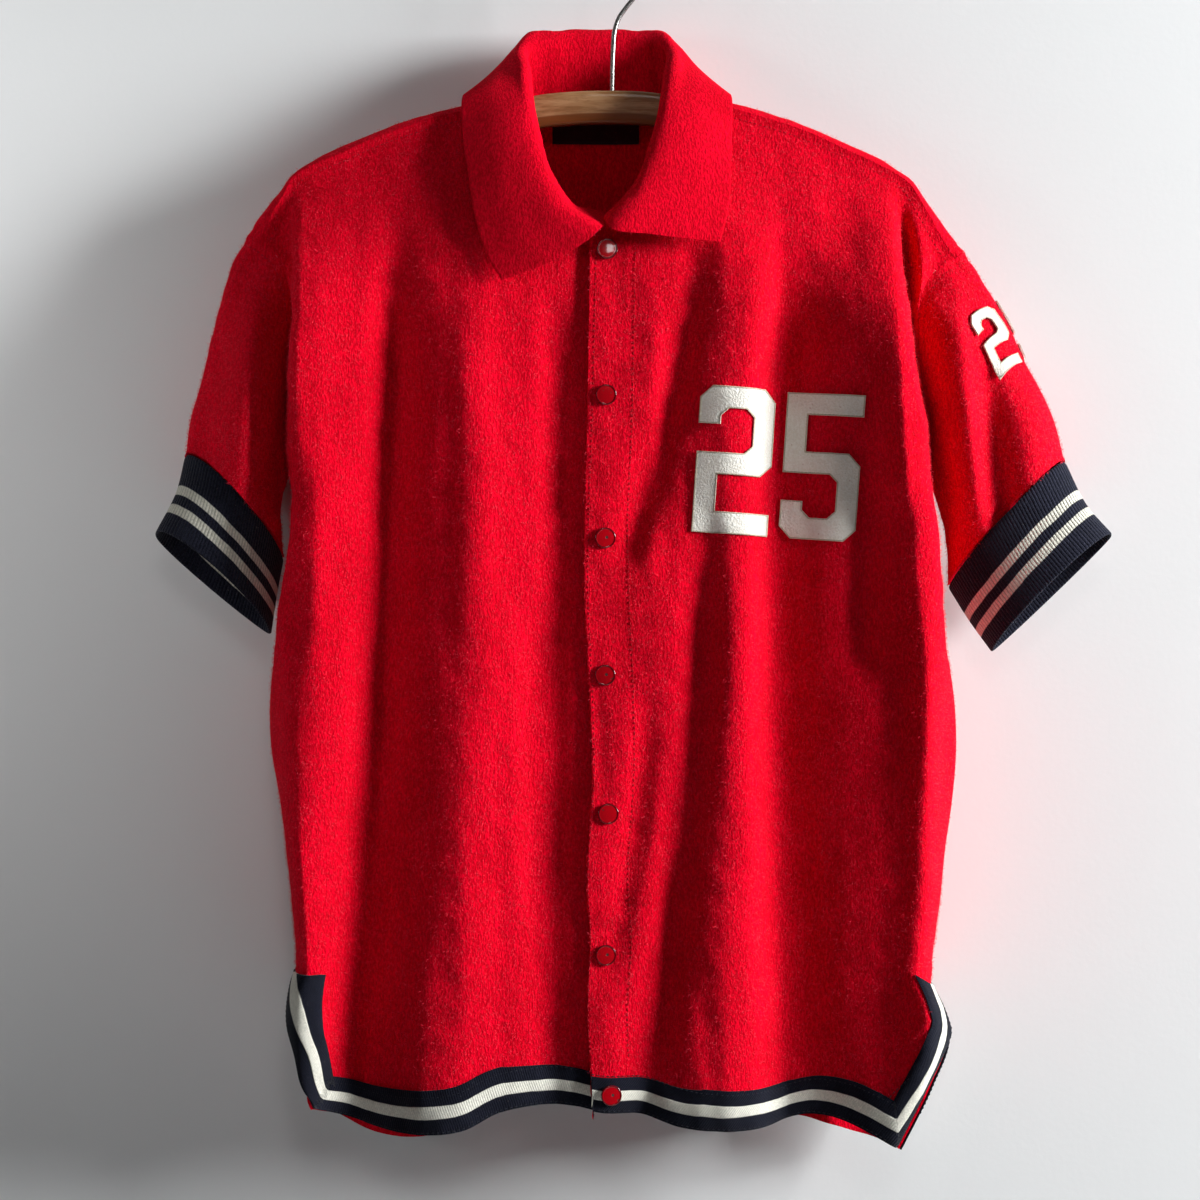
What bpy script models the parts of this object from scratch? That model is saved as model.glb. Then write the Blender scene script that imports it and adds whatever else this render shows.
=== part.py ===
"""Fleece warm-up jacket, short sleeved, hanging buttoned on a curved wooden hanger.

Tables and sizes are in millimetres: x runs to the wearer's left, y from the front to the
back, and drop is the distance below the inner top of the hanger's hook, which is the
origin. Objects are made in metres, +Z up, with the front facing -Y.
"""
import math
from collections import namedtuple

import bmesh
import bpy
import numpy as np
from mathutils import Vector
from mathutils.bvhtree import BVHTree

# ---------------------------------------------------------------- driving sizes (mm)
MM = 0.001
SEAM_GAP = 0.3
COLLAR_SET = 4.2
CUFF_SEAM_GAP = 1.7
FLEECE_THICK = 2.5
CUFF_THICK = 2.5
TAPE_THICK = 1.2
TAPE_WIDE = 29.0
FELT_THICK = 1.4
LABEL_THICK = 0.8
FRONT_DEPTH = 42.0
BACK_DEPTH = 32.0
RIDGE_HALF = 9.0
FRONT_FALL = 130.0
FOLD_FADE = 150.0
BACK_FALL = 110.0
NECK_CENTRE = -10.0
LAP_STEP = 5.5
LAP_STEP_HEM = 6.2
UNDER_EDGE_X = 15.0

SHOULDER_STEPS = (0, 0.03, 0.08, 0.14, 0.205, 0.27, 0.34, 0.41, 0.49, 0.57, 0.65, 0.74, 0.82, 0.91, 1)
NECK_COLUMNS = 7
WRAP_STEPS = (1.0, 0.5, 0.15, 0.0, -0.15, -0.5, -1.0)
RIDGE_STEP = 3
ARMHOLE_BACK_Y = 8.0
SLEEVE_FRONT = 24.0
SLEEVE_BACK = 22.0
ARMHOLE_ROWS = 8
FLANK_ROWS = 9
SLEEVE_RINGS = 10
CUFF_RINGS = 4
BACK_NECK_COLUMNS = 8
COLLAR_STEPS = np.array([0, 0.09, 0.18, 0.25, 0.31, 0.36, 0.41, 0.46, 0.52, 0.59, 0.66, 0.73, 0.79,
                         0.84, 0.89, 0.94, 1])
COLLAR_LEVELS = (0, 0.17, 0.33, 0.41, 0.455, 0.50, 0.58, 0.72, 0.86, 1)
COLLAR_FOLD_HALF = 4.2
COLLAR_FOLD_TUCK = 4.5
COLLAR_STAND_BOW = 0.8
COLLAR_FALL_BOW = 3.0
COLLAR_END_SET = 1.6
NECK_REACH = 75.0
FRONT_NECK_PUSH = 10.0
BACK_NECK_PUSH = 18.0
BACK_NECK_DROP = 110.0
HEM_TUCK = 3.0
LAP_CALM = 0.45
TIP_X = 250.0
TIP_SHARE = 0.35
TAPE_GAP = 0.3
TAPE_COLUMNS = 4
SLEEVE_BOW = 5.0
AHEAD = -200.0
EDGE_BEFORE = 7
EDGE_AFTER = 9

# ---------------------------------------------------------------- tables (mm)
RidgeRow = namedtuple("RidgeRow", "x drop seam")
EdgeRow = namedtuple("EdgeRow", "drop x y roll bulge")
PlainRow = namedtuple("PlainRow", "x drop")
GuideRow = namedtuple("GuideRow", "x y drop")
FoldRow = namedtuple("FoldRow", "top bottom x_top x_mid x_low wide_top wide_low lean deep")
CollarRow = namedtuple("CollarRow", "along fold_out fold_y fold_drop edge_out edge_y edge_drop facing sag")

# The shoulder ridge from one sleeve head to the other; seam is how far in front of it the seam runs.
RIDGE = [
    RidgeRow(-263.5, 206, 12), RidgeRow(-257, 193.7, 10), RidgeRow(-241.2, 175, 5),
    RidgeRow(-231.8, 161.3, 3.5), RidgeRow(-221, 153.4, 4.5), RidgeRow(-200.9, 143.3, 6),
    RidgeRow(-177.1, 132.5, 6), RidgeRow(-153.4, 123.8, 6), RidgeRow(-130.3, 116.6, 6),
    RidgeRow(-105.8, 110.9, 6), RidgeRow(-93, 108, 6), RidgeRow(-50, 104, 6), RidgeRow(-10, 103, 6),
    RidgeRow(40, 104, 6), RidgeRow(77, 107, 6), RidgeRow(110.9, 116.6, 6), RidgeRow(139.7, 126, 6),
    RidgeRow(168.5, 139, 6), RidgeRow(197.3, 152.6, 6), RidgeRow(215.3, 164.9, 5),
    RidgeRow(230.4, 186.5, 6), RidgeRow(244.1, 205.2, 9), RidgeRow(253, 217, 10),
]

# Hem of the fronts and of the back, from the wearer's right to the left.
FRONT_HEM = [
    PlainRow(-211.5, 827), PlainRow(-190, 835), PlainRow(-159, 843.7), PlainRow(-128, 845.2),
    PlainRow(-105.6, 842), PlainRow(-82, 831), PlainRow(-52, 826), PlainRow(-28.5, 826.7),
    PlainRow(-8.6, 831), PlainRow(19, 832.4), PlainRow(47, 840.8), PlainRow(76, 843.7),
    PlainRow(104.6, 842.3), PlainRow(142, 834.6), PlainRow(161, 837.3), PlainRow(180, 845.2),
    PlainRow(200, 856.5),
]
BACK_HEM = [
    PlainRow(-206, 838), PlainRow(-190, 848), PlainRow(-160, 857), PlainRow(-128, 857),
    PlainRow(-105, 850), PlainRow(-82, 838), PlainRow(-28, 834), PlainRow(18, 839),
    PlainRow(76, 852), PlainRow(142, 845), PlainRow(180, 856), PlainRow(208, 866),
]

# Free edge of the upper front, down the centre.
CENTRE_EDGE = [
    PlainRow(-16.5, 202.5), PlainRow(-18.5, 327), PlainRow(-20.5, 470), PlainRow(-17, 531),
    PlainRow(-15, 585), PlainRow(-18.5, 684), PlainRow(-16.5, 711), PlainRow(-18.5, 756),
    PlainRow(-14.2, 836),
]

# Large folds of the front. deep > 0 sinks the cloth, < 0 lifts it; lean > 0 makes the left flank longer.
FRONT_FOLDS = [
    FoldRow(120, 760, -212, -212, -208, 24, 22, 0.0, -8), FoldRow(160, 900, -154, -164, -174, 14, 26, -0.2, 16),
    FoldRow(190, 900, -104, -98, -108, 24, 30, 0.1, -10), FoldRow(190, 880, -35, -38, -40, 11, 17, 0.3, 9),
    FoldRow(425, 520, -222, -224, -226, 8, 8, 0.0, 5), FoldRow(180, 460, 66, 44, 0, 12, 13, 0.1, 9),
    FoldRow(170, 430, 90, 86, 82, 24, 20, 0.0, -5), FoldRow(165, 900, 124, 117, 138, 14, 18, -0.2, 16),
    FoldRow(300, 900, 180, 178, 174, 13, 17, 0.1, 10), FoldRow(430, 860, 152, 151, 156, 13, 17, 0.0, 6),
    FoldRow(360, 900, 68, 58, 18, 9, 22, 0.2, 10), FoldRow(370, 860, 88, 88, 92, 22, 26, 0.0, -8),
    FoldRow(500, 755, 27, 16, -8, 9, 11, 0.0, 5), FoldRow(220, 800, 203, 228, 214, 18, 18, 0.0, -6),
]
BACK_FOLDS = [
    FoldRow(180, 900, -170, -164, -150, 16, 26, 0.1, 11),
    FoldRow(230, 900, -96, -104, -92, 22, 30, 0.0, -8),
    FoldRow(170, 900, -44, -38, -52, 14, 24, -0.2, 9),
    FoldRow(260, 900, 14, 8, 10, 24, 30, 0.0, -7),
    FoldRow(200, 900, 70, 66, 76, 14, 24, 0.1, 10),
    FoldRow(210, 900, 118, 124, 118, 22, 26, 0.0, -7),
    FoldRow(180, 900, 172, 170, 158, 14, 22, -0.1, 11),
]

SideTables = namedtuple(
    "SideTables",
    "sign neck_x neck armhole flank vent back_vent underarm sleeve_top cuff_top cuff_in"
    " seam_lift collar sleeve_folds",
)

# Wearer's right, which is on the left of the front view.
RIGHT = SideTables(
    sign=-1,
    neck_x=-93,
    neck=[PlainRow(-93, 108), PlainRow(-86, 139), PlainRow(-69, 169), PlainRow(-43, 189),
          PlainRow(-6, 198)],
    armhole=[EdgeRow(223, -240, -12, 10, 0), EdgeRow(241, -233.3, -9, 9, 0),
             EdgeRow(266, -230.4, -5, 9, 0), EdgeRow(288, -230.4, -2, 9, 0),
             EdgeRow(324, -232.6, -1, 10, 0), EdgeRow(360, -234.4, 1, 12, 1),
             EdgeRow(378, -233, 4, 14, 3)],
    flank=[EdgeRow(378, -233, 4, 14, 3), EdgeRow(403, -228.5, 6, 17, 7),
           EdgeRow(438, -228.5, 7, 20, 10), EdgeRow(462, -233, 6, 22, 10),
           EdgeRow(490, -240, 3, 24, 8), EdgeRow(526, -246, 1, 27, 3),
           EdgeRow(569, -246.5, 0, 28, 0), EdgeRow(612, -239.8, 0, 28, 0),
           EdgeRow(648, -234.7, 0, 28, 0), EdgeRow(684, -230.4, 0, 26, 0),
           EdgeRow(720, -228.2, 0, 24, 0), EdgeRow(733, -227.5, 0, 24, 0)],
    vent=[EdgeRow(733, -227.5, 0, 24, 0), EdgeRow(743, -229.4, -3, 24, 0),
          EdgeRow(769, -229.6, -7, 24, 0), EdgeRow(789, -224, -11, 24, 0),
          EdgeRow(810, -219.5, -16, 24, 0), EdgeRow(827, -211.5, -20, 24, 0)],
    back_vent=[EdgeRow(733, -227.5, 0, 24, 0), EdgeRow(760, -226, 6, 24, 0),
               EdgeRow(800, -216, 12, 24, 0), EdgeRow(838, -206, 16, 24, 0)],
    underarm=[GuideRow(-233, 4, 378), GuideRow(-239, 9, 405), GuideRow(-238, 12, 437)],
    sleeve_top=[GuideRow(-263.5, 0, 206), GuideRow(-270.7, 0, 218.2), GuideRow(-280.1, 0, 243.4),
                GuideRow(-289.4, 0, 277.9), GuideRow(-297.4, 0, 312.5), GuideRow(-304.6, 0, 338.4),
                GuideRow(-308.2, 0, 367.2)],
    cuff_top=[GuideRow(-308.2, 0, 367.2), GuideRow(-314.6, 0, 393), GuideRow(-329.8, 0, 422.6)],
    cuff_in=[GuideRow(-238, 12, 437), GuideRow(-243, 12, 464), GuideRow(-247, 10, 492)],
    seam_lift=17,
    collar=[CollarRow(0.00, 0, 31, 54, 0, 34, 124, 90, 0),
            CollarRow(0.13, 26, 30, 54, 34, 33, 124, 95, 0),
            CollarRow(0.26, 51, 20, 58, 72, 24, 116, 120, 0),
            CollarRow(0.36, 58, 8, 70, 89, 10, 106, 158, 0),
            CollarRow(0.45, 55, -6, 84, 97, -7, 108, 184, 0),
            CollarRow(0.57, 52, -20, 107, 97, -19, 133, 212, 0),
            CollarRow(0.71, 45, -31, 137, 92, -31, 168, 234, 0),
            CollarRow(0.83, 34, -40, 168, 86, -41, 203, 247, 1),
            CollarRow(0.92, 22, -46, 187, 78, -46, 227, 256, 3),
            CollarRow(1.00, -2.5, -49, 200, 68, -49, 243, 264, 7)],
    sleeve_folds=[FoldRow(215, 420, -246, -250, -256, 14, 16, 0.0, -7),
                  FoldRow(200, 430, -272, -290, -298, 14, 14, 0.1, 7),
                  FoldRow(330, 460, -248, -244, -246, 12, 14, 0.0, 5)],
)

# Wearer's left, which is on the right of the front view.
LEFT = SideTables(
    sign=1,
    neck_x=77,
    neck=[PlainRow(77, 107), PlainRow(70, 139), PlainRow(52, 169), PlainRow(26, 190),
          PlainRow(-6, 200.5)],
    armhole=[EdgeRow(226, 238, -12, 10, 0), EdgeRow(236, 227.5, -10, 9, 0),
             EdgeRow(254, 220, -6, 9, 0), EdgeRow(280.8, 218.6, -2, 9, 0),
             EdgeRow(309.6, 221.5, -1, 9, 0), EdgeRow(342, 225.5, 1, 10, 0),
             EdgeRow(380, 227, 4, 14, 3)],
    flank=[EdgeRow(380, 227, 4, 14, 3), EdgeRow(403, 226, 6, 17, 8), EdgeRow(438, 231, 7, 20, 9),
           EdgeRow(468, 234, 6, 22, 9), EdgeRow(500, 239, 3, 24, 6), EdgeRow(526, 244, 1, 27, 3),
           EdgeRow(576, 247, 0, 28, 0), EdgeRow(612, 244.1, 0, 28, 0), EdgeRow(648, 239, 0, 28, 0),
           EdgeRow(684, 235.4, 0, 26, 0), EdgeRow(720, 230.4, 0, 24, 0),
           EdgeRow(744, 228.2, 0, 24, 0)],
    vent=[EdgeRow(744, 228.2, 0, 24, 0), EdgeRow(767, 238.5, -10, 24, 0),
          EdgeRow(777, 240.9, -14, 24, 0), EdgeRow(786, 237, -18, 24, 0),
          EdgeRow(827, 215.4, -28, 24, 0), EdgeRow(856.5, 200, -32, 24, 0)],
    back_vent=[EdgeRow(744, 228.2, 0, 24, 0), EdgeRow(783, 242, 4, 24, 0),
               EdgeRow(820, 230, 8, 24, 0), EdgeRow(866, 208, 12, 24, 0)],
    underarm=[GuideRow(227, 4, 380), GuideRow(238, 9, 415), GuideRow(242, 12, 458)],
    sleeve_top=[GuideRow(253, 0, 217), GuideRow(259.2, 0, 226.8), GuideRow(275, 0, 252),
                GuideRow(286.6, 0, 272.9), GuideRow(295.9, 0, 294.5), GuideRow(307.4, 0, 315.4),
                GuideRow(317.5, 0, 338.4), GuideRow(325.4, 0, 370)],
    cuff_top=[GuideRow(325.4, 0, 370), GuideRow(342, 0, 402.5), GuideRow(359.3, 0, 422)],
    cuff_in=[GuideRow(242, 12, 458), GuideRow(257, 12, 482), GuideRow(273.6, 10, 505.4)],
    seam_lift=13,
    collar=[CollarRow(0.00, 0, 31, 54, 0, 34, 124, 90, 0),
            CollarRow(0.13, 26, 30, 54, 34, 33, 124, 85, 0),
            CollarRow(0.26, 49, 20, 58, 70, 24, 116, 60, 0),
            CollarRow(0.36, 55, 8, 70, 87, 10, 106, 22, 0),
            CollarRow(0.45, 53, -6, 84, 94, -7, 108, -4, 0),
            CollarRow(0.57, 49, -20, 107, 94, -19, 133, -32, 0),
            CollarRow(0.71, 40, -32, 141, 93, -31, 160, -54, 0),
            CollarRow(0.83, 28, -41, 170, 92, -38, 184, -67, 0),
            CollarRow(0.92, 17, -46, 187, 89, -44, 201, -76, 1),
            CollarRow(1.00, 5, -49, 200.5, 85, -47, 216, -84, 2)],
    sleeve_folds=[FoldRow(225, 430, 238, 244, 256, 14, 15, 0.0, -6),
                  FoldRow(280, 440, 264, 268, 284, 11, 12, 0.1, 8),
                  FoldRow(300, 460, 296, 300, 306, 14, 14, 0.0, -4)],
)

HANGER_TOP = [
    PlainRow(-226, 163.5), PlainRow(-219, 158.7), PlainRow(-200.9, 148.8), PlainRow(-177.1, 137.8),
    PlainRow(-153.4, 129.1), PlainRow(-130.3, 122.4), PlainRow(-105.8, 118), PlainRow(-88, 116.4),
    PlainRow(-62, 106.6), PlainRow(-30, 102.4), PlainRow(-3, 101.6), PlainRow(25, 102.6),
    PlainRow(49, 106.6), PlainRow(75, 116.6), PlainRow(110.9, 122.6), PlainRow(139.7, 131.2),
    PlainRow(168.5, 144.2), PlainRow(197.3, 157.9), PlainRow(210, 167),
]
HANGER_THICK = 10.6
HANGER_HIGH = 24.0
HANGER_HIGH_TIP = 17.0
HOOK_WIRE = 3.4
HOOK_LOOP = 21.0
HOOK_LOOP_X = 0.7
HOOK_LOOP_DROP = HOOK_LOOP - HOOK_WIRE / 2
HOOK_SHANK = [GuideRow(-0.7, 0, 112), GuideRow(-0.7, 0, 92), GuideRow(0, 0, 72),
              GuideRow(1.2, 0, 58), GuideRow(4.2, 0, 49), GuideRow(9, 0, 42)]
HOOK_START = -48
HOOK_END = 200
HOOK_HOLE = 2.05

SNAP_RADIUS = 7.4
SNAP_HIGH = 2.0
SNAP_LIFT = 0.7
SNAPS = [PlainRow(-4.2, 217), PlainRow(-5, 322), PlainRow(-5.7, 424), PlainRow(-5.7, 521),
         PlainRow(-3.6, 619), PlainRow(-5.3, 719), PlainRow(-1.5, 818)]

LABEL_LEFT = -44.0
LABEL_RIGHT = 19.0
LABEL_TOP = 114.5
LABEL_BOTTOM = 136.5

FELT_LIFT = 2.2
CHEST_DIGIT_WIDE = 54.0
CHEST_DIGIT_HIGH = 104.0
CHEST_STROKE = 15.5
CHEST_DIGITS = [("chest_digit_a", 2, 85.5, 369.5, -4.0), ("chest_digit_b", 5, 148.0, 373.5, -4.0)]
SLEEVE_DIGIT_WIDE = 26.0
SLEEVE_DIGIT_HIGH = 48.0
SLEEVE_STROKE = 7.8
SLEEVE_DIGITS = [("sleeve_digit_a", 2, 0.39, 28.0, 1.1), ("sleeve_digit_b", 5, 0.39, -4.0, 2.7)]


# ---------------------------------------------------------------- curves and folds
def smooth_at(knots, values, wanted):
    """Values of the smooth curve through a table's rows at the wanted places."""
    knots = np.asarray(knots, float)
    values = np.asarray(values, float)
    wanted = np.clip(np.asarray(wanted, float), knots[0], knots[-1])
    slopes = np.gradient(values, knots, axis=0)
    cell = np.clip(np.searchsorted(knots, wanted, side="right") - 1, 0, len(knots) - 2)
    width = knots[cell + 1] - knots[cell]
    t = (wanted - knots[cell]) / width
    if values.ndim > 1:
        t = t[..., None]
        width = width[..., None]
    start, end = values[cell], values[cell + 1]
    lean_in, lean_out = slopes[cell] * width, slopes[cell + 1] * width
    return (start * (2 * t**3 - 3 * t**2 + 1) + lean_in * (t**3 - 2 * t**2 + t)
            + end * (3 * t**2 - 2 * t**3) + lean_out * (t**3 - t**2))


def spread(points, fractions):
    """Points at these fractions of the length of the smooth curve through the given ones."""
    points = np.asarray(points, float)
    steps = np.linalg.norm(np.diff(points[:, :3], axis=0), axis=1)
    reach = np.concatenate([[0.0], np.cumsum(steps)])
    return smooth_at(reach / reach[-1], points, fractions)


def ease(value):
    """0 below 0, 1 above 1 and an s-curve between."""
    value = np.clip(value, 0.0, 1.0)
    return value * value * (3 - 2 * value)


def roll(value):
    """Quarter of an ellipse: rises steeply from 0 and levels off at 1."""
    value = np.clip(value, 0.0, 1.0)
    return np.sqrt(1 - (1 - value) ** 2)


def ridge_drop(x):
    """Drop of the shoulder ridge at x."""
    return smooth_at([r.x for r in RIDGE], [r.drop for r in RIDGE], x)


def fold_field(folds, x, drop):
    """Sum of the soft troughs and ridges of a table, in mm towards the inside."""
    total = np.zeros(np.broadcast(x, drop).shape)
    for fold in folds:
        t = np.clip((drop - fold.top) / (fold.bottom - fold.top), 0.0, 1.0)
        middle = fold.x_mid * 2 - (fold.x_top + fold.x_low) / 2
        centre = fold.x_top * (1 - t) ** 2 + 2 * middle * t * (1 - t) + fold.x_low * t**2
        wide = fold.wide_top + (fold.wide_low - fold.wide_top) * t
        away = x - centre
        wide = wide * np.where(away < 0, 1 + fold.lean, 1 - fold.lean)
        fade = min(FOLD_FADE, 0.4 * (fold.bottom - fold.top))
        inside = ease((drop - fold.top) / fade) * ease((fold.bottom - drop) / 40.0)
        total = total + fold.deep * np.exp(-((away / wide) ** 2)) * inside
    return total


def neck_spread(x):
    """1 at the middle of the neck, fading to both sides."""
    return np.exp(-(((x - NECK_CENTRE) / NECK_REACH) ** 2))


def sleeve_head(x):
    """1 on the body, less outside the tips of the hanger, where the cloth hangs closer."""
    return TIP_SHARE + (1 - TIP_SHARE) * ease((TIP_X - np.abs(x + 4.0)) / 26.0)


def front_y(x, drop):
    """How far in front the fronts hang, as y in mm (negative)."""
    below = np.maximum(drop - ridge_drop(x), 0.0)
    fall = ease((below - 4) / FRONT_FALL)
    base = RIDGE_HALF * roll(below / RIDGE_HALF) + (FRONT_DEPTH - RIDGE_HALF) * fall * sleeve_head(x)
    base = base + FRONT_NECK_PUSH * neck_spread(x) * (1 - fall) * roll(below / RIDGE_HALF)
    base = base - HEM_TUCK * ease((drop - 700) / 150)
    calm = 1 - LAP_CALM * np.exp(-(((x + 3) / 20.0) ** 2))
    return -base + fold_field(FRONT_FOLDS, x, drop) * ease(below / 60) * calm


def back_y(x, drop):
    """How far behind the back hangs, as y in mm (positive)."""
    below = np.maximum(drop - ridge_drop(x), 0.0)
    fall = ease((below - 4) / BACK_FALL)
    base = RIDGE_HALF * roll(below / RIDGE_HALF) + (BACK_DEPTH - RIDGE_HALF) * fall * sleeve_head(x)
    base = base + BACK_NECK_PUSH * neck_spread(x) * (1 - fall) * roll(below / RIDGE_HALF)
    return base - fold_field(BACK_FOLDS, x, drop) * ease(below / 60)


# ---------------------------------------------------------------- seams and edges
def shoulder_lines(side):
    """Rows over the shoulder: seam in front, ridge and the mirrored row behind, with their normals."""
    rows = [r for r in RIDGE if side.sign * (r.x - side.neck_x) >= -0.01]
    rows.sort(key=lambda r: -side.sign * r.x)
    ridge = spread([(r.x, r.drop, r.seam) for r in rows], SHOULDER_STEPS)
    along = np.gradient(ridge[:, :2], axis=0)
    along /= np.linalg.norm(along, axis=1)[:, None]
    inward = np.stack([along[:, 1], -along[:, 0]], axis=1) * side.sign
    inward *= np.sign(inward[:, 1:2] + 1e-9)
    points, normals = [], []
    for part in WRAP_STEPS:
        away = np.minimum(ridge[:, 2], RIDGE_HALF) * abs(part)
        level = np.sqrt(away * (2 * RIDGE_HALF - away)) * (-1 if part > 0 else 1)
        spot = ridge[:, :2] + inward * ridge[:, 2:3] * abs(part)
        points.append(np.stack([spot[:, 0], level, spot[:, 1]], axis=1))
        up = -inward * (1 - away / RIDGE_HALF)[:, None]
        normals.append(np.stack([up[:, 0], level / RIDGE_HALF, up[:, 1]], axis=1))
    normals = np.array(normals)
    return np.array(points), normals / np.linalg.norm(normals, axis=-1, keepdims=True)


def armhole_front(side):
    """Edge rows of the armhole seam at the front, from the shoulder seam to the underarm."""
    first = shoulder_lines(side)[0][0, 0]
    rows = [EdgeRow(first[2], first[0], first[1], 10, 0)] + side.armhole
    return spread([(r.x, r.y, r.drop, r.roll, r.bulge) for r in rows],
                  np.linspace(0, 1, ARMHOLE_ROWS + 1))


def armhole_back(side):
    """The same seam at the back, from behind the ridge to the underarm."""
    first = shoulder_lines(side)[0][-1, 0]
    rows = [EdgeRow(first[2], first[0], -first[1], 10, 0)] + side.armhole[:-1]
    points = [(r.x, max(-r.y, ARMHOLE_BACK_Y), r.drop, r.roll, r.bulge) for r in rows]
    last = side.armhole[-1]
    points.append((last.x, last.y, last.drop, last.roll, last.bulge))
    return spread(points, np.linspace(0, 1, ARMHOLE_ROWS + 1))


def vent_steps(rows):
    """Fractions down a vent edge, with a row at the top of the hem tape."""
    points = np.array([(r.x, r.y, r.drop) for r in rows], float)
    length = np.linalg.norm(np.diff(points, axis=0), axis=1).sum()
    tape = 1 - TAPE_WIDE / length
    return [tape * 0.33, tape * 0.67, tape, (1 + tape) / 2, 1.0]


def outer_edge(side, back):
    """Edge rows (x, y, drop, roll, bulge) of a panel's outer edge, and the index where its vent starts."""
    arm = armhole_back(side) if back else armhole_front(side)
    vent_rows = side.back_vent if back else side.vent
    flank = spread([(r.x, r.y, r.drop, r.roll, r.bulge) for r in side.flank],
                   np.linspace(0, 1, FLANK_ROWS + 1))[1:]
    vent = spread([(r.x, r.y, r.drop, r.roll, r.bulge) for r in vent_rows], vent_steps(vent_rows))
    return np.concatenate([arm, flank, vent]), ARMHOLE_ROWS + FLANK_ROWS


# ---------------------------------------------------------------- panels
def patch(top, bottom, left, right, across, down):
    """Coons patch through four edges: x and drop of each grid point."""
    a = across[:, None, None]
    b = down[None, :, None]
    edges = (1 - b) * top[:, None, :] + b * bottom[:, None, :]
    edges = edges + (1 - a) * left[None, :, :] + a * right[None, :, :]
    corners = (1 - b) * ((1 - a) * top[0] + a * top[-1])
    corners = corners + b * ((1 - a) * bottom[0] + a * bottom[-1])
    return edges - corners


def draw_in(grid, seams=("first", "last", "start", "end"), gap=SEAM_GAP / 2):
    """Pulls the named borders of a grid in by half of the seam gap."""
    grid = grid.copy()
    for name, edge, inner in (("first", np.s_[0], np.s_[1]), ("last", np.s_[-1], np.s_[-2]),
                              ("start", np.s_[:, 0], np.s_[:, 1]), ("end", np.s_[:, -1], np.s_[:, -2])):
        if name in seams:
            step = grid[inner] - grid[edge]
            length = np.maximum(np.linalg.norm(step, axis=-1, keepdims=True), 1e-9)
            grid[edge] = grid[edge] + step * gap / length
    return grid


def front_grid(side):
    """Grid of the outer points of a front: columns from its side to the centre, rows down."""
    shoulder = shoulder_lines(side)[0][0]
    neck_rows = spread(side.neck, np.linspace(0, 1, NECK_COLUMNS + 1))
    neck_rows[0] = shoulder[-1][[0, 2]]
    if side.sign > 0:
        lap = [[CENTRE_EDGE[0].x, CENTRE_EDGE[0].drop]]
    else:
        lap = [[5.0, 198.0], [UNDER_EDGE_X, 198.0]]
    top = np.concatenate([shoulder[:, [0, 2]], neck_rows[1:], lap])
    edge, vent_start = outer_edge(side, back=False)
    down = (edge[:, 2] - edge[0, 2]) / (edge[-1, 2] - edge[0, 2])
    across = (top[:, 0] - top[0, 0]) / (top[-1, 0] - top[0, 0])
    if side.sign > 0:
        end_drop = CENTRE_EDGE[-1].drop
        drops = top[-1, 1] + down * (end_drop - top[-1, 1])
        centre = smooth_at([r.drop for r in CENTRE_EDGE], [r.x for r in CENTRE_EDGE], drops)
    else:
        end_drop = float(smooth_at([r.x for r in FRONT_HEM], [r.drop for r in FRONT_HEM], UNDER_EDGE_X))
        drops = top[-1, 1] + down * (end_drop - top[-1, 1])
        centre = np.full(len(drops), UNDER_EDGE_X)
    right = np.stack([centre, drops], axis=1)
    hem_x = edge[-1, 0] + across * (right[-1, 0] - edge[-1, 0])
    hem = smooth_at([r.x for r in FRONT_HEM], [r.drop for r in FRONT_HEM], hem_x)
    bottom = np.stack([hem_x, hem], axis=1)
    bottom[-1] = right[-1]
    flat = patch(top, bottom, edge[:, [0, 2]], right, across, down)
    x, drop = flat[..., 0], flat[..., 1]
    away = np.abs(x - x[:1]) / edge[:, 3]
    level = edge[:, 1] + (front_y(x, drop) - edge[:, 1]) * roll(away)
    level[:len(shoulder), 0] = shoulder[:, 1]
    if side.sign < 0:
        step = LAP_STEP + (LAP_STEP_HEM - LAP_STEP) * ease((drop - 770) / 25)
        level = level + step * ease((x + 36) / 15)
    x = x + side.sign * edge[:, 4] * np.sin(np.pi * np.clip(away * 1.1, 0, 1))
    return np.stack([x, level, drop], axis=-1), vent_start


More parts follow.
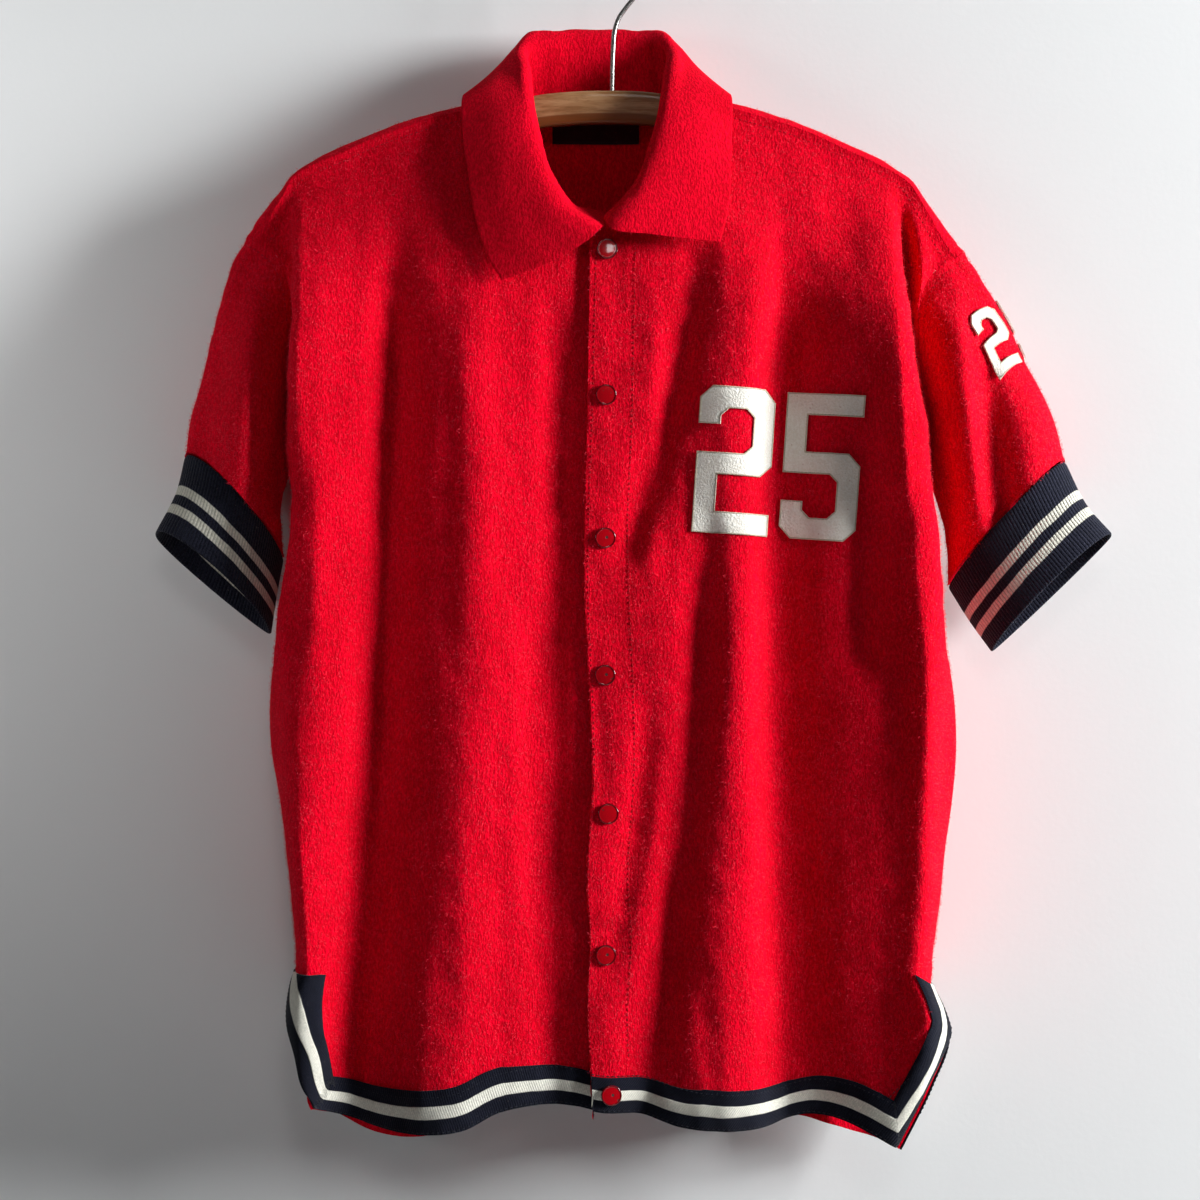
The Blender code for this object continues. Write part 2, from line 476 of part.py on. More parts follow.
def back_grid():
    """Grid of the back's outer points: columns from the wearer's right to the left, rows down."""
    over_r = shoulder_lines(RIGHT)[0]
    over_l = shoulder_lines(LEFT)[0]
    edge_r, vent_start = outer_edge(RIGHT, back=True)
    edge_l = outer_edge(LEFT, back=True)[0]
    neck_angles = np.linspace(0, math.pi, BACK_NECK_COLUMNS + 1)[1:-1]
    half = (LEFT.neck_x - RIGHT.neck_x) / 2
    middle = (LEFT.neck_x + RIGHT.neck_x) / 2
    neck_drop = BACK_NECK_DROP + 2 * np.sin(neck_angles)
    neck = np.stack([middle - half * np.cos(neck_angles), neck_drop], axis=1)
    top = np.concatenate([over_r[-1][:, [0, 2]], neck, over_l[-1][::-1][:, [0, 2]]])
    down = (edge_r[:, 2] - edge_r[0, 2]) / (edge_r[-1, 2] - edge_r[0, 2])
    across = (top[:, 0] - top[0, 0]) / (top[-1, 0] - top[0, 0])
    hem_x = edge_r[-1, 0] + across * (edge_l[-1, 0] - edge_r[-1, 0])
    bottom = np.stack([hem_x, smooth_at([r.x for r in BACK_HEM], [r.drop for r in BACK_HEM], hem_x)], axis=1)
    bottom[0], bottom[-1] = edge_r[-1, [0, 2]], edge_l[-1, [0, 2]]
    flat = patch(top, bottom, edge_r[:, [0, 2]], edge_l[:, [0, 2]], across, down)
    x, drop = flat[..., 0], flat[..., 1]
    away_r = np.abs(x - x[:1]) / edge_r[:, 3]
    away_l = np.abs(x - x[-1:]) / edge_l[:, 3]
    sides = edge_r[:, 1] * (1 - across[:, None]) + edge_l[:, 1] * across[:, None]
    level = sides + (back_y(x, drop) - sides) * roll(away_r) * roll(away_l)
    shoulder = len(SHOULDER_STEPS)
    level[:shoulder, 0] = over_r[-1][:, 1]
    level[-shoulder:, 0] = over_l[-1][::-1][:, 1]
    x = x - edge_r[:, 4] * 0.5 * np.sin(np.pi * np.clip(away_r, 0, 1))
    x = x + edge_l[:, 4] * 0.5 * np.sin(np.pi * np.clip(away_l, 0, 1))
    grid = np.stack([x, level, drop], axis=-1)
    between = grid[shoulder:len(top) - shoulder, 0]
    wraps = [np.concatenate([right, between, left[::-1]]) for right, left in zip(over_r[:-1], over_l[:-1])]
    return np.concatenate([np.stack(wraps, axis=1), grid], axis=1), vent_start + len(wraps)


# ---------------------------------------------------------------- sleeves
def armhole_ring(side):
    """Closed loop of the armhole seam, from the shoulder ridge down the front and up the back."""
    over = shoulder_lines(side)[0][:, 0]
    front = armhole_front(side)[1:, :3]
    back = armhole_back(side)[-2:0:-1, :3]
    ring = np.concatenate([over[RIDGE_STEP::-1], front, back, over[:RIDGE_STEP:-1]])
    return ring, RIDGE_STEP + ARMHOLE_ROWS


def ring_angles(ring, underarm):
    """Angle of each ring point: 0 on the upper edge, pi at the underarm, then on round the back."""
    closed = np.concatenate([ring, ring[:1]])
    steps = np.linalg.norm(np.diff(closed, axis=0), axis=1)
    front, back = steps[:underarm], steps[underarm:]
    first = np.concatenate([[0.0], np.cumsum(front) / front.sum()]) * math.pi
    second = math.pi + np.cumsum(back) / back.sum() * math.pi
    return np.concatenate([first, second[:-1]])


def tube_ring(upper, inner, angles, lift):
    """Ring of a flattened tube between its upper edge and its inner edge."""
    share = (1 - np.cos(angles)) / 2
    front = np.array([0.0, -SLEEVE_FRONT, -lift])
    back = np.array([0.0, -SLEEVE_BACK, -lift * 0.4])
    sine = np.sin(angles)
    reach = np.where(sine[:, None] > 0, front, back)
    return upper + (inner - upper) * share[:, None] + sine[:, None] * reach


def sleeve_grid(side, rings=SLEEVE_RINGS):
    """Grid of a sleeve's outer points, rings from the armhole seam to the cuff seam."""
    first, underarm = armhole_ring(side)
    angles = ring_angles(first, underarm)
    share = ((1 - np.cos(angles)) / 2)[:, None]
    down = np.linspace(0, 1, rings + 1)
    uppers = spread(side.sleeve_top, down)
    inners = spread(side.underarm, down)
    last = tube_ring(uppers[-1], inners[-1], angles, side.seam_lift)
    bend_first = first - (uppers[0] + (inners[0] - uppers[0]) * share)
    bend_last = last - (uppers[-1] + (inners[-1] - uppers[-1]) * share)
    rows = []
    for t, upper, inner in zip(down, uppers, inners):
        flat_blend = ease(t)
        deep_blend = math.sin(math.pi / 2 * t) ** 0.75
        bend = bend_first * (1 - flat_blend) + bend_last * flat_blend
        bend[:, 1] = bend_first[:, 1] * (1 - deep_blend) + bend_last[:, 1] * deep_blend
        bend[:, 1] -= SLEEVE_BOW * math.sin(math.pi * t) * np.sin(angles)
        ring = upper + (inner - upper) * share + bend
        fade = math.sin(math.pi * min(t * 1.6, 0.5)) * np.clip(np.abs(np.sin(angles)) * 1.4, 0, 1)
        push = fold_field(side.sleeve_folds, ring[:, 0], ring[:, 2]) * fade
        ring[:, 1] += push * np.where(np.sin(angles) > 0, 1, -1)
        rows.append(ring)
    return np.stack(rows, axis=1), angles


def cuff_grid(side, angles):
    """Grid of a cuff's outer points, rings from the cuff seam to its mouth."""
    down = np.linspace(0, 1, CUFF_RINGS + 1)
    uppers = spread(side.cuff_top, down)
    inners = spread(side.cuff_in, down)
    rings = [tube_ring(u, i, angles, side.seam_lift) for u, i in zip(uppers, inners)]
    return np.stack(rings, axis=1)


# ---------------------------------------------------------------- collar
def collar_half(side, seam_points, along):
    """Sections of one half of the collar, each from the neck seam over the fold to the free edge."""
    table = np.array(side.collar, float)
    steps = COLLAR_STEPS if along[0] < along[-1] else COLLAR_STEPS[::-1]
    order = np.argsort(along)
    seams = np.stack([np.interp(steps, along[order], seam_points[order, k]) for k in range(3)], axis=1)
    rows = smooth_at(table[:, 0], table[:, 1:], steps)
    sections = []
    for seam, row in zip(seams, rows):
        fold_out, fold_y, fold_drop, edge_out, edge_y, edge_drop, facing, sag = row
        fold = np.array([NECK_CENTRE + side.sign * fold_out, fold_y, fold_drop])
        edge = np.array([NECK_CENTRE + side.sign * edge_out, edge_y, edge_drop])
        facing = math.radians(facing)
        out = np.array([math.cos(facing), math.sin(facing), 0.0])
        inner = fold - out * COLLAR_FOLD_HALF + (0, 0, COLLAR_FOLD_TUCK)
        outer = fold + out * COLLAR_FOLD_HALF + (0, 0, COLLAR_FOLD_TUCK)
        stand = seam + (inner - seam) * 0.5 + out * COLLAR_STAND_BOW
        fall = outer + (edge - outer) * 0.4 + out * COLLAR_FALL_BOW + (0, 0, sag)
        sections.append(spread([seam, stand, inner, fold, outer, fall, edge], COLLAR_LEVELS))
    return np.array(sections)


def neck_edge(grid, normals, columns, row, away):
    """Inner edge points of a panel at the neck seam, moved a little away from the panel."""
    edge = grid[columns, row] - normals[columns, row] * FLEECE_THICK
    return edge + np.asarray(away, float)


def into_neck(edge):
    """Unit steps in the front view from points of the neck edge into the neck opening."""
    along = np.gradient(edge[:, [0, 2]], axis=0)
    along /= np.linalg.norm(along, axis=1, keepdims=True)
    across = np.stack([along[:, 1], -along[:, 0]], axis=1)
    facing = (across * ((NECK_CENTRE, 120) - edge[:, [0, 2]])).sum(axis=1, keepdims=True)
    across = across * np.sign(facing)
    return np.stack([across[:, 0], np.zeros(len(edge)), across[:, 1]], axis=1)


def collar_grid(front_right, front_left, back):
    """Grid of the collar's visible points, from the right front end round the back to the left one."""
    shoulder = len(SHOULDER_STEPS)
    neck = list(range(shoulder - 1, shoulder + NECK_COLUMNS))
    behind = list(range(shoulder, len(back) - shoulder))
    last = len(WRAP_STEPS) - 1
    front_points = []
    for grid, side in ((front_right, RIGHT), (front_left, LEFT)):
        points = neck_edge(grid, panel_normals(grid, side), neck, 0, (0, 0.4, 0))
        points = points + into_neck(points) * COLLAR_SET
        points[-1, 0] += side.sign * COLLAR_END_SET
        front_points.append(points)
    right, left = front_points
    normals = back_normals(back)
    middle = neck_edge(back, normals, behind, last, (0, 0, -0.4))
    sides = []
    for column, sign in ((shoulder - 1, 1), (len(back) - shoulder, -1)):
        away = (sign * COLLAR_SET, 0, -0.2)
        sides.append([neck_edge(back, normals, column, row, away) for row in (last, RIDGE_STEP)])
    half = len(behind) // 2
    front_along = np.linspace(1.0, 0.47, len(neck))
    back_along = np.concatenate([[0.42, 0.36], np.linspace(0.30, 0.0, half + 1)])
    first = collar_half(RIGHT, np.concatenate([right[::-1], sides[0][::-1], middle[:half + 1]]),
                        np.concatenate([front_along, back_along]))
    second = collar_half(LEFT, np.concatenate([middle[half:], sides[1], left]),
                         np.concatenate([back_along[::-1], front_along[::-1]]))
    return np.concatenate([first, second[1:]])


# ---------------------------------------------------------------- meshes
def grid_normals(grid, sign, cyclic=False):
    """Unit normals of a grid, pointing out of the garment."""
    if cyclic:
        wide = np.concatenate([grid[-1:], grid, grid[:1]])
        across = (wide[2:] - wide[:-2]) / 2
    else:
        across = np.gradient(grid, axis=0)
    down = np.gradient(grid, axis=1)
    normal = np.cross(down, across) * sign
    return normal / np.maximum(np.linalg.norm(normal, axis=-1, keepdims=True), 1e-9)


def panel_normals(grid, side):
    """Normals of a front, shared with the back along the shoulder seam and the side seam."""
    normals = grid_normals(grid, side.sign)
    shoulder = len(SHOULDER_STEPS)
    normals[:shoulder, 0] = shoulder_lines(side)[1][0]
    flank = slice(ARMHOLE_ROWS, ARMHOLE_ROWS + FLANK_ROWS + 1)
    normals[0, flank] = (side.sign, 0, 0)
    return normals


def back_normals(grid):
    """Normals of the back, shared with the fronts along their seams."""
    normals = grid_normals(grid, 1)
    shoulder = len(SHOULDER_STEPS)
    last = len(WRAP_STEPS) - 1
    normals[shoulder:-shoulder, last:] = grid_normals(grid[:, last:], 1)[shoulder:-shoulder]
    normals[:shoulder, :last + 1] = shoulder_lines(RIGHT)[1].swapaxes(0, 1)
    normals[-shoulder:, :last + 1] = shoulder_lines(LEFT)[1].swapaxes(0, 1)[::-1]
    first = last + ARMHOLE_ROWS
    normals[0, first:first + FLANK_ROWS + 1] = (-1, 0, 0)
    normals[-1, first:first + FLANK_ROWS + 1] = (1, 0, 0)
    return normals


def to_world(points):
    """From (x, y, drop) in mm to (x, y, z) in metres."""
    points = np.asarray(points, float) * MM
    return np.stack([points[..., 0], points[..., 1], -points[..., 2]], axis=-1)


def wall(name, grid, sign, outer, inner, material, cells=None, cyclic=False, normals=None):
    """Closed wall over the cells of a grid, between two offsets along its outward normals."""
    if normals is None:
        normals = grid_normals(grid, sign, cyclic)
    count_i, count_j = grid.shape[:2]
    far, near = to_world(grid + normals * outer), to_world(grid + normals * inner)
    cell_rows = count_i if cyclic else count_i - 1
    if cells is None:
        cells = np.ones((cell_rows, count_j - 1), bool)
    mesh = bmesh.new()
    made = {}

    def vert(level, i, j):
        key = (level, i % count_i, j)
        if key not in made:
            made[key] = mesh.verts.new((far if level else near)[key[1], j])
        return made[key]

    def has(i, j):
        if cyclic:
            i %= cell_rows
        return 0 <= i < cell_rows and 0 <= j < count_j - 1 and cells[i, j]

    def face(corners):
        mesh.faces.new(corners if sign < 0 else corners[::-1])

    for i, j in np.argwhere(cells):
        ring = ((i, j), (i, j + 1), (i + 1, j + 1), (i + 1, j))
        face([vert(1, *c) for c in ring])
        face([vert(0, *c) for c in ring[::-1]])
        for (a, b), (ni, nj) in zip(((ring[0], ring[1]), (ring[1], ring[2]), (ring[2], ring[3]),
                                     (ring[3], ring[0])), ((i - 1, j), (i, j + 1), (i + 1, j), (i, j - 1))):
            if not has(ni, nj):
                face([vert(1, *b), vert(1, *a), vert(0, *a), vert(0, *b)])
    return finish_mesh(name, mesh, material)


def finish_mesh(name, mesh, material, sharp=50.0):
    """Object from a bmesh, triangulated, smooth shaded and with its material."""
    bmesh.ops.triangulate(mesh, faces=mesh.faces[:])
    data = bpy.data.meshes.new(name)
    mesh.to_mesh(data)
    mesh.free()
    data.shade_smooth()
    data.set_sharp_from_angle(angle=math.radians(sharp))
    data.materials.append(material)
    obj = bpy.data.objects.new(name, data)
    bpy.context.collection.objects.link(obj)
    return obj


def tree_of(obj):
    """Search tree over an object's own triangles."""
    mesh = bmesh.new()
    mesh.from_mesh(obj.data)
    tree = BVHTree.FromBMesh(mesh)
    mesh.free()
    return tree


# ---------------------------------------------------------------- trims
def tape_cells(grid, vent_start, both_sides=False):
    """Cells of the tape: the last two rows, and the outer columns down the vent."""
    cells = np.zeros((grid.shape[0] - 1, grid.shape[1] - 1), bool)
    cells[:, -2:] = True
    cells[:TAPE_COLUMNS, vent_start:] = True
    if both_sides:
        cells[-TAPE_COLUMNS:, vent_start:] = True
    return cells


def block_outline(digit, wide, high, stroke):
    """Outline of a block numeral 5, or of a 2, which is the same turned upside down."""
    cut = stroke * 0.55
    nick = stroke * 0.35
    bar = high * 0.60
    hook = stroke * 1.75
    points = [(0, cut), (cut, 0), (wide - cut, 0), (wide, cut), (wide, bar - cut), (wide - cut, bar),
              (stroke, bar), (stroke, high - stroke), (wide, high - stroke), (wide, high), (0, high),
              (0, bar - stroke), (wide - stroke - nick, bar - stroke),
              (wide - stroke, bar - stroke - nick), (wide - stroke, stroke + nick),
              (wide - stroke - nick, stroke), (stroke + nick, stroke), (stroke, stroke + nick),
              (stroke, hook), (0, hook)]
    points = [(x - wide / 2, z - high / 2) for x, z in points]
    if digit == 2:
        points = [(x, -z) for x, z in points[::-1]]
    return points


def felt_shape(outline, step):
    """Flat mesh of an outline, cut into pieces no longer than step so that it can bend."""
    mesh = bmesh.new()
    mesh.faces.new([mesh.verts.new((x, 0, z)) for x, z in outline])
    xs = [x for x, _ in outline]
    zs = [z for _, z in outline]
    for axis, low, high in ((Vector((1, 0, 0)), min(xs), max(xs)), (Vector((0, 0, 1)), min(zs), max(zs))):
        count = int((high - low) // step)
        for k in range(1, count + 1):
            place = axis * (low + (high - low) * k / (count + 1))
            bmesh.ops.bisect_plane(mesh, geom=mesh.verts[:] + mesh.edges[:] + mesh.faces[:],
                                   plane_co=place, plane_no=axis, dist=1e-4)
    bmesh.ops.triangulate(mesh, faces=mesh.faces[:])
    return mesh


def raise_felt(name, mesh, place, material, lift=FELT_LIFT):
    """Turns a flat felt shape into a thick one; place gives a base point and normal in metres."""
    flat = list(mesh.faces)
    low, high = {}, {}
    spots = {v: place(v.co.x, v.co.z) for v in mesh.verts}
    solid = bmesh.new()
    for vert, (point, normal) in spots.items():
        low[vert] = solid.verts.new(point + normal * (lift * MM))
        high[vert] = solid.verts.new(point + normal * ((lift + FELT_THICK) * MM))
    for face in flat:
        loop = list(face.verts)
        solid.faces.new([high[v] for v in loop])
        solid.faces.new([low[v] for v in loop[::-1]])
    for edge in mesh.edges:
        if len(edge.link_loops) == 1:
            loop = edge.link_loops[0]
            a, b = loop.vert, loop.link_loop_next.vert
            solid.faces.new([high[b], high[a], low[a], low[b]])
    mesh.free()
    return finish_mesh(name, solid, material)


def on_front(tree, middle_x, middle_drop, turn):
    """Place on the front's own facets, straight behind a spot of the front view."""
    cos, sin = math.cos(math.radians(turn)), math.sin(math.radians(turn))

    def place(x, z):
        spot = Vector((middle_x + x * cos - z * sin, AHEAD, -middle_drop + x * sin + z * cos)) * MM
        point, normal, _, _ = tree.ray_cast(spot, Vector((0, 1, 0)))
        return point, (normal + Vector((0, -2, 0))).normalized()

    return place


def on_sleeve(grid, normals, down, around):
    """Place on the sleeve's outer points, measured round its upper edge from the front."""
    rings = grid.shape[1] - 1
    slope = np.linalg.norm(grid[0, -1] - grid[0, 0]) / rings
    both = np.concatenate([grid, normals], axis=-1)
    both = np.concatenate([both[-EDGE_BEFORE:], both[:EDGE_AFTER]])

    def place(x, z):
        t = down * rings - z / slope
        j = min(int(t), rings - 1)
        ring = both[:, j] * (1 - (t - j)) + both[:, j + 1] * (t - j)
        steps = np.linalg.norm(np.diff(ring[:, :3], axis=0), axis=1)
        reach = np.concatenate([[0.0], np.cumsum(steps)]) - steps[:EDGE_BEFORE].sum()
        spot = [np.interp(around - x, reach, ring[:, k]) for k in range(6)]
        normal = Vector((spot[3], spot[4], -spot[5])).normalized()
        return Vector(to_world(spot[:3])), normal

    return place


def snap_cap(name, tree, row, material):
    """Enamelled cap: a low turned dome, standing on the front along its normal."""
    spot = Vector((row.x, AHEAD, -row.drop)) * MM
    point, _, _, _ = tree.ray_cast(spot, Vector((0, 1, 0)))
    around = []
    for k in range(8):
        angle = k * math.pi / 4
        aim = spot + Vector((math.cos(angle), 0, math.sin(angle))) * (SNAP_RADIUS * MM)
        around.append(tree.ray_cast(aim, Vector((0, 1, 0)))[0])
    normal = Vector((0, 0, 0))
    for k in range(8):
        normal += (around[k] - point).cross(around[(k + 1) % 8] - point)
    normal.normalize()
    if normal.y > 0:
        normal.negate()
    ahead = max((a - point).dot(normal) for a in around + [point])
    profile = [(0.0, 0.0), (SNAP_RADIUS - 0.5, 0.0), (SNAP_RADIUS, 0.5), (SNAP_RADIUS, 1.2),
               (SNAP_RADIUS - 0.5, 1.6), (SNAP_RADIUS * 0.6, SNAP_HIGH - 0.1), (0.0, SNAP_HIGH)]
    mesh = bmesh.new()
    steps = 16
    rings = []
    for radius, high in profile:
        if radius == 0:
            rings.append([mesh.verts.new((0, 0, high * MM))] * steps)
            continue
        rings.append([mesh.verts.new((radius * MM * math.cos(k * math.tau / steps),
                                      radius * MM * math.sin(k * math.tau / steps), high * MM))
                      for k in range(steps)])
    for lower, upper in zip(rings, rings[1:]):
        for k in range(steps):
            corners = [lower[k], lower[(k + 1) % steps], upper[(k + 1) % steps], upper[k]]
            mesh.faces.new(list(dict.fromkeys(corners)))
    obj = finish_mesh(name, mesh, material)
    obj.location = point + normal * (ahead + SNAP_LIFT * MM)
    obj.rotation_mode = "QUATERNION"
    obj.rotation_quaternion = normal.to_track_quat("Z", "Y")
    return obj


def label_piece(back, material):
    """Neck label: a blank woven strip on the inner face of the back, under the collar seam."""
    columns = np.linspace(LABEL_LEFT, LABEL_RIGHT, 7)
    drops = np.linspace(LABEL_TOP, LABEL_BOTTOM, 4)
    tree = tree_of(back)
    points = np.zeros((len(columns), len(drops), 3))
    for i, x in enumerate(columns):
        for j, drop in enumerate(drops):
            hit = tree.ray_cast(Vector((x, -20, -drop)) * MM, Vector((0, 1, 0)))[0]
            points[i, j] = (x, hit.y / MM - 0.7, drop)
    normals = np.zeros_like(points)
    normals[..., 1] = -1
    return wall("label", points, -1, LABEL_THICK, 0.0, material, normals=normals)


# ---------------------------------------------------------------- hanger
def hanger_bar(material):
    """Curved flat bar with rounded edges and a hole for the hook's shank."""
    table = np.array(HANGER_TOP, float)
    xs = np.concatenate([np.linspace(table[0, 0], table[0, 0] + 8, 3)[:-1],
                         np.linspace(table[0, 0] + 8, table[-1, 0] - 8, 25),
                         np.linspace(table[-1, 0] - 8, table[-1, 0], 3)[1:]])
    tops = smooth_at(table[:, 0], table[:, 1], xs)
    ends = np.minimum(xs - xs[0], xs[-1] - xs)
    high = HANGER_HIGH_TIP + (HANGER_HIGH - HANGER_HIGH_TIP) * ease(ends / 130)
    round_end = 0.55 + 0.45 * roll(ends / 8)
    half = HANGER_THICK / 2
    edge = 3.2
    outline = []
    for cy, cz, start in ((half - edge, edge, 0), (half - edge, -edge, 90),
                          (edge - half, -edge, 180), (edge - half, edge, 270)):
        for step in (0, 45, 90):
            angle = math.radians(start + step)
            outline.append((cy, math.copysign(1, cz), edge * math.sin(angle), edge * math.cos(angle), cz > 0))
    mesh = bmesh.new()
    rings = []
    for x, top, tall, narrow in zip(xs, tops, high, round_end):
        ring = []
        for cy, _, dy, dz, upper in outline:
            level = top + edge if upper else top + tall - edge
            drop = level - dz
            middle = top + tall / 2
            ring.append(mesh.verts.new(to_world((x, (cy + dy) * narrow, middle + (drop - middle) * narrow))))
        rings.append(ring)
    for first, second in zip(rings, rings[1:]):
        for k in range(len(first)):
            mesh.faces.new((first[k], first[k - 1], second[k - 1], second[k]))
    mesh.faces.new(rings[0])
    mesh.faces.new(rings[-1][::-1])
    bmesh.ops.recalc_face_normals(mesh, faces=mesh.faces[:])
    bar = finish_mesh("hanger_bar", mesh, material, sharp=40)
    shank = HOOK_SHANK[0]
    bpy.ops.mesh.primitive_cylinder_add(vertices=16, radius=HOOK_HOLE * MM, depth=26 * MM,
                                        location=(shank.x * MM, 0, (-shank.drop + 12.5) * MM))
    drill = bpy.context.object
    drill.name = "shank_hole"
    drill.hide_render = True
    drill.display_type = "WIRE"
    cut = bar.modifiers.new("hole", "BOOLEAN")
    cut.operation = "DIFFERENCE"
    cut.object = drill
    return bar


def hanger_hook(material):
    """Bent wire: a shank that swings out into an open loop, whose inner top is the origin."""
    points = [(r.x, r.y, r.drop) for r in HOOK_SHANK]
    for degrees in np.linspace(HOOK_START, HOOK_END, 19):
        angle = math.radians(degrees)
        points.append((HOOK_LOOP_X + HOOK_LOOP * math.cos(angle), 0,
                       HOOK_LOOP_DROP - HOOK_LOOP * math.sin(angle)))
    path = to_world(spread(points, np.linspace(0, 1, 34)))
    curve = bpy.data.curves.new("hanger_hook", "CURVE")
    curve.dimensions = "3D"
    curve.bevel_depth = HOOK_WIRE / 2 * MM
    curve.bevel_resolution = 2
    curve.use_fill_caps = True
    spline = curve.splines.new("POLY")
    spline.points.add(len(path) - 1)
    for point, place in zip(spline.points, path):
        point.co = (*place, 1)
    curve.materials.append(material)
    obj = bpy.data.objects.new("hanger_hook", curve)
    bpy.context.collection.objects.link(obj)
    return obj


# ---------------------------------------------------------------- whole
def make_material(name, colour, roughness, metallic=0.0):
    """Plain material of one finish."""
    material = bpy.data.materials.new(name)
    material.use_nodes = True
    shader = material.node_tree.nodes["Principled BSDF"]
    shader.inputs["Base Color"].default_value = (*colour, 1)
    shader.inputs["Roughness"].default_value = roughness
    shader.inputs["Metallic"].default_value = metallic
    material.diffuse_color = (*colour, 1)
    return material


def main():
    """Builds every solid of the jacket and its hanger."""
    for obj in list(bpy.data.objects):
        bpy.data.objects.remove(obj, do_unlink=True)
    fleece = make_material("red_fleece", (0.62, 0.008, 0.02), 0.95)
    knit = make_material("navy_knit", (0.006, 0.007, 0.014), 0.9)
    braid = make_material("navy_braid", (0.01, 0.01, 0.02), 0.85)
    felt = make_material("cream_felt", (0.78, 0.70, 0.56), 0.95)
    satin = make_material("black_label", (0.008, 0.008, 0.01), 0.5)
    enamel = make_material("red_enamel", (0.42, 0.006, 0.014), 0.25)
    wood = make_material("varnished_wood", (0.45, 0.24, 0.10), 0.45)
    steel = make_material("steel_wire", (0.35, 0.34, 0.33), 0.35, 1.0)

    right_grid, right_vent = front_grid(RIGHT)
    left_grid, left_vent = front_grid(LEFT)
    back_points, back_vent = back_grid()
    collar_points = collar_grid(right_grid, left_grid, back_points)

    fronts = {}
    for name, grid, side, vent in (("right", right_grid, RIGHT, right_vent),
                                   ("left", left_grid, LEFT, left_vent)):
        trimmed = draw_in(grid)
        normals = panel_normals(grid, side)
        fronts[name] = wall("front_" + name, trimmed, side.sign, 0, -FLEECE_THICK, fleece, normals=normals)
        wall("tape_front_" + name, trimmed, side.sign, TAPE_GAP + TAPE_THICK, TAPE_GAP, braid,
             cells=tape_cells(grid, vent), normals=normals)

    shoulder = len(SHOULDER_STEPS)
    cells = np.ones((back_points.shape[0] - 1, back_points.shape[1] - 1), bool)
    cells[shoulder - 1:len(back_points) - shoulder, :len(WRAP_STEPS) - 1] = False
    normals = back_normals(back_points)
    trimmed = draw_in(back_points)
    back = wall("back", trimmed, 1, 0, -FLEECE_THICK, fleece, cells=cells, normals=normals)
    wall("tape_back", trimmed, 1, TAPE_GAP + TAPE_THICK, TAPE_GAP, braid,
         cells=tape_cells(back_points, back_vent, both_sides=True), normals=normals)
    label_piece(back, satin)

    sleeves = {}
    for name, side in (("right", RIGHT), ("left", LEFT)):
        grid, angles = sleeve_grid(side)
        cuff = cuff_grid(side, angles)
        normals = grid_normals(grid, side.sign, cyclic=True)
        cuff_normals = grid_normals(cuff, side.sign, cyclic=True)
        shared = normals[:, -1] + cuff_normals[:, 0]
        shared /= np.linalg.norm(shared, axis=-1, keepdims=True)
        normals[:, -1] = shared
        cuff_normals[:, 0] = shared
        tube = draw_in(draw_in(grid, ("start",)), ("end",), CUFF_SEAM_GAP / 2)
        wall("sleeve_" + name, tube, side.sign, 0, -FLEECE_THICK, fleece, cyclic=True, normals=normals)
        wall("cuff_" + name, draw_in(cuff, ("start",), CUFF_SEAM_GAP / 2), side.sign, 0, -CUFF_THICK, knit,
             cyclic=True, normals=cuff_normals)
        sleeves[name] = (grid, normals)

    wall("collar", collar_points, -1, 0, -FLEECE_THICK, fleece)

    chest = tree_of(fronts["left"])
    for name, digit, x, drop, turn in CHEST_DIGITS:
        outline = block_outline(digit, CHEST_DIGIT_WIDE, CHEST_DIGIT_HIGH, CHEST_STROKE)
        raise_felt(name, felt_shape(outline, 10), on_front(chest, x, drop, turn), felt)
    grid, normals = sleeves["left"]
    for name, digit, down, around, lift in SLEEVE_DIGITS:
        outline = block_outline(digit, SLEEVE_DIGIT_WIDE, SLEEVE_DIGIT_HIGH, SLEEVE_STROKE)
        raise_felt(name, felt_shape(outline, 6), on_sleeve(grid, normals, down, around), felt, lift)
    tape = tree_of(bpy.data.objects["tape_front_left"])
    for number, row in enumerate(SNAPS, start=1):
        snap_cap(f"snap_{number}", tape if number == len(SNAPS) else chest, row, enamel)
    hanger_bar(wood)
    hanger_hook(steel)


main()
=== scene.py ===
"""Looks of a short-sleeved fleece warm-up jacket that hangs snapped shut on a curved wooden hanger.

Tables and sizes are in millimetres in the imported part's frame: x runs to the wearer's left, y from
front to back, and drop is the distance below the inner top of the hook. Meshes are made in metres.
"""
import logging
import math
from dataclasses import dataclass, field
from enum import Enum
from typing import Callable, NamedTuple, Sequence

import bmesh
import bpy
import numpy as np
from bpy.types import Material, Node, NodeSocket, NodeTree, Object
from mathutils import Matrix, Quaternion, Vector
from mathutils.bvhtree import BVHTree
from numpy import concatenate as join
from numpy import ndarray as Array


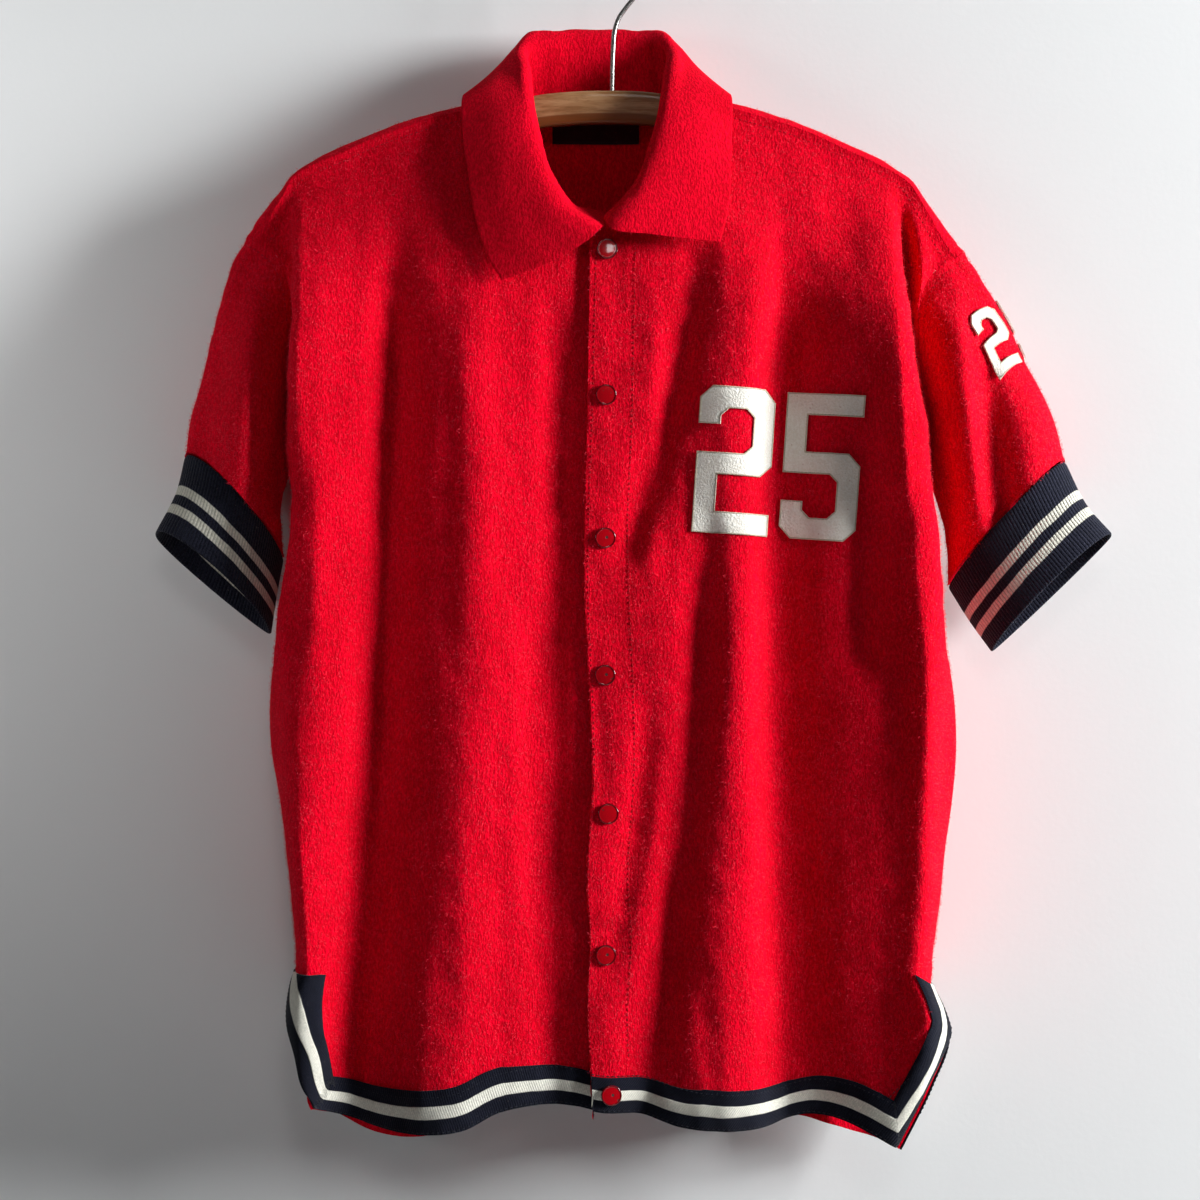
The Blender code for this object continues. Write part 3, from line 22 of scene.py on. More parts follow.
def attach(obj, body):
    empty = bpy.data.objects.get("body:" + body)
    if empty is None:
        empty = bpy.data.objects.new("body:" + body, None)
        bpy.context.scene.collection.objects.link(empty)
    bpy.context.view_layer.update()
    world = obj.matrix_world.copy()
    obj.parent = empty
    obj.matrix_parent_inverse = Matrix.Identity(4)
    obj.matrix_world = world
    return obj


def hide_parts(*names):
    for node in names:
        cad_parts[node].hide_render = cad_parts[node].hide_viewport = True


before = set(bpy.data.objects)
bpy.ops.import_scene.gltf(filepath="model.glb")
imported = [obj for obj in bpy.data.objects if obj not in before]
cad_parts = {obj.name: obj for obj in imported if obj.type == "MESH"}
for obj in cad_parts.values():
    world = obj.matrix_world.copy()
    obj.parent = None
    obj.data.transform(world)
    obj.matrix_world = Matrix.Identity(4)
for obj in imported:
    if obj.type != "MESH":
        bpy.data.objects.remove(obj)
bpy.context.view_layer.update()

log = logging.getLogger("warm_up_jacket")

# Metres in a millimetre, the part's one body, and the direction in which the camera looks.
MM = 0.001
BODY = "root"
AHEAD = Vector((0, 1, 0))
# From here on in mm: the middle of the neck in x, and the radius of the shoulders' upper edge.
NECK_CENTRE = -10.0
RIDGE_HALF = 9.0
# Depth of the hanging body before and behind the hanger, and the drop over which it is reached.
FRONT_DEPTH, FRONT_FALL = 42.0, 130.0
BACK_DEPTH, BACK_FALL = 32.0, 110.0
# Greatest length over which the upper end of a fold fades out.
FOLD_FADE = 150.0
# How far the under front lies behind the upper one, and there at the hem; x of its free edge.
LAP_STEP, LAP_STEP_HEM = 5.5, 6.2
UNDER_EDGE_X = 15.0
# Least y of the back's armhole, and depth of the sleeves before and behind the hanger.
ARMHOLE_BACK_Y = 8.0
SLEEVE_FRONT, SLEEVE_BACK = 32.0, 22.0
# Thickness of the fleece, and how far inside the neck's edge the collar starts.
FLEECE_THICK = 2.5
COLLAR_SET = 4.2
# Gap between pieces along a seam, and along the cuffs' seams.
SEAM_GAP, CUFF_SEAM_GAP = 0.3, 1.7
# Width of the hem tape, its height over the panel and its thickness.
TAPE_WIDE, TAPE_LIFT, TAPE_THICK = 29.0, 0.3, 1.2
# Width of the upper front's placket, and distance of the stitches from seams and from the collar's edge.
PLACKET_WIDE = 34.0
SEAM_STITCH, EDGE_STITCH = 6.5, 5.5
# Distance from which on a seam leaves no mark in the pile.
CLEAR_OF_SEAM = 20.0


# ------------------------------------------------------------------------------ table rows
class Station(NamedTuple):
    """A point of the front view."""

    x: float
    drop: float


class RidgeStation(NamedTuple):
    """A point of the shoulder ridge, and how far in front of it the seam runs."""

    x: float
    drop: float
    seam: float


class EdgeStation(NamedTuple):
    """A point of a panel's outer edge, with the reach of the cloth's turn and how it bulges."""

    x: float
    y: float
    drop: float
    roll: float
    bulge: float = 0.0


class GuideStation(NamedTuple):
    """A point in space."""

    x: float
    y: float
    drop: float


class Fold(NamedTuple):
    """A soft trough (deep > 0) or ridge (deep < 0) that runs down the cloth."""

    top: float
    bottom: float
    x_top: float
    x_mid: float
    x_low: float
    wide_top: float
    wide_low: float
    lean: float
    deep: float


class CollarStation(NamedTuple):
    """A section of the collar: where it folds over, where its free edge is and how it faces."""

    along: float
    fold_out: float
    fold_y: float
    fold_drop: float
    edge_out: float
    edge_y: float
    edge_drop: float
    facing: float
    sag: float


@dataclass(frozen=True)
class SideForm:
    """Edges and guides of one half of the jacket; sign is -1 on the wearer's right."""

    word: str
    sign: int
    neck_x: float
    neck: tuple[Station, ...]
    armhole: tuple[EdgeStation, ...]
    flank: tuple[EdgeStation, ...]
    vent: tuple[EdgeStation, ...]
    back_vent: tuple[EdgeStation, ...]
    underarm: tuple[GuideStation, ...]
    sleeve_top: tuple[GuideStation, ...]
    cuff_top: tuple[GuideStation, ...]
    cuff_in: tuple[GuideStation, ...]
    seam_lift: float
    collar: tuple[CollarStation, ...]
    sleeve_folds: tuple[Fold, ...]


def rows(kind: type, *values: Sequence[float]) -> tuple:
    """A table of rows of one kind."""
    return tuple(kind(*row) for row in values)


RIDGE = rows(
    RidgeStation, (-263.5, 206, 12), (-257, 193.7, 10), (-241.2, 175, 5), (-231.8, 161.3, 3.5),
    (-221, 153.4, 4.5), (-200.9, 143.3, 6), (-177.1, 132.5, 6), (-153.4, 123.8, 6), (-130.3, 116.6, 6),
    (-105.8, 110.9, 6), (-93, 108, 6), (-50, 104, 6), (-10, 103, 6), (40, 104, 6), (77, 107, 6),
    (110.9, 116.6, 6), (139.7, 126, 6), (168.5, 139, 6), (197.3, 152.6, 6), (215.3, 164.9, 5),
    (230.4, 186.5, 6), (244.1, 205.2, 9), (253, 217, 10))
FRONT_HEM = rows(
    Station, (-211.5, 827), (-190, 835), (-159, 843.7), (-128, 845.2), (-105.6, 842), (-82, 831),
    (-52, 826), (-28.5, 826.7), (-8.6, 831), (19, 832.4), (47, 840.8), (76, 843.7), (104.6, 842.3),
    (142, 834.6), (161, 837.3), (180, 845.2), (200, 856.5))
BACK_HEM = rows(
    Station, (-206, 838), (-190, 848), (-160, 857), (-128, 857), (-105, 850), (-82, 838), (-28, 834),
    (18, 839), (76, 852), (142, 845), (180, 856), (208, 866))
CENTRE_EDGE = rows(
    Station, (-16.5, 202.5), (-18.5, 327), (-20.5, 470), (-17, 531), (-15, 585), (-18.5, 684), (-16.5, 711),
    (-18.5, 756), (-14.2, 836))
FRONT_FOLDS = rows(
    Fold, (120, 900, -214, -214, -232, 24, 18, 0.0, -9), (160, 900, -154, -166, -190, 14, 24, -0.2, 16),
    (190, 900, -104, -100, -122, 24, 28, 0.1, -10), (190, 880, -35, -38, -40, 11, 17, 0.3, 9),
    (425, 520, -222, -224, -226, 8, 8, 0.0, 5), (180, 460, 66, 44, 0, 12, 13, 0.1, 9),
    (170, 430, 90, 86, 82, 24, 20, 0.0, -5), (165, 900, 124, 117, 130, 22, 34, -0.5, 22),
    (300, 540, 180, 178, 176, 13, 15, 0.1, 8), (120, 420, 196, 199, 206, 24, 14, 0.5, -8),
    (360, 900, 68, 54, 2, 9, 19, 0.2, 9), (370, 860, 88, 84, 70, 22, 24, 0.0, -6),
    (500, 755, 27, 16, -8, 9, 11, 0.0, 5), (220, 880, 203, 224, 222, 18, 20, 0.0, -12),
    (150, 345, 204, 213.5, 223, 6, 4, 0.0, 22), (220, 350, 211, 218, 224, 4, 4, 0.0, 8))
FRONT_CREASES = rows(
    Fold, (250, 520, -118, -116, -120, 7, 8, 0.0, 1.6), (430, 760, -52, -58, -50, 8, 9, 0.0, 2.0),
    (560, 830, -178, -184, -190, 8, 10, 0.0, 2.2), (240, 470, 32, 28, 24, 7, 8, 0.0, -1.6),
    (560, 840, 44, 40, 46, 9, 10, 0.0, 2.0), (640, 860, -128, -132, -140, 8, 9, 0.0, -1.8),
    (690, 860, 60, 66, 74, 8, 9, 0.0, 1.8), (470, 640, -16, -10, -2, 6, 6, 0.0, 1.4),
    (160, 300, -236, -236, -234, 6, 6, 0.0, 8), (160, 400, -224, -224, -222, 8, 8, 0.0, -3))
BACK_FOLDS = rows(
    Fold, (180, 900, -170, -164, -150, 16, 26, 0.1, 11), (230, 900, -96, -104, -92, 22, 30, 0.0, -8),
    (170, 900, -44, -38, -52, 14, 24, -0.2, 9), (260, 900, 14, 8, 10, 24, 30, 0.0, -7),
    (200, 900, 70, 66, 76, 14, 24, 0.1, 10), (210, 900, 118, 124, 118, 22, 26, 0.0, -7),
    (180, 900, 172, 170, 158, 14, 22, -0.1, 11))
BACK_CREASES = rows(
    Fold, (300, 640, -130, -134, -128, 8, 9, 0.0, 2.0), (420, 820, -70, -66, -72, 9, 10, 0.0, -2.0),
    (260, 560, 40, 44, 42, 8, 9, 0.0, 2.0), (480, 850, 98, 94, 100, 9, 10, 0.0, 2.0),
    (320, 700, 146, 150, 144, 8, 9, 0.0, -1.8), (560, 860, -12, -16, -10, 9, 10, 0.0, 1.8))
WEARERS_RIGHT = SideForm(
    word="right",
    sign=-1,
    neck_x=-93,
    neck=rows(
        Station, (-93, 108), (-86, 139), (-69, 169), (-43, 189), (-6, 198)),
    armhole=rows(
        EdgeStation, (-240, -12, 223, 10), (-233.3, -9, 241, 9), (-230.4, -5, 266, 9), (-230.4, -2, 288, 9),
        (-232.6, -1, 324, 10), (-234.4, 1, 360, 12, 1), (-233, 4, 378, 14, 3)),
    flank=rows(
        EdgeStation, (-233, 4, 378, 14, 3), (-228.5, 6, 403, 17, 7), (-228.5, 7, 438, 20, 10),
        (-233, 6, 462, 22, 10), (-240, 3, 490, 24, 8), (-246, 1, 526, 27, 3), (-246.5, 0, 569, 24),
        (-239.8, 0, 612, 18), (-234.7, 0, 648, 15), (-230.4, 0, 684, 14), (-228.2, 0, 720, 14),
        (-227.5, 0, 733, 14)),
    vent=rows(
        EdgeStation, (-227.5, 0, 733, 14), (-229.4, -20, 743, 12), (-229.6, -40, 769, 12),
        (-224, -44, 789, 12), (-219.5, -45, 810, 12), (-211.5, -45, 827, 12)),
    back_vent=rows(
        EdgeStation, (-227.5, 0, 733, 24), (-226, 6, 760, 24), (-216, 12, 800, 24), (-206, 16, 838, 24)),
    underarm=rows(
        GuideStation, (-233, 4, 378), (-239, 9, 405), (-238, 12, 437)),
    sleeve_top=rows(
        GuideStation, (-263.5, 0, 206), (-270.7, 0, 218.2), (-280.1, 0, 243.4), (-289.4, 0, 277.9),
        (-297.4, 0, 312.5), (-304.6, 0, 338.4), (-308.2, 0, 367.2)),
    cuff_top=rows(
        GuideStation, (-308.2, 0, 367.2), (-314.6, 0, 393), (-329.8, 0, 422.6)),
    cuff_in=rows(
        GuideStation, (-238, 12, 437), (-243, 12, 464), (-247, 10, 492)),
    seam_lift=17,
    collar=rows(
        CollarStation, (0.00, 0, 31, 54, 0, 34, 124, 90, 0), (0.13, 26, 30, 54, 34, 33, 124, 95, 0),
        (0.26, 51, 20, 58, 72, 24, 116, 120, 0), (0.36, 58, 8, 70, 89, 10, 106, 158, 0),
        (0.45, 55, -6, 84, 97, -7, 108, 184, 0), (0.57, 52, -20, 107, 97, -19, 133, 212, 0),
        (0.71, 45, -31, 137, 92, -31, 168, 234, 0), (0.83, 34, -40, 168, 86, -41, 203, 247, 1),
        (0.92, 22, -46, 187, 78, -46, 227, 256, 3), (1.00, -2.5, -49, 200, 68, -49, 243, 264, 7)),
    sleeve_folds=rows(
        Fold, (215, 430, -252, -258, -264, 15, 16, 0.0, -12), (200, 430, -272, -290, -298, 14, 14, 0.1, 7),
        (330, 460, -248, -244, -246, 12, 14, 0.0, 5)))
WEARERS_LEFT = SideForm(
    word="left",
    sign=1,
    neck_x=77,
    neck=rows(
        Station, (77, 107), (70, 139), (52, 169), (26, 190), (-6, 200.5)),
    armhole=rows(
        EdgeStation, (238, -12, 226, 10), (227.5, -12, 236, 9), (220, -12, 254, 9), (218.6, -12, 280.8, 8),
        (221.5, -10, 309.6, 7), (225.5, -4, 342, 8), (227, 4, 380, 14, 3)),
    flank=rows(
        EdgeStation, (227, 4, 380, 14, 3), (226, 6, 403, 17, 8), (231, 7, 438, 20, 9), (234, 6, 468, 22, 9),
        (239, 3, 500, 24, 6), (244, 1, 526, 27, 3), (247, 0, 576, 28), (244.1, 0, 612, 28),
        (239, 0, 648, 28), (235.4, 0, 684, 26), (230.4, 0, 720, 24), (228.2, 0, 744, 24)),
    vent=rows(
        EdgeStation, (228.2, 0, 744, 24), (238.5, -10, 767, 24), (240.9, -14, 777, 24), (237, -18, 786, 24),
        (215.4, -28, 827, 24), (200, -32, 856.5, 24)),
    back_vent=rows(
        EdgeStation, (228.2, 0, 744, 24), (242, 4, 783, 24), (230, 8, 820, 24), (208, 12, 866, 24)),
    underarm=rows(
        GuideStation, (227, 4, 380), (238, 9, 415), (242, 12, 458)),
    sleeve_top=rows(
        GuideStation, (253, 0, 217), (259.2, 0, 226.8), (275, 0, 252), (286.6, 0, 272.9), (295.9, 0, 294.5),
        (307.4, 0, 315.4), (317.5, 0, 338.4), (325.4, 0, 370)),
    cuff_top=rows(
        GuideStation, (325.4, 0, 370), (342, 0, 402.5), (359.3, 0, 422)),
    cuff_in=rows(
        GuideStation, (242, 12, 458), (257, 12, 482), (273.6, 10, 505.4)),
    seam_lift=13,
    collar=rows(
        CollarStation, (0.00, 0, 31, 54, 0, 34, 124, 90, 0), (0.13, 26, 30, 54, 34, 33, 124, 85, 0),
        (0.26, 49, 20, 58, 70, 24, 116, 60, 0), (0.36, 55, 8, 70, 87, 10, 106, 22, 0),
        (0.45, 53, -6, 84, 94, -7, 108, -4, 0), (0.57, 49, -20, 107, 94, -19, 133, -32, 0),
        (0.71, 40, -32, 141, 93, -31, 160, -54, 0), (0.83, 28, -41, 170, 92, -38, 184, -67, 0),
        (0.92, 17, -46, 187, 89, -44, 201, -76, 1), (1.00, 5, -49, 200.5, 85, -47, 216, -84, 2)),
    sleeve_folds=rows(
        Fold, (205, 430, 243, 249, 261, 15, 15, 0.3, -11), (280, 440, 268, 272, 286, 11, 12, 0.1, 8),
        (300, 460, 296, 300, 306, 14, 14, 0.0, -4)))


# ------------------------------------------------------------------------------ curves and fields
def smooth_at(knots: Sequence[float], values: Sequence[float], wanted: Sequence[float]) -> Array:
    """Smooth curve through a table.

    Args:
        knots: Rising places of the table's rows.
        values: One value or one row of values for each place.
        wanted: Places at which the curve is read.

    Returns:
        The curve's values there.
    """
    knots, values = np.asarray(knots, float), np.asarray(values, float)
    wanted = np.clip(np.asarray(wanted, float), knots[0], knots[-1])
    slopes = np.gradient(values, knots, axis=0)
    cell = np.clip(np.searchsorted(knots, wanted, side="right") - 1, 0, len(knots) - 2)
    width = knots[cell + 1] - knots[cell]
    t = (wanted - knots[cell]) / width
    if values.ndim > 1:
        t, width = t[..., None], width[..., None]
    lean_in, lean_out = slopes[cell] * width, slopes[cell + 1] * width
    return (values[cell] * (2 * t**3 - 3 * t**2 + 1) + lean_in * (t**3 - 2 * t**2 + t)
            + values[cell + 1] * (3 * t**2 - 2 * t**3) + lean_out * (t**3 - t**2))


def reach_along(points: Array) -> Array:
    """Distance of each point from the first one, along the line through them."""
    return join([[0.0], np.cumsum(np.linalg.norm(np.diff(points, axis=0), axis=1))])


def read(at: Array, reach: Array, table: Array) -> Array:
    """Rows of a table at these places, on straight lines between its own rows."""
    return np.stack([np.interp(at, reach, column) for column in np.transpose(table)], axis=-1)


def spread(points: Sequence[Sequence[float]], fractions: Sequence[float]) -> Array:
    """Points at these fractions of the length of the smooth curve through the given ones."""
    points = np.asarray(points, float)
    reach = reach_along(points[:, :3])
    return smooth_at(reach / reach[-1], points, fractions)


def ease(value: Array) -> Array:
    """0 below 0, 1 above 1 and an s-curve between."""
    value = np.clip(value, 0.0, 1.0)
    return value * value * (3 - 2 * value)


def roll(value: Array) -> Array:
    """Quarter of an ellipse: rises steeply from 0 and levels off at 1."""
    return np.sqrt(1 - (1 - np.clip(value, 0.0, 1.0)) ** 2)


def rounded(distance: Array, radius: float) -> Array:
    """How far a face falls back near a free edge, in mm."""
    t = np.clip(1 - distance / radius, 0, 1)
    return radius * (1 - np.sqrt(1 - t * t))


def groove(distance: Array, deep: float, wide: float) -> Array:
    """Depth of a groove that lies at distance 0, in mm."""
    return deep * np.exp(-((distance / wide) ** 2))


def unit(vectors: Array) -> Array:
    """The same directions with length 1."""
    return vectors / np.maximum(np.linalg.norm(vectors, axis=-1, keepdims=True), 1e-9)


def ripple(x: Array, y: Array, size: float, seed: int, waves: int = 9) -> Array:
    """Gentle random waves.

    Args:
        x: First coordinate, in mm.
        y: Second coordinate, in mm.
        size: Length of a typical wave, in mm.
        seed: Number that picks the pattern.
        waves: How many waves are added up.

    Returns:
        Values mostly between -1 and 1.
    """
    rng = np.random.default_rng(seed)
    total = np.zeros(x.shape)
    for _ in range(waves):
        angle, phase = rng.uniform(0, math.tau, 2)
        pitch = math.tau / (size * rng.uniform(0.7, 1.5))
        total = total + np.sin((x * math.cos(angle) + y * math.sin(angle)) * pitch + phase)
    return total / math.sqrt(waves)


def fold_field(folds: Sequence[Fold], x: Array, drop: Array) -> Array:
    """Sum of a table's troughs and ridges.

    Args:
        folds: The table.
        x: Places in the front view, in mm.
        drop: Drops of the same places.

    Returns:
        How far each place moves towards the inside, in mm.
    """
    total = np.zeros(x.shape)
    for fold in folds:
        t = np.clip((drop - fold.top) / (fold.bottom - fold.top), 0.0, 1.0)
        middle = fold.x_mid * 2 - (fold.x_top + fold.x_low) / 2
        away = x - (fold.x_top * (1 - t) ** 2 + 2 * middle * t * (1 - t) + fold.x_low * t**2)
        wide = fold.wide_top + (fold.wide_low - fold.wide_top) * t
        wide = wide * np.where(away < 0, 1 + fold.lean, 1 - fold.lean)
        fade = min(FOLD_FADE, 0.4 * (fold.bottom - fold.top))
        inside = ease((drop - fold.top) / fade) * ease((fold.bottom - drop) / 40.0)
        total = total + groove(away, fold.deep, wide) * inside
    return total


def to_world(points: Array) -> Array:
    """From (x, y, drop) in mm to (x, y, z) in metres."""
    return np.asarray(points, float) * (MM, MM, -MM)


def grid_normals(grid: Array, sign: int, closed: bool = False) -> Array:
    """Unit normals of a grid of points, pointing out of the garment."""
    wide = join([grid[-1:], grid, grid[:1]])
    across = (wide[2:] - wide[:-2]) / 2 if closed else np.gradient(grid, axis=0)
    return unit(np.cross(np.gradient(grid, axis=1), across) * sign)


# ------------------------------------------------------------------------------ sheets of cloth
class Border(Enum):
    """Borders of a sheet's grid, in the order in which Sheet.borders gives their distances."""

    FIRST = 0
    LAST = 1
    TOP = 2
    BOTTOM = 3


@dataclass
class Sheet:
    """A panel's outer face as a grid of columns and rows.

    Attributes:
        points: Points (x, y, drop) in mm.
        normals: Unit normals, out of the garment.
        sign: Which way round the grid runs.
        closed: Whether the last column meets the first one, as on a sleeve.
    """

    points: Array
    normals: Array
    sign: int
    closed: bool = False

    def ring(self) -> Array:
        """The points, with the first column again at the end of a closed sheet."""
        return join([self.points, self.points[:1]]) if self.closed else self.points

    def lengths(self) -> tuple[Array, Array]:
        """Distance along the cloth from the first column and from the first row, in mm."""
        points = self.ring()
        across = np.cumsum(np.linalg.norm(np.diff(points, axis=0), axis=-1), axis=0)
        down = np.cumsum(np.linalg.norm(np.diff(points, axis=1), axis=-1), axis=1)
        return (join([np.zeros((1, across.shape[1])), across]),
                join([np.zeros((len(down), 1)), down], axis=1))

    def borders(self) -> tuple[Array, Array, Array, Array]:
        """Distance of each point from the four borders, in mm."""
        across, down = self.lengths()
        return across, across[-1:] - across, down, down[:, -1:] - down

    def areas(self) -> Array:
        """Area of each cell, in square mm."""
        points = self.ring()
        first, second = points[1:, 1:] - points[:-1, :-1], points[1:, :-1] - points[:-1, 1:]
        return np.linalg.norm(np.cross(first, second), axis=-1) / 2

    def at(self, column: Array, row: Array, lift: float = 0.0) -> tuple[Array, Array]:
        """Points and normals at fractional columns and rows.

        Args:
            column: Column numbers, with fractions.
            row: Row numbers, with fractions.
            lift: Distance out from the sheet, in mm.

        Returns:
            Points in mm and unit normals.
        """
        count_i, count_j = self.points.shape[:2]
        i = np.floor(column).astype(int)
        j = np.clip(np.floor(row).astype(int), 0, count_j - 2)
        if not self.closed:
            i = np.clip(i, 0, count_i - 2)
        a, b = (column - i)[..., None], (row - j)[..., None]
        first, second = i % count_i, (i + 1) % count_i

        def blend(values: Array) -> Array:
            """Mixes the four corners of each cell."""
            upper = values[first, j] * (1 - a) + values[second, j] * a
            return upper * (1 - b) + (values[first, j + 1] * (1 - a) + values[second, j + 1] * a) * b

        normals = unit(blend(self.normals))
        return blend(self.points) + normals * lift, normals

    def drawn_in(self, borders: Sequence[Border], gap: float = SEAM_GAP / 2) -> "Sheet":
        """The sheet with some borders pulled in by half of a seam's gap.

        Args:
            borders: Which borders.
            gap: How far, in mm.

        Returns:
            The new sheet, with the same normals.
        """
        grid = self.points.copy()
        sides = ((np.s_[0], np.s_[1]), (np.s_[-1], np.s_[-2]),
                 (np.s_[:, 0], np.s_[:, 1]), (np.s_[:, -1], np.s_[:, -2]))
        for border in borders:
            edge, inner = sides[border.value]
            grid[edge] = grid[edge] + unit(grid[inner] - grid[edge]) * gap
        return Sheet(grid, self.normals, self.sign, self.closed)


def mesh_object(name: str, points: Array, faces: Sequence[Sequence[int]], finish: str,
                corners: Array | None = None, sharp: float = 55.0) -> Object:
    """Object from points and faces.

    Args:
        name: The piece's name.
        points: Points in metres, +Z up.
        faces: Corner numbers of each face.
        finish: Name of the piece's finish.
        corners: Place on the cut cloth, in metres, of each corner of each face in turn.
        sharp: Edges bent by more than this many degrees are shaded sharp.

    Returns:
        The new object, linked to the scene.
    """
    mesh = bpy.data.meshes.new(name)
    sizes = np.array([len(face) for face in faces], np.int32)
    flat = np.fromiter((corner for face in faces for corner in face), np.int32, int(sizes.sum()))
    mesh.vertices.add(len(points))
    mesh.vertices.foreach_set("co", np.ascontiguousarray(points, np.float32).ravel())
    mesh.loops.add(len(flat))
    mesh.loops.foreach_set("vertex_index", flat)
    mesh.polygons.add(len(sizes))
    mesh.polygons.foreach_set("loop_start", join([[0], np.cumsum(sizes)[:-1]]).astype(np.int32))
    mesh.update(calc_edges=True)
    mesh.validate()
    if corners is not None:
        layer = mesh.uv_layers.new(name="cut")
        layer.uv.foreach_set("vector", np.ascontiguousarray(corners, np.float32).ravel())
    mesh.shade_smooth()
    mesh.set_sharp_from_angle(angle=math.radians(sharp))
    mesh.materials.append(WARDROBE.materials[finish])
    piece = bpy.data.objects.new(name, mesh)
    bpy.context.collection.objects.link(piece)
    return piece


def shell(name: str, sheet: Sheet, outer: Array | float, inner: Array | float, finish: str,
          cells: Array | None = None, cut: Array | None = None) -> Object:
    """Closed thin wall on a sheet.

    Args:
        name: The piece's name.
        sheet: The face that it follows.
        outer: Height of its outer face over the sheet, in mm, one value or one a point.
        inner: The same for its inner face.
        finish: Name of the piece's finish.
        cells: Which cells of the grid it covers.
        cut: Place of each point on the cut cloth, in mm; the sheet's own lengths where left out.

    Returns:
        The new object.
    """
    count_i, count_j = sheet.points.shape[:2]
    if cells is None:
        cells = np.ones((count_i if sheet.closed else count_i - 1, count_j - 1), bool)
    if cut is None:
        across, down = sheet.lengths()
        middle = across.shape[1] // 2
        cut = np.stack([np.broadcast_to(across[:, middle:middle + 1], across.shape), down], axis=-1)
    layers = [to_world(sheet.points + sheet.normals * np.broadcast_to(high, (count_i, count_j))[..., None])
              for high in (outer, inner)]
    points, far = join(layers).reshape(-1, 3), count_i * count_j
    i, j = np.argwhere(cells).T
    corners_i = np.stack([i, i, i + 1, i + 1], axis=1)
    corners_j = np.stack([j, j + 1, j + 1, j], axis=1)
    if sheet.sign > 0:
        corners_i, corners_j = corners_i[:, ::-1], corners_j[:, ::-1]
    top = (corners_i % count_i) * count_j + corners_j
    top_cut = cut[corners_i, corners_j]
    faces, cuts = [top, top[:, ::-1] + far], [top_cut, top_cut[:, ::-1]]
    padded = np.zeros((cells.shape[0] + 2, cells.shape[1] + 2), bool)
    padded[1:-1, 1:-1] = cells
    if sheet.closed:
        padded[0, 1:-1], padded[-1, 1:-1] = cells[-1], cells[0]
    order = (0, 1, 2, 3) if sheet.sign < 0 else (3, 2, 1, 0)
    for side, (step_i, step_j) in enumerate(((-1, 0), (0, 1), (1, 0), (0, -1))):
        bare = ~padded[i + 1 + step_i, j + 1 + step_j]
        a, b = (order[side], order[(side + 1) % 4])[::-sheet.sign]
        first, second, edge_cut = top[bare, a], top[bare, b], top_cut[bare]
        faces.append(np.stack([second, first, first + far, second + far], axis=1))
        cuts.append(edge_cut[:, [b, a, a, b]])
    used, numbers = np.unique(join(faces), return_inverse=True)
    corners = join(cuts).reshape(-1, 2) * MM
    return mesh_object(name, points[used], numbers.reshape(-1, 4).tolist(), finish, corners)


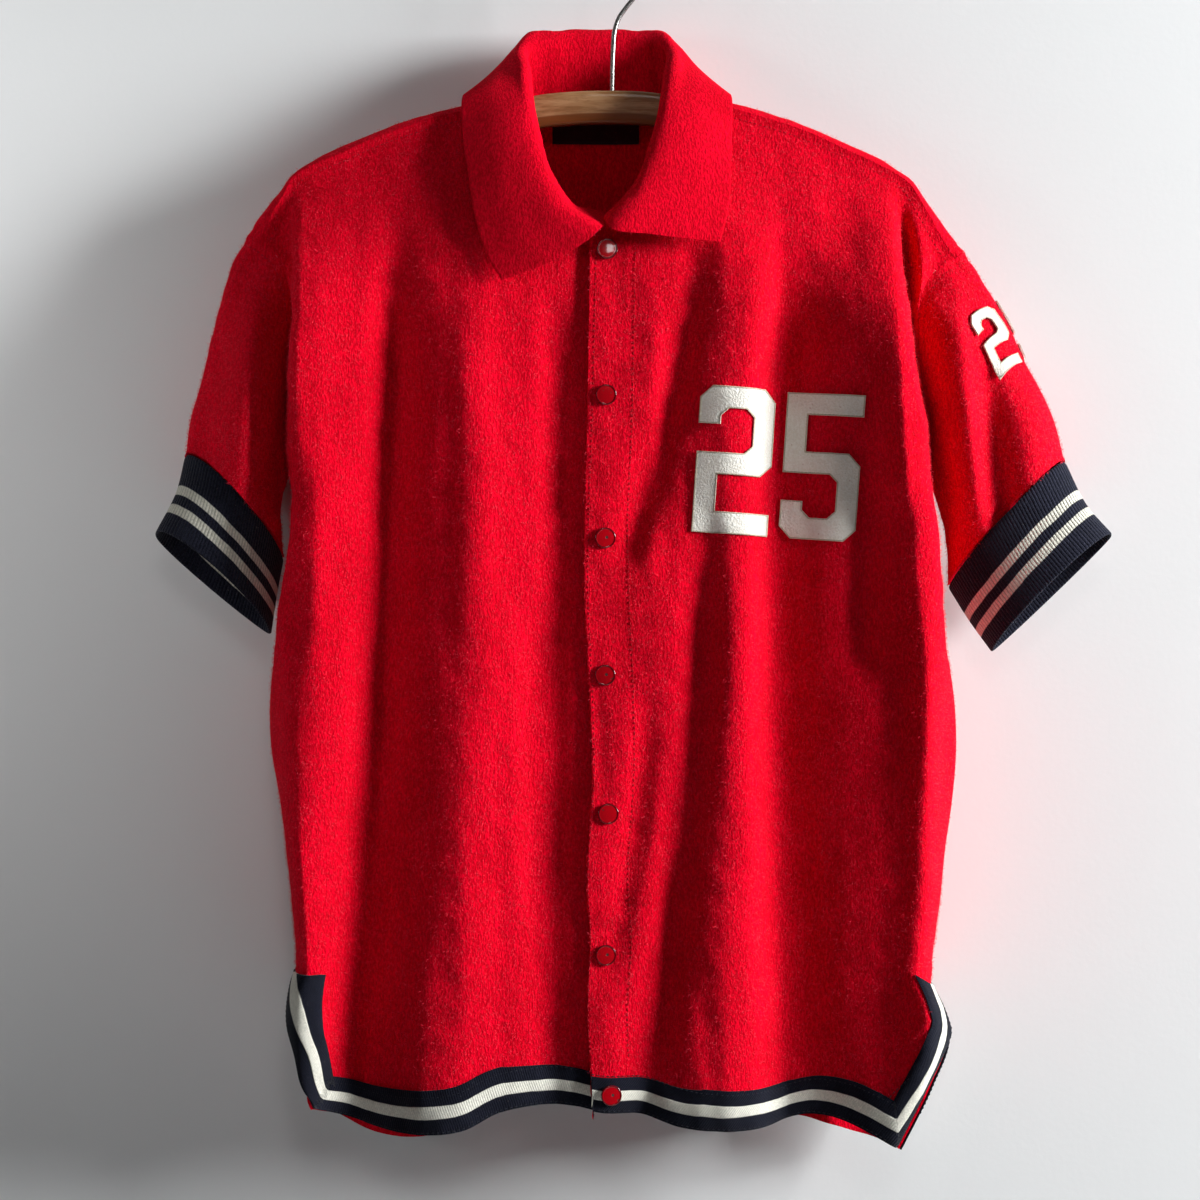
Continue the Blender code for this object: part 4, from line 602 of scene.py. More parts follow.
# ------------------------------------------------------------------------------ the draped form
@dataclass
class JacketForm:
    """The jacket's hanging shape, from which every sheet of cloth is taken.

    Attributes:
        shoulder_steps: Fractions along a shoulder, from the sleeve head to the neck.
        neck_steps: Columns round one side of the neck.
        behind_steps: Columns behind the neck.
        armhole_rows: Rows down an armhole.
        flank_rows: Rows down a side seam.
        vent_rows: Rows down a vent, above the hem tape.
        tape_rows: Rows across the hem tape.
        wrap: Rows over the shoulder ridge, 1 in front of it and -1 behind.
        ripple_high: Height of the cloth's small waves, in mm.
    """

    shoulder_steps: Array = field(default_factory=lambda: join(
        [np.array([0, 0.35, 0.9, 1.7, 2.8, 4.2, 6, 8.2, 10.8, 13.8]), np.linspace(17, 200, 54)]) / 200)
    neck_steps: int = 36
    behind_steps: int = 40
    armhole_rows: int = 48
    flank_rows: int = 104
    vent_rows: int = 20
    tape_rows: int = 10
    wrap: tuple[float, ...] = (1.0, 0.8, 0.6, 0.4, 0.2, 0.08, 0.0, -0.08, -0.2, -0.4, -0.6, -0.8, -1.0)
    ripple_high: float = 0.55

    @property
    def vent_start(self) -> int:
        """Row at which the side seam ends and the vent starts."""
        return self.armhole_rows + self.flank_rows

    @property
    def last_wrap(self) -> int:
        """Number of the back's row behind the shoulder ridge."""
        return len(self.wrap) - 1

    def below_ridge(self, x: Array, drop: Array) -> Array:
        """How far places of the front view lie below the shoulder ridge, in mm."""
        return np.maximum(drop - smooth_at(*np.transpose(RIDGE)[:2], x), 0.0)

    def depth(self, x: Array, drop: Array, deep: float, fall_over: float, neck: float) -> Array:
        """How far a panel hangs from the plane of the hanger, before its folds.

        Args:
            x: Places in the front view, in mm.
            drop: Drops of the same places.
            deep: Depth of the hanging body.
            fall_over: Drop over which the cloth leaves the hanger.
            neck: How far the neck pushes it out.

        Returns:
            Depths in mm, positive.
        """
        below = self.below_ridge(x, drop)
        fall = ease((below - 4) / fall_over)
        head = 0.35 + 0.65 * ease((250.0 - np.abs(x + 4.0)) / 26.0)
        base = RIDGE_HALF * roll(below / RIDGE_HALF) + (deep - RIDGE_HALF) * fall * head
        return base + groove(x - NECK_CENTRE, neck, 75.0) * (1 - fall) * roll(below / RIDGE_HALF)

    def front_y(self, x: Array, drop: Array) -> Array:
        """Level of the fronts, as y in mm (negative)."""
        base = self.depth(x, drop, FRONT_DEPTH, FRONT_FALL, 10.0) - 3 * ease((drop - 700) / 150)
        calm = ease(self.below_ridge(x, drop) / 60) * (1 - groove(x + 3, 0.45, 20.0))
        return -base + fold_field(FRONT_FOLDS, x, drop) * calm

    def back_y(self, x: Array, drop: Array) -> Array:
        """Level of the back, as y in mm (positive)."""
        base = self.depth(x, drop, BACK_DEPTH, BACK_FALL, 18.0)
        return base - fold_field(BACK_FOLDS, x, drop) * ease(self.below_ridge(x, drop) / 60)

    def shoulder(self, side: SideForm) -> tuple[Array, Array]:
        """Rows over one shoulder, from the seam in front of its ridge to the mirrored row behind.

        Args:
            side: Which half of the jacket.

        Returns:
            Points and unit normals, each by wrap row and by shoulder step.
        """
        table = [row for row in RIDGE if side.sign * (row.x - side.neck_x) >= -0.01]
        ridge = spread(sorted(table, key=lambda row: -side.sign * row.x), self.shoulder_steps)
        along = unit(np.gradient(ridge[:, :2], axis=0))
        inward = np.stack([along[:, 1], -along[:, 0]], axis=1) * side.sign
        inward = inward * np.sign(inward[:, 1:2] + 1e-9)
        points, normals = [], []
        for part in self.wrap:
            away = np.minimum(ridge[:, 2], RIDGE_HALF) * abs(part)
            level = np.sqrt(away * (2 * RIDGE_HALF - away)) * (-1 if part > 0 else 1)
            spot = ridge[:, :2] + inward * ridge[:, 2:3] * abs(part)
            up = -inward * (1 - away / RIDGE_HALF)[:, None]
            points.append(np.stack([spot[:, 0], level, spot[:, 1]], axis=1))
            normals.append(np.stack([up[:, 0], level / RIDGE_HALF, up[:, 1]], axis=1))
        return np.array(points), unit(np.array(normals))

    def armhole(self, side: SideForm, back: bool) -> Array:
        """Armhole seam of a front or of the back, from the shoulder to the underarm.

        Args:
            side: Which half of the jacket.
            back: True for the back's edge.

        Returns:
            Rows of x, y, drop, roll and bulge.
        """
        table = side.armhole
        if back:
            table = [row._replace(y=max(-row.y, ARMHOLE_BACK_Y)) for row in table[:-1]] + [table[-1]]
        start = (*self.shoulder(side)[0][-1 if back else 0, 0], 10, 0)
        return spread([start, *table], np.linspace(0, 1, self.armhole_rows + 1))

    def outer_edge(self, side: SideForm, back: bool) -> Array:
        """A panel's whole outer edge: armhole, side seam, vent and tape.

        Args:
            side: Which half of the jacket.
            back: True for the back's edge.

        Returns:
            Rows of x, y, drop, roll and bulge.
        """
        vent = np.array(side.back_vent if back else side.vent, float)
        tape = 1 - TAPE_WIDE / reach_along(vent[:, :3])[-1]
        steps = join([np.linspace(0, tape, self.vent_rows + 1), np.linspace(tape, 1, self.tape_rows + 1)[1:]])
        flank = spread(side.flank, np.linspace(0, 1, self.flank_rows + 1))
        return join([self.armhole(side, back), flank[1:], spread(vent, steps)[1:]])

    @staticmethod
    def patch(top: Array, bottom: Array, left: Array, right: Array, across: Array, down: Array) -> Array:
        """Grid of front-view places between four edges.

        Args:
            top: Places along the upper edge.
            bottom: Places along the lower edge.
            left: Places down the first edge.
            right: Places down the last edge.
            across: Fraction of each column.
            down: Fraction of each row.

        Returns:
            x and drop of each point.
        """
        a, b = across[:, None, None], down[None, :, None]
        edges = (1 - b) * top[:, None, :] + b * bottom[:, None, :]
        edges = edges + (1 - a) * left[None, :, :] + a * right[None, :, :]
        corners = (1 - b) * ((1 - a) * top[0] + a * top[-1])
        return edges - corners - b * ((1 - a) * bottom[0] + a * bottom[-1])

    def waved(self, sheet: Sheet, creases: Sequence[Fold], away: Array) -> Sheet:
        """The sheet with small creases and waves, which die out towards its seams.

        Args:
            sheet: The smooth sheet.
            creases: Narrow folds.
            away: Distance of each point from the nearest seam, in mm.

        Returns:
            The sheet with moved points and new normals.
        """
        x, drop = sheet.points[..., 0], sheet.points[..., 2]
        push = self.ripple_high * ripple(x, drop * 0.6, 44, 3) + 0.3 * ripple(x, drop * 0.8, 19, 5)
        push = push * ease(away / 16) - fold_field(creases, x, drop) * ease(away / 8)
        points = sheet.points + sheet.normals * push[..., None]
        share = ease(away / 6)[..., None]
        normals = sheet.normals * (1 - share) + grid_normals(points, sheet.sign, sheet.closed) * share
        return Sheet(points, unit(normals), sheet.sign, sheet.closed)

    def front(self, side: SideForm) -> Sheet:
        """A front's outer face: columns from its side to the centre, rows down.

        Args:
            side: Which half of the jacket.

        Returns:
            The sheet.
        """
        shoulder, over = self.shoulder(side)
        count, on_top = len(self.shoulder_steps), side.sign > 0
        neck = spread([shoulder[0][-1][[0, 2]], *side.neck[1:]], np.linspace(0, 1, self.neck_steps + 1))
        lap_end = np.array(CENTRE_EDGE[0] if on_top else (UNDER_EDGE_X, neck[-1, 1]))
        shares = np.array([2.6, 5.2, 7.5, 9.0, 9.9, 10.5]) / 10.5 if on_top else np.linspace(0, 1, 8)[1:]
        lap = neck[-1] + (lap_end - neck[-1]) * shares[:, None]
        top = join([shoulder[0][:, [0, 2]], neck[1:], lap])
        edge = self.outer_edge(side, back=False)
        down = (edge[:, 2] - edge[0, 2]) / (edge[-1, 2] - edge[0, 2])
        across = (top[:, 0] - top[0, 0]) / (top[-1, 0] - top[0, 0])
        hem = np.transpose(FRONT_HEM)
        end = CENTRE_EDGE[-1].drop if on_top else float(smooth_at(*hem, UNDER_EDGE_X))
        drops = top[-1, 1] + down * (end - top[-1, 1])
        centre = np.full(len(drops), UNDER_EDGE_X)
        if on_top:
            centre = smooth_at(*np.transpose(CENTRE_EDGE)[::-1], drops)
        right = np.stack([centre, drops], axis=1)
        low_x = edge[-1, 0] + across * (right[-1, 0] - edge[-1, 0])
        bottom = np.stack([low_x, smooth_at(*hem, low_x)], axis=1)
        bottom[-1] = right[-1]
        x, drop = np.moveaxis(self.patch(top, bottom, edge[:, [0, 2]], right, across, down), -1, 0)
        away = np.abs(x - x[:1]) / edge[:, 3]
        level = edge[:, 1] + (self.front_y(x, drop) - edge[:, 1]) * roll(away)
        gap = np.zeros(len(top))
        gap[:count] = shoulder[0][:, 1] - level[:count, 0]
        past = np.linalg.norm(top[count:] - top[count - 1], axis=1)
        gap[count:] = gap[count - 1] * (1 - ease(past / 26))
        level = level + gap[:, None] * (1 - ease((drop - drop[:, :1]) / 18))
        if not on_top:
            step = LAP_STEP + (LAP_STEP_HEM - LAP_STEP) * ease((drop - 770) / 25)
            level = level + step * ease((x + 36) / 15)
        x = x + side.sign * edge[:, 4] * np.sin(np.pi * np.clip(away * 1.1, 0, 1))
        points = np.stack([x, level, drop], axis=-1)
        normals = grid_normals(points, side.sign)
        normals[:count, 0] = over[0]
        normals[0, self.armhole_rows:self.vent_start + 1] = (side.sign, 0, 0)
        sheet = Sheet(points, normals, side.sign)
        return self.waved(sheet, FRONT_CREASES, np.minimum(*sheet.lengths()))

    def back(self) -> Sheet:
        """The back's outer face, with the rows over both shoulders: columns from the wearer's right.

        Returns:
            The sheet; the cells between the two wraps over the shoulders aren't cloth.
        """
        over_r, normals_r = self.shoulder(WEARERS_RIGHT)
        over_l, normals_l = (rows[:, ::-1] for rows in self.shoulder(WEARERS_LEFT))
        edge_r, edge_l = self.outer_edge(WEARERS_RIGHT, True), self.outer_edge(WEARERS_LEFT, True)
        angles = np.linspace(0, math.pi, self.behind_steps + 1)[1:-1]
        start, end = over_r[-1][-1], over_l[-1][0]
        middle, half, level = (start[0] + end[0]) / 2, (end[0] - start[0]) / 2, (start[2] + end[2]) / 2
        neck = np.stack([middle - half * np.cos(angles), level + (112 - level) * np.sin(angles)], axis=1)
        top = join([over_r[-1][:, [0, 2]], neck, over_l[-1][:, [0, 2]]])
        down = (edge_r[:, 2] - edge_r[0, 2]) / (edge_r[-1, 2] - edge_r[0, 2])
        across = (top[:, 0] - top[0, 0]) / (top[-1, 0] - top[0, 0])
        low_x = edge_r[-1, 0] + across * (edge_l[-1, 0] - edge_r[-1, 0])
        bottom = np.stack([low_x, smooth_at(*np.transpose(BACK_HEM), low_x)], axis=1)
        bottom[0], bottom[-1] = edge_r[-1, [0, 2]], edge_l[-1, [0, 2]]
        flat = self.patch(top, bottom, edge_r[:, [0, 2]], edge_l[:, [0, 2]], across, down)
        x, drop = flat[..., 0], flat[..., 1]
        away_r, away_l = np.abs(x - x[:1]) / edge_r[:, 3], np.abs(x - x[-1:]) / edge_l[:, 3]
        sides = edge_r[:, 1] * (1 - across[:, None]) + edge_l[:, 1] * across[:, None]
        level = sides + (self.back_y(x, drop) - sides) * roll(away_r) * roll(away_l)
        count, last, total = len(self.shoulder_steps), self.last_wrap, len(top)
        gap = np.zeros(total)
        gap[:count] = over_r[-1][:, 1] - level[:count, 0]
        gap[-count:] = over_l[-1][:, 1] - level[-count:, 0]
        between = slice(count, total - count)
        for place in (count - 1, total - count):
            past = np.abs(top[between, 0] - top[place, 0])
            gap[between] = gap[between] + gap[place] * (1 - ease(past / 26))
        level = level + gap[:, None] * (1 - ease((drop - drop[:, :1]) / 18))
        x = x - edge_r[:, 4] * 0.5 * np.sin(np.pi * np.clip(away_r, 0, 1))
        x = x + edge_l[:, 4] * 0.5 * np.sin(np.pi * np.clip(away_l, 0, 1))
        grid = np.stack([x, level, drop], axis=-1)
        wraps = [join([a, grid[between, 0], b]) for a, b in zip(over_r[:-1], over_l[:-1])]
        points = join([np.stack(wraps, axis=1), grid], axis=1)
        normals = grid_normals(points, 1)
        normals[between, last:] = grid_normals(points[:, last:], 1)[between]
        normals[:count, :last + 1] = normals_r.swapaxes(0, 1)
        normals[-count:, :last + 1] = normals_l.swapaxes(0, 1)
        seam = slice(last + self.armhole_rows, last + self.vent_start + 1)
        normals[0, seam], normals[-1, seam] = (-1, 0, 0), (1, 0, 0)
        sheet = Sheet(points, normals, 1)
        return self.waved(sheet, BACK_CREASES, self.back_distance(sheet))

    def back_distance(self, sheet: Sheet) -> Array:
        """Distance of the back's points from its shoulder, neck, armhole and side seams.

        Args:
            sheet: The back.

        Returns:
            Distances along the cloth, in mm.
        """
        across, other, down, _ = sheet.borders()
        count, last = len(self.shoulder_steps), self.last_wrap
        top = down.copy()
        top[count:-count] = np.maximum(down[count:-count] - down[count:-count, last:last + 1], 0)
        neck = np.full(across.shape, 99.0)
        neck[:, :last + 1] = np.minimum(np.abs(across - across[count - 1:count]),
                                        np.abs(across - across[-count:1 - count]))[:, :last + 1]
        return np.minimum.reduce([across, other, top, neck])

    def armhole_ring(self, side: SideForm) -> tuple[Array, Array]:
        """Closed loop of the armhole seam, from the shoulder ridge down the front and up the back.

        Args:
            side: Which half of the jacket.

        Returns:
            The loop's points, and the angle of each: 0 on the ridge, pi at the underarm, then on.
        """
        over, ridge = self.shoulder(side)[0][:, 0], self.wrap.index(0.0)
        front, back = self.armhole(side, False)[1:, :3], self.armhole(side, True)[-2:0:-1, :3]
        ring = join([over[ridge::-1], front, back, over[:ridge:-1]])
        underarm = ridge + self.armhole_rows
        reach = reach_along(join([ring, ring[:1]]))
        share = np.interp(reach, reach[[0, underarm, -1]], [0, 1, 2])
        return ring, share[:-1] * math.pi

    @staticmethod
    def tube_ring(upper: Array, inner: Array, angles: Array, lift: float) -> Array:
        """Ring of a flattened tube.

        Args:
            upper: Point on its upper edge.
            inner: Point on its inner edge.
            angles: Angle of each ring point.
            lift: How far the front of the ring is above the line between the two edges.

        Returns:
            The ring's points.
        """
        sine = np.sin(angles)[:, None]
        reach = np.where(sine > 0, (0.0, -SLEEVE_FRONT, -lift), (0.0, -SLEEVE_BACK, -lift * 0.4))
        return upper + (inner - upper) * ((1 - np.cos(angles)) / 2)[:, None] + sine * reach

    def sleeve(self, side: SideForm, rings: int = 48) -> Sheet:
        """A sleeve's outer face: columns round the arm, rows from the armhole seam to the cuff seam.

        Args:
            side: Which half of the jacket.
            rings: Steps down the sleeve.

        Returns:
            The closed sheet.
        """
        first, angles = self.armhole_ring(side)
        share, sine = ((1 - np.cos(angles)) / 2)[:, None], np.sin(angles)
        down = np.linspace(0, 1, rings + 1)
        uppers, inners = spread(side.sleeve_top, down), spread(side.underarm, down)
        last = self.tube_ring(uppers[-1], inners[-1], angles, side.seam_lift)
        bend_first = first - (uppers[0] + (inners[0] - uppers[0]) * share)
        bend_last = last - (uppers[-1] + (inners[-1] - uppers[-1]) * share)
        rings_down = []
        for t, upper, inner in zip(down, uppers, inners):
            flat_blend, deep_blend = ease(t), math.sin(math.pi / 2 * t) ** 0.75
            bend = bend_first * (1 - flat_blend) + bend_last * flat_blend
            bend[:, 1] = bend_first[:, 1] * (1 - deep_blend) + bend_last[:, 1] * deep_blend
            bend[:, 1] -= 5 * math.sin(math.pi * t) * sine
            ring = upper + (inner - upper) * share + bend
            fade = math.sin(math.pi * min(t * 1.6, 0.5)) * np.clip(np.abs(sine) * 1.4, 0, 1)
            push = fold_field(side.sleeve_folds, ring[:, 0], ring[:, 2]) * fade
            ring[:, 1] += push * np.where(sine > 0, 1, -1)
            rings_down.append(ring)
        points = np.stack(rings_down, axis=1)
        sheet = Sheet(points, grid_normals(points, side.sign, True), side.sign, True)
        distance = np.minimum(sheet.lengths()[1], 99)[:len(points)]
        return self.waved(sheet, (), np.minimum(distance, distance[:, -1:] - distance))

    def cuff(self, side: SideForm, rings: int = 22) -> Sheet:
        """A cuff's outer face: columns as its sleeve's, rows from the cuff seam to the mouth.

        Args:
            side: Which half of the jacket.
            rings: Steps down the cuff.

        Returns:
            The closed sheet.
        """
        angles = self.armhole_ring(side)[1]
        down = join([np.linspace(0, 0.95, rings), [0.975, 0.99, 1.0]])
        uppers, inners = spread(side.cuff_top, down), spread(side.cuff_in, down)
        points = np.stack([self.tube_ring(upper, inner, angles, side.seam_lift)
                           for upper, inner in zip(uppers, inners)], axis=1)
        return Sheet(points, grid_normals(points, side.sign, True), side.sign, True)


# ------------------------------------------------------------------------------ the collar's form
@dataclass
class CollarForm:
    """The collar: it stands up from the neck seam, folds over and falls on the fronts.

    Attributes:
        form: The jacket that it is sewn to.
        steps: Sections round one half of the neck.
        fold_half: Half of the thickness of the folded cloth, in mm.
    """

    form: JacketForm
    steps: int = 84
    fold_half: float = 4.2

    def half(self, side: SideForm, seam: Array, along: Array) -> Array:
        """Sections of one half of the collar.

        Args:
            side: Which half of the jacket.
            seam: Points of the neck seam.
            along: How far each of them is from the back's middle (0) to the front end (1).

        Returns:
            Points by section and by step across.
        """
        table = np.array(side.collar, float)
        steps = np.linspace(0, 1, self.steps + 1)
        order = np.argsort(along)
        level = np.array([0, 0.17, 0.33, 0.41, 0.455, 0.50, 0.58, 0.72, 0.86, 1])
        places = join([np.linspace(0, 1, 10)[:-1] * 0.33, np.linspace(0.33, 0.58, 15)[:-1],
                       np.linspace(0.58, 0.97, 14), [0.985, 0.994, 1.0]])
        sections = []
        starts, stations = read(steps, along[order], seam[order]), smooth_at(table[:, 0], table[:, 1:], steps)
        for start, row in zip(starts, stations):
            fold = row[:3] * (side.sign, 1, 1) + (NECK_CENTRE, 0, 0)
            edge = row[3:6] * (side.sign, 1, 1) + (NECK_CENTRE, 0, 0)
            facing, sag = math.radians(row[6]), row[7]
            out = np.array([math.cos(facing), math.sin(facing), 0.0])
            inner = fold - out * self.fold_half + (0, 0, 4.5)
            outer = fold + out * self.fold_half + (0, 0, 4.5)
            stand = start + (inner - start) * 0.5 + out * 0.8
            fall = outer + (edge - outer) * 0.4 + out * 3.0 + (0, 0, sag)
            coarse = spread([start, stand, inner, fold, outer, fall, edge], level)
            sections.append(smooth_at(level, coarse, places))
        return np.array(sections)

    @staticmethod
    def neck_edge(sheet: Sheet, columns: Sequence[int], row: int, away: Sequence[float]) -> Array:
        """Inner edge points of a panel at the neck seam, moved by a small step away from it."""
        return sheet.points[columns, row] - sheet.normals[columns, row] * FLEECE_THICK + np.array(away, float)

    @staticmethod
    def into_neck(edge: Array) -> Array:
        """Unit steps in the front view from points of the neck edge into the neck opening.

        Args:
            edge: The points.

        Returns:
            The steps.
        """
        along = unit(np.gradient(edge[:, [0, 2]], axis=0))
        across = np.stack([along[:, 1], -along[:, 0]], axis=1)
        facing = (across * ((NECK_CENTRE, 120) - edge[:, [0, 2]])).sum(axis=1, keepdims=True)
        across = across * np.sign(facing)
        return np.stack([across[:, 0], np.zeros(len(edge)), across[:, 1]], axis=1)

    def sheet(self, fronts: Sequence[Sheet], back: Sheet) -> Sheet:
        """The collar's visible face, from its right front end round the back to the left one.

        Args:
            fronts: The wearer's right front and left front.
            back: The back.

        Returns:
            The sheet.
        """
        count, last = len(self.form.shoulder_steps), self.form.last_wrap
        neck = list(range(count - 1, count + self.form.neck_steps))
        behind = list(range(count, len(back.points) - count))
        ends = []
        for front, side in zip(fronts, (WEARERS_RIGHT, WEARERS_LEFT)):
            points = self.neck_edge(front, neck, 0, (0, 0.4, 0))
            points = points + self.into_neck(points) * COLLAR_SET
            points[-4:, 0] += side.sign * np.array([0.4, 0.8, 1.2, 1.6])
            ends.append(points)
        middle = self.neck_edge(back, behind, last, (0, 0, -0.4))
        sides = []
        for column, sign in ((count - 1, 1), (len(back.points) - count, -1)):
            step = (sign * COLLAR_SET, 0, -0.2)
            sides.append([self.neck_edge(back, [column], row, step)[0]
                          for row in (last, self.form.wrap.index(0.0))])
        half = len(behind) // 2
        along = join([np.linspace(1.0, 0.47, len(neck)), [0.42, 0.36], np.linspace(0.30, 0.0, half + 1)])
        right = self.half(WEARERS_RIGHT, join([ends[0][::-1], sides[0][::-1], middle[:half + 1]]), along)
        left = self.half(WEARERS_LEFT, join([middle[half:], sides[1], ends[1]]), along[::-1])
        points = join([right[::-1], left[1:]])
        return Sheet(points, grid_normals(points, -1), -1)


# ------------------------------------------------------------------------------ node helpers
Colour = tuple[float, float, float]


def shade(colour: Colour, factor: float, more: float = 0.0) -> Colour:
    """The colour made darker or paler."""
    return tuple(min(part * factor + more, 1.0) for part in colour)


class Effect(Enum):
    """Shader groups that several finishes use."""

    MOTTLE = "mottle"
    RIBS = "ribs"
    BAND = "band"
    LINT = "lint"


@dataclass
class Graph:
    """Short way to place nodes in a tree.

    Attributes:
        tree: The material's or group's node tree.
    """

    tree: NodeTree

    def put(self, socket: NodeSocket, value: object) -> None:
        """Links a socket to another one, or sets its own value."""
        if isinstance(value, NodeSocket):
            self.tree.links.new(value, socket)
        else:
            socket.default_value = (*value, 1.0) if socket.type == "RGBA" else value

    def node(self, kind: str, inputs: dict[str | int, object], **settings: object) -> Node:
        """Adds a node.

        Args:
            kind: The node's type.
            inputs: Values or sockets for its inputs.
            settings: Values for its own settings.

        Returns:
            The node.
        """
        made = self.tree.nodes.new(kind)
        for name, value in settings.items():
            setattr(made, name, value)
        for name, value in inputs.items():
            self.put(made.inputs[name], value)
        return made

    def math(self, operation: str, *values: object) -> NodeSocket:
        """Result of a math node."""
        return self.node("ShaderNodeMath", dict(enumerate(values)), operation=operation).outputs[0]

    def times(self, first: object, second: object) -> NodeSocket:
        """Product of two values."""
        return self.math("MULTIPLY", first, second)

    def plus(self, first: object, second: object) -> NodeSocket:
        """Sum of two values."""
        return self.math("ADD", first, second)

    def minus(self, first: object, second: object) -> NodeSocket:
        """Difference of two values."""
        return self.math("SUBTRACT", first, second)

    def between(self, value: object, low: object, high: object) -> NodeSocket:
        """0 at low, 1 at high and a smooth step between."""
        inputs = {"Value": value, "From Min": low, "From Max": high}
        return self.node("ShaderNodeMapRange", inputs, interpolation_type="SMOOTHSTEP").outputs[0]

    def mix(self, share: object, first: object, second: object) -> NodeSocket:
        """Colour mixed from two others."""
        return self.node("ShaderNodeMix", {0: share, 6: first, 7: second}, data_type="RGBA").outputs[2]

    def noise(self, where: object, scale: object, detail: float = 2.0, rough: float = 0.5) -> NodeSocket:
        """Noise at a place; scale counts per metre."""
        inputs = {"Vector": where, "Scale": scale, "Detail": detail, "Roughness": rough}
        return self.node("ShaderNodeTexNoise", inputs).outputs[0]

    def place(self) -> NodeSocket:
        """Place on the object, in metres."""
        return self.node("ShaderNodeTexCoord", {}).outputs["Object"]

    def cut(self) -> tuple[NodeSocket, NodeSocket, NodeSocket]:
        """Place on the cut cloth, in metres: as a vector, across it and down it."""
        where = self.node("ShaderNodeUVMap", {}, uv_map="cut").outputs[0]
        return where, *self.node("ShaderNodeSeparateXYZ", {0: where}).outputs[:2]

    def use(self, effect: Effect, *values: object) -> list[NodeSocket]:
        """Places a shared group with these values for its inputs, and gives its outputs."""
        made = self.node("ShaderNodeGroup", {}, node_tree=EFFECTS.tree(effect))
        for socket, value in zip(made.inputs, values):
            self.put(socket, value)
        return list(made.outputs)

    def show(self, shader: Node, colour: object, height: object, deep: float, strength: float = 0.8) -> None:
        """Feeds a shader its colour and a bump, from a height of 0 to 1 over a depth in metres."""
        inputs = {"Height": height, "Distance": deep, "Strength": strength}
        self.put(shader.inputs["Base Color"], colour)
        self.put(shader.inputs["Normal"], self.node("ShaderNodeBump", inputs).outputs[0])


@dataclass
class Effects:
    """The shader groups, each built once.

    Attributes:
        built: Groups made so far.
    """

    built: dict[Effect, NodeTree] = field(default_factory=dict)

    def tree(self, effect: Effect) -> NodeTree:
        """The group of an effect, built when it is first asked for."""
        if effect not in self.built:
            getattr(self, effect.value)()
        return self.built[effect]

    def start(self, effect: Effect, inputs: str,
              outputs: str) -> tuple[Graph, Sequence[NodeSocket], Sequence[NodeSocket]]:
        """Starts a group.

        Args:
            effect: Which one.
            inputs: Name and kind of each input, as in "Value:Float".
            outputs: The same for each output.

        Returns:
            Its graph, the sockets of its inputs and those of its outputs.
        """
        graph = Graph(bpy.data.node_groups.new(effect.value, "ShaderNodeTree"))
        self.built[effect] = graph.tree
        for side, text in (("INPUT", inputs), ("OUTPUT", outputs)):
            for name, kind in (part.split(":") for part in text.split()):
                graph.tree.interface.new_socket(name, in_out=side, socket_type="NodeSocket" + kind)
        return graph, graph.node("NodeGroupInput", {}).outputs, graph.node("NodeGroupOutput", {}).inputs

    def mottle(self) -> None:
        """Colour that drifts between two others, softly and in fine specks; the specks are also its height,
        so the first colour lies in the hollows.
        """
        graph, (place, dark, light, patch, grain, *_), out = self.start(
            Effect.MOTTLE, "Place:Vector Dark:Color Light:Color Patch:Float Grain:Float",
            "Colour:Color Height:Float")
        soft = graph.between(graph.noise(place, patch, 3.0, 0.6), 0.3, 0.7)
        fine = graph.between(graph.noise(place, grain, 3.0, 0.65), 0.36, 0.66)
        share = graph.plus(graph.times(soft, 0.25), graph.times(fine, 0.75))
        graph.put(out[0], graph.mix(share, dark, light))
        graph.put(out[1], fine)

    def ribs(self) -> None:
        """Rounded ribs across a value, with a mask of their hollows, which the knit uses for painted shade.
        """
        graph, (across, pitch, *_), out = self.start(
            Effect.RIBS, "Across:Float Pitch:Float", "Height:Float Groove:Float")
        turn = graph.times(graph.math("DIVIDE", across, pitch), math.pi)
        high = graph.math("ABSOLUTE", graph.math("SINE", turn))
        graph.put(out[0], graph.math("POWER", high, 0.6))
        graph.put(out[1], graph.minus(1.0, graph.between(high, 0.1, 0.6)))

    def band(self) -> None:
        """1 between two values, with soft edges."""
        graph, (value, low, high, soft, *_), out = self.start(
            Effect.BAND, "Value:Float From:Float To:Float Soft:Float", "Mask:Float")
        rise, fall = (graph.between(value, graph.minus(edge, soft), graph.plus(edge, soft))
                      for edge in (low, high))
        graph.put(out[0], graph.times(rise, graph.minus(1.0, fall)))

    def lint(self) -> None:
        """Scattered specks: lint and wear on most finishes, painted highlights on the fleece."""
        graph, (place, scale, amount, *_), out = self.start(
            Effect.LINT, "Place:Vector Scale:Float Amount:Float", "Mask:Float")
        low = graph.minus(0.82, amount)
        graph.put(out[0], graph.between(graph.noise(place, scale, 1.0), low, graph.plus(low, 0.05)))


EFFECTS = Effects()


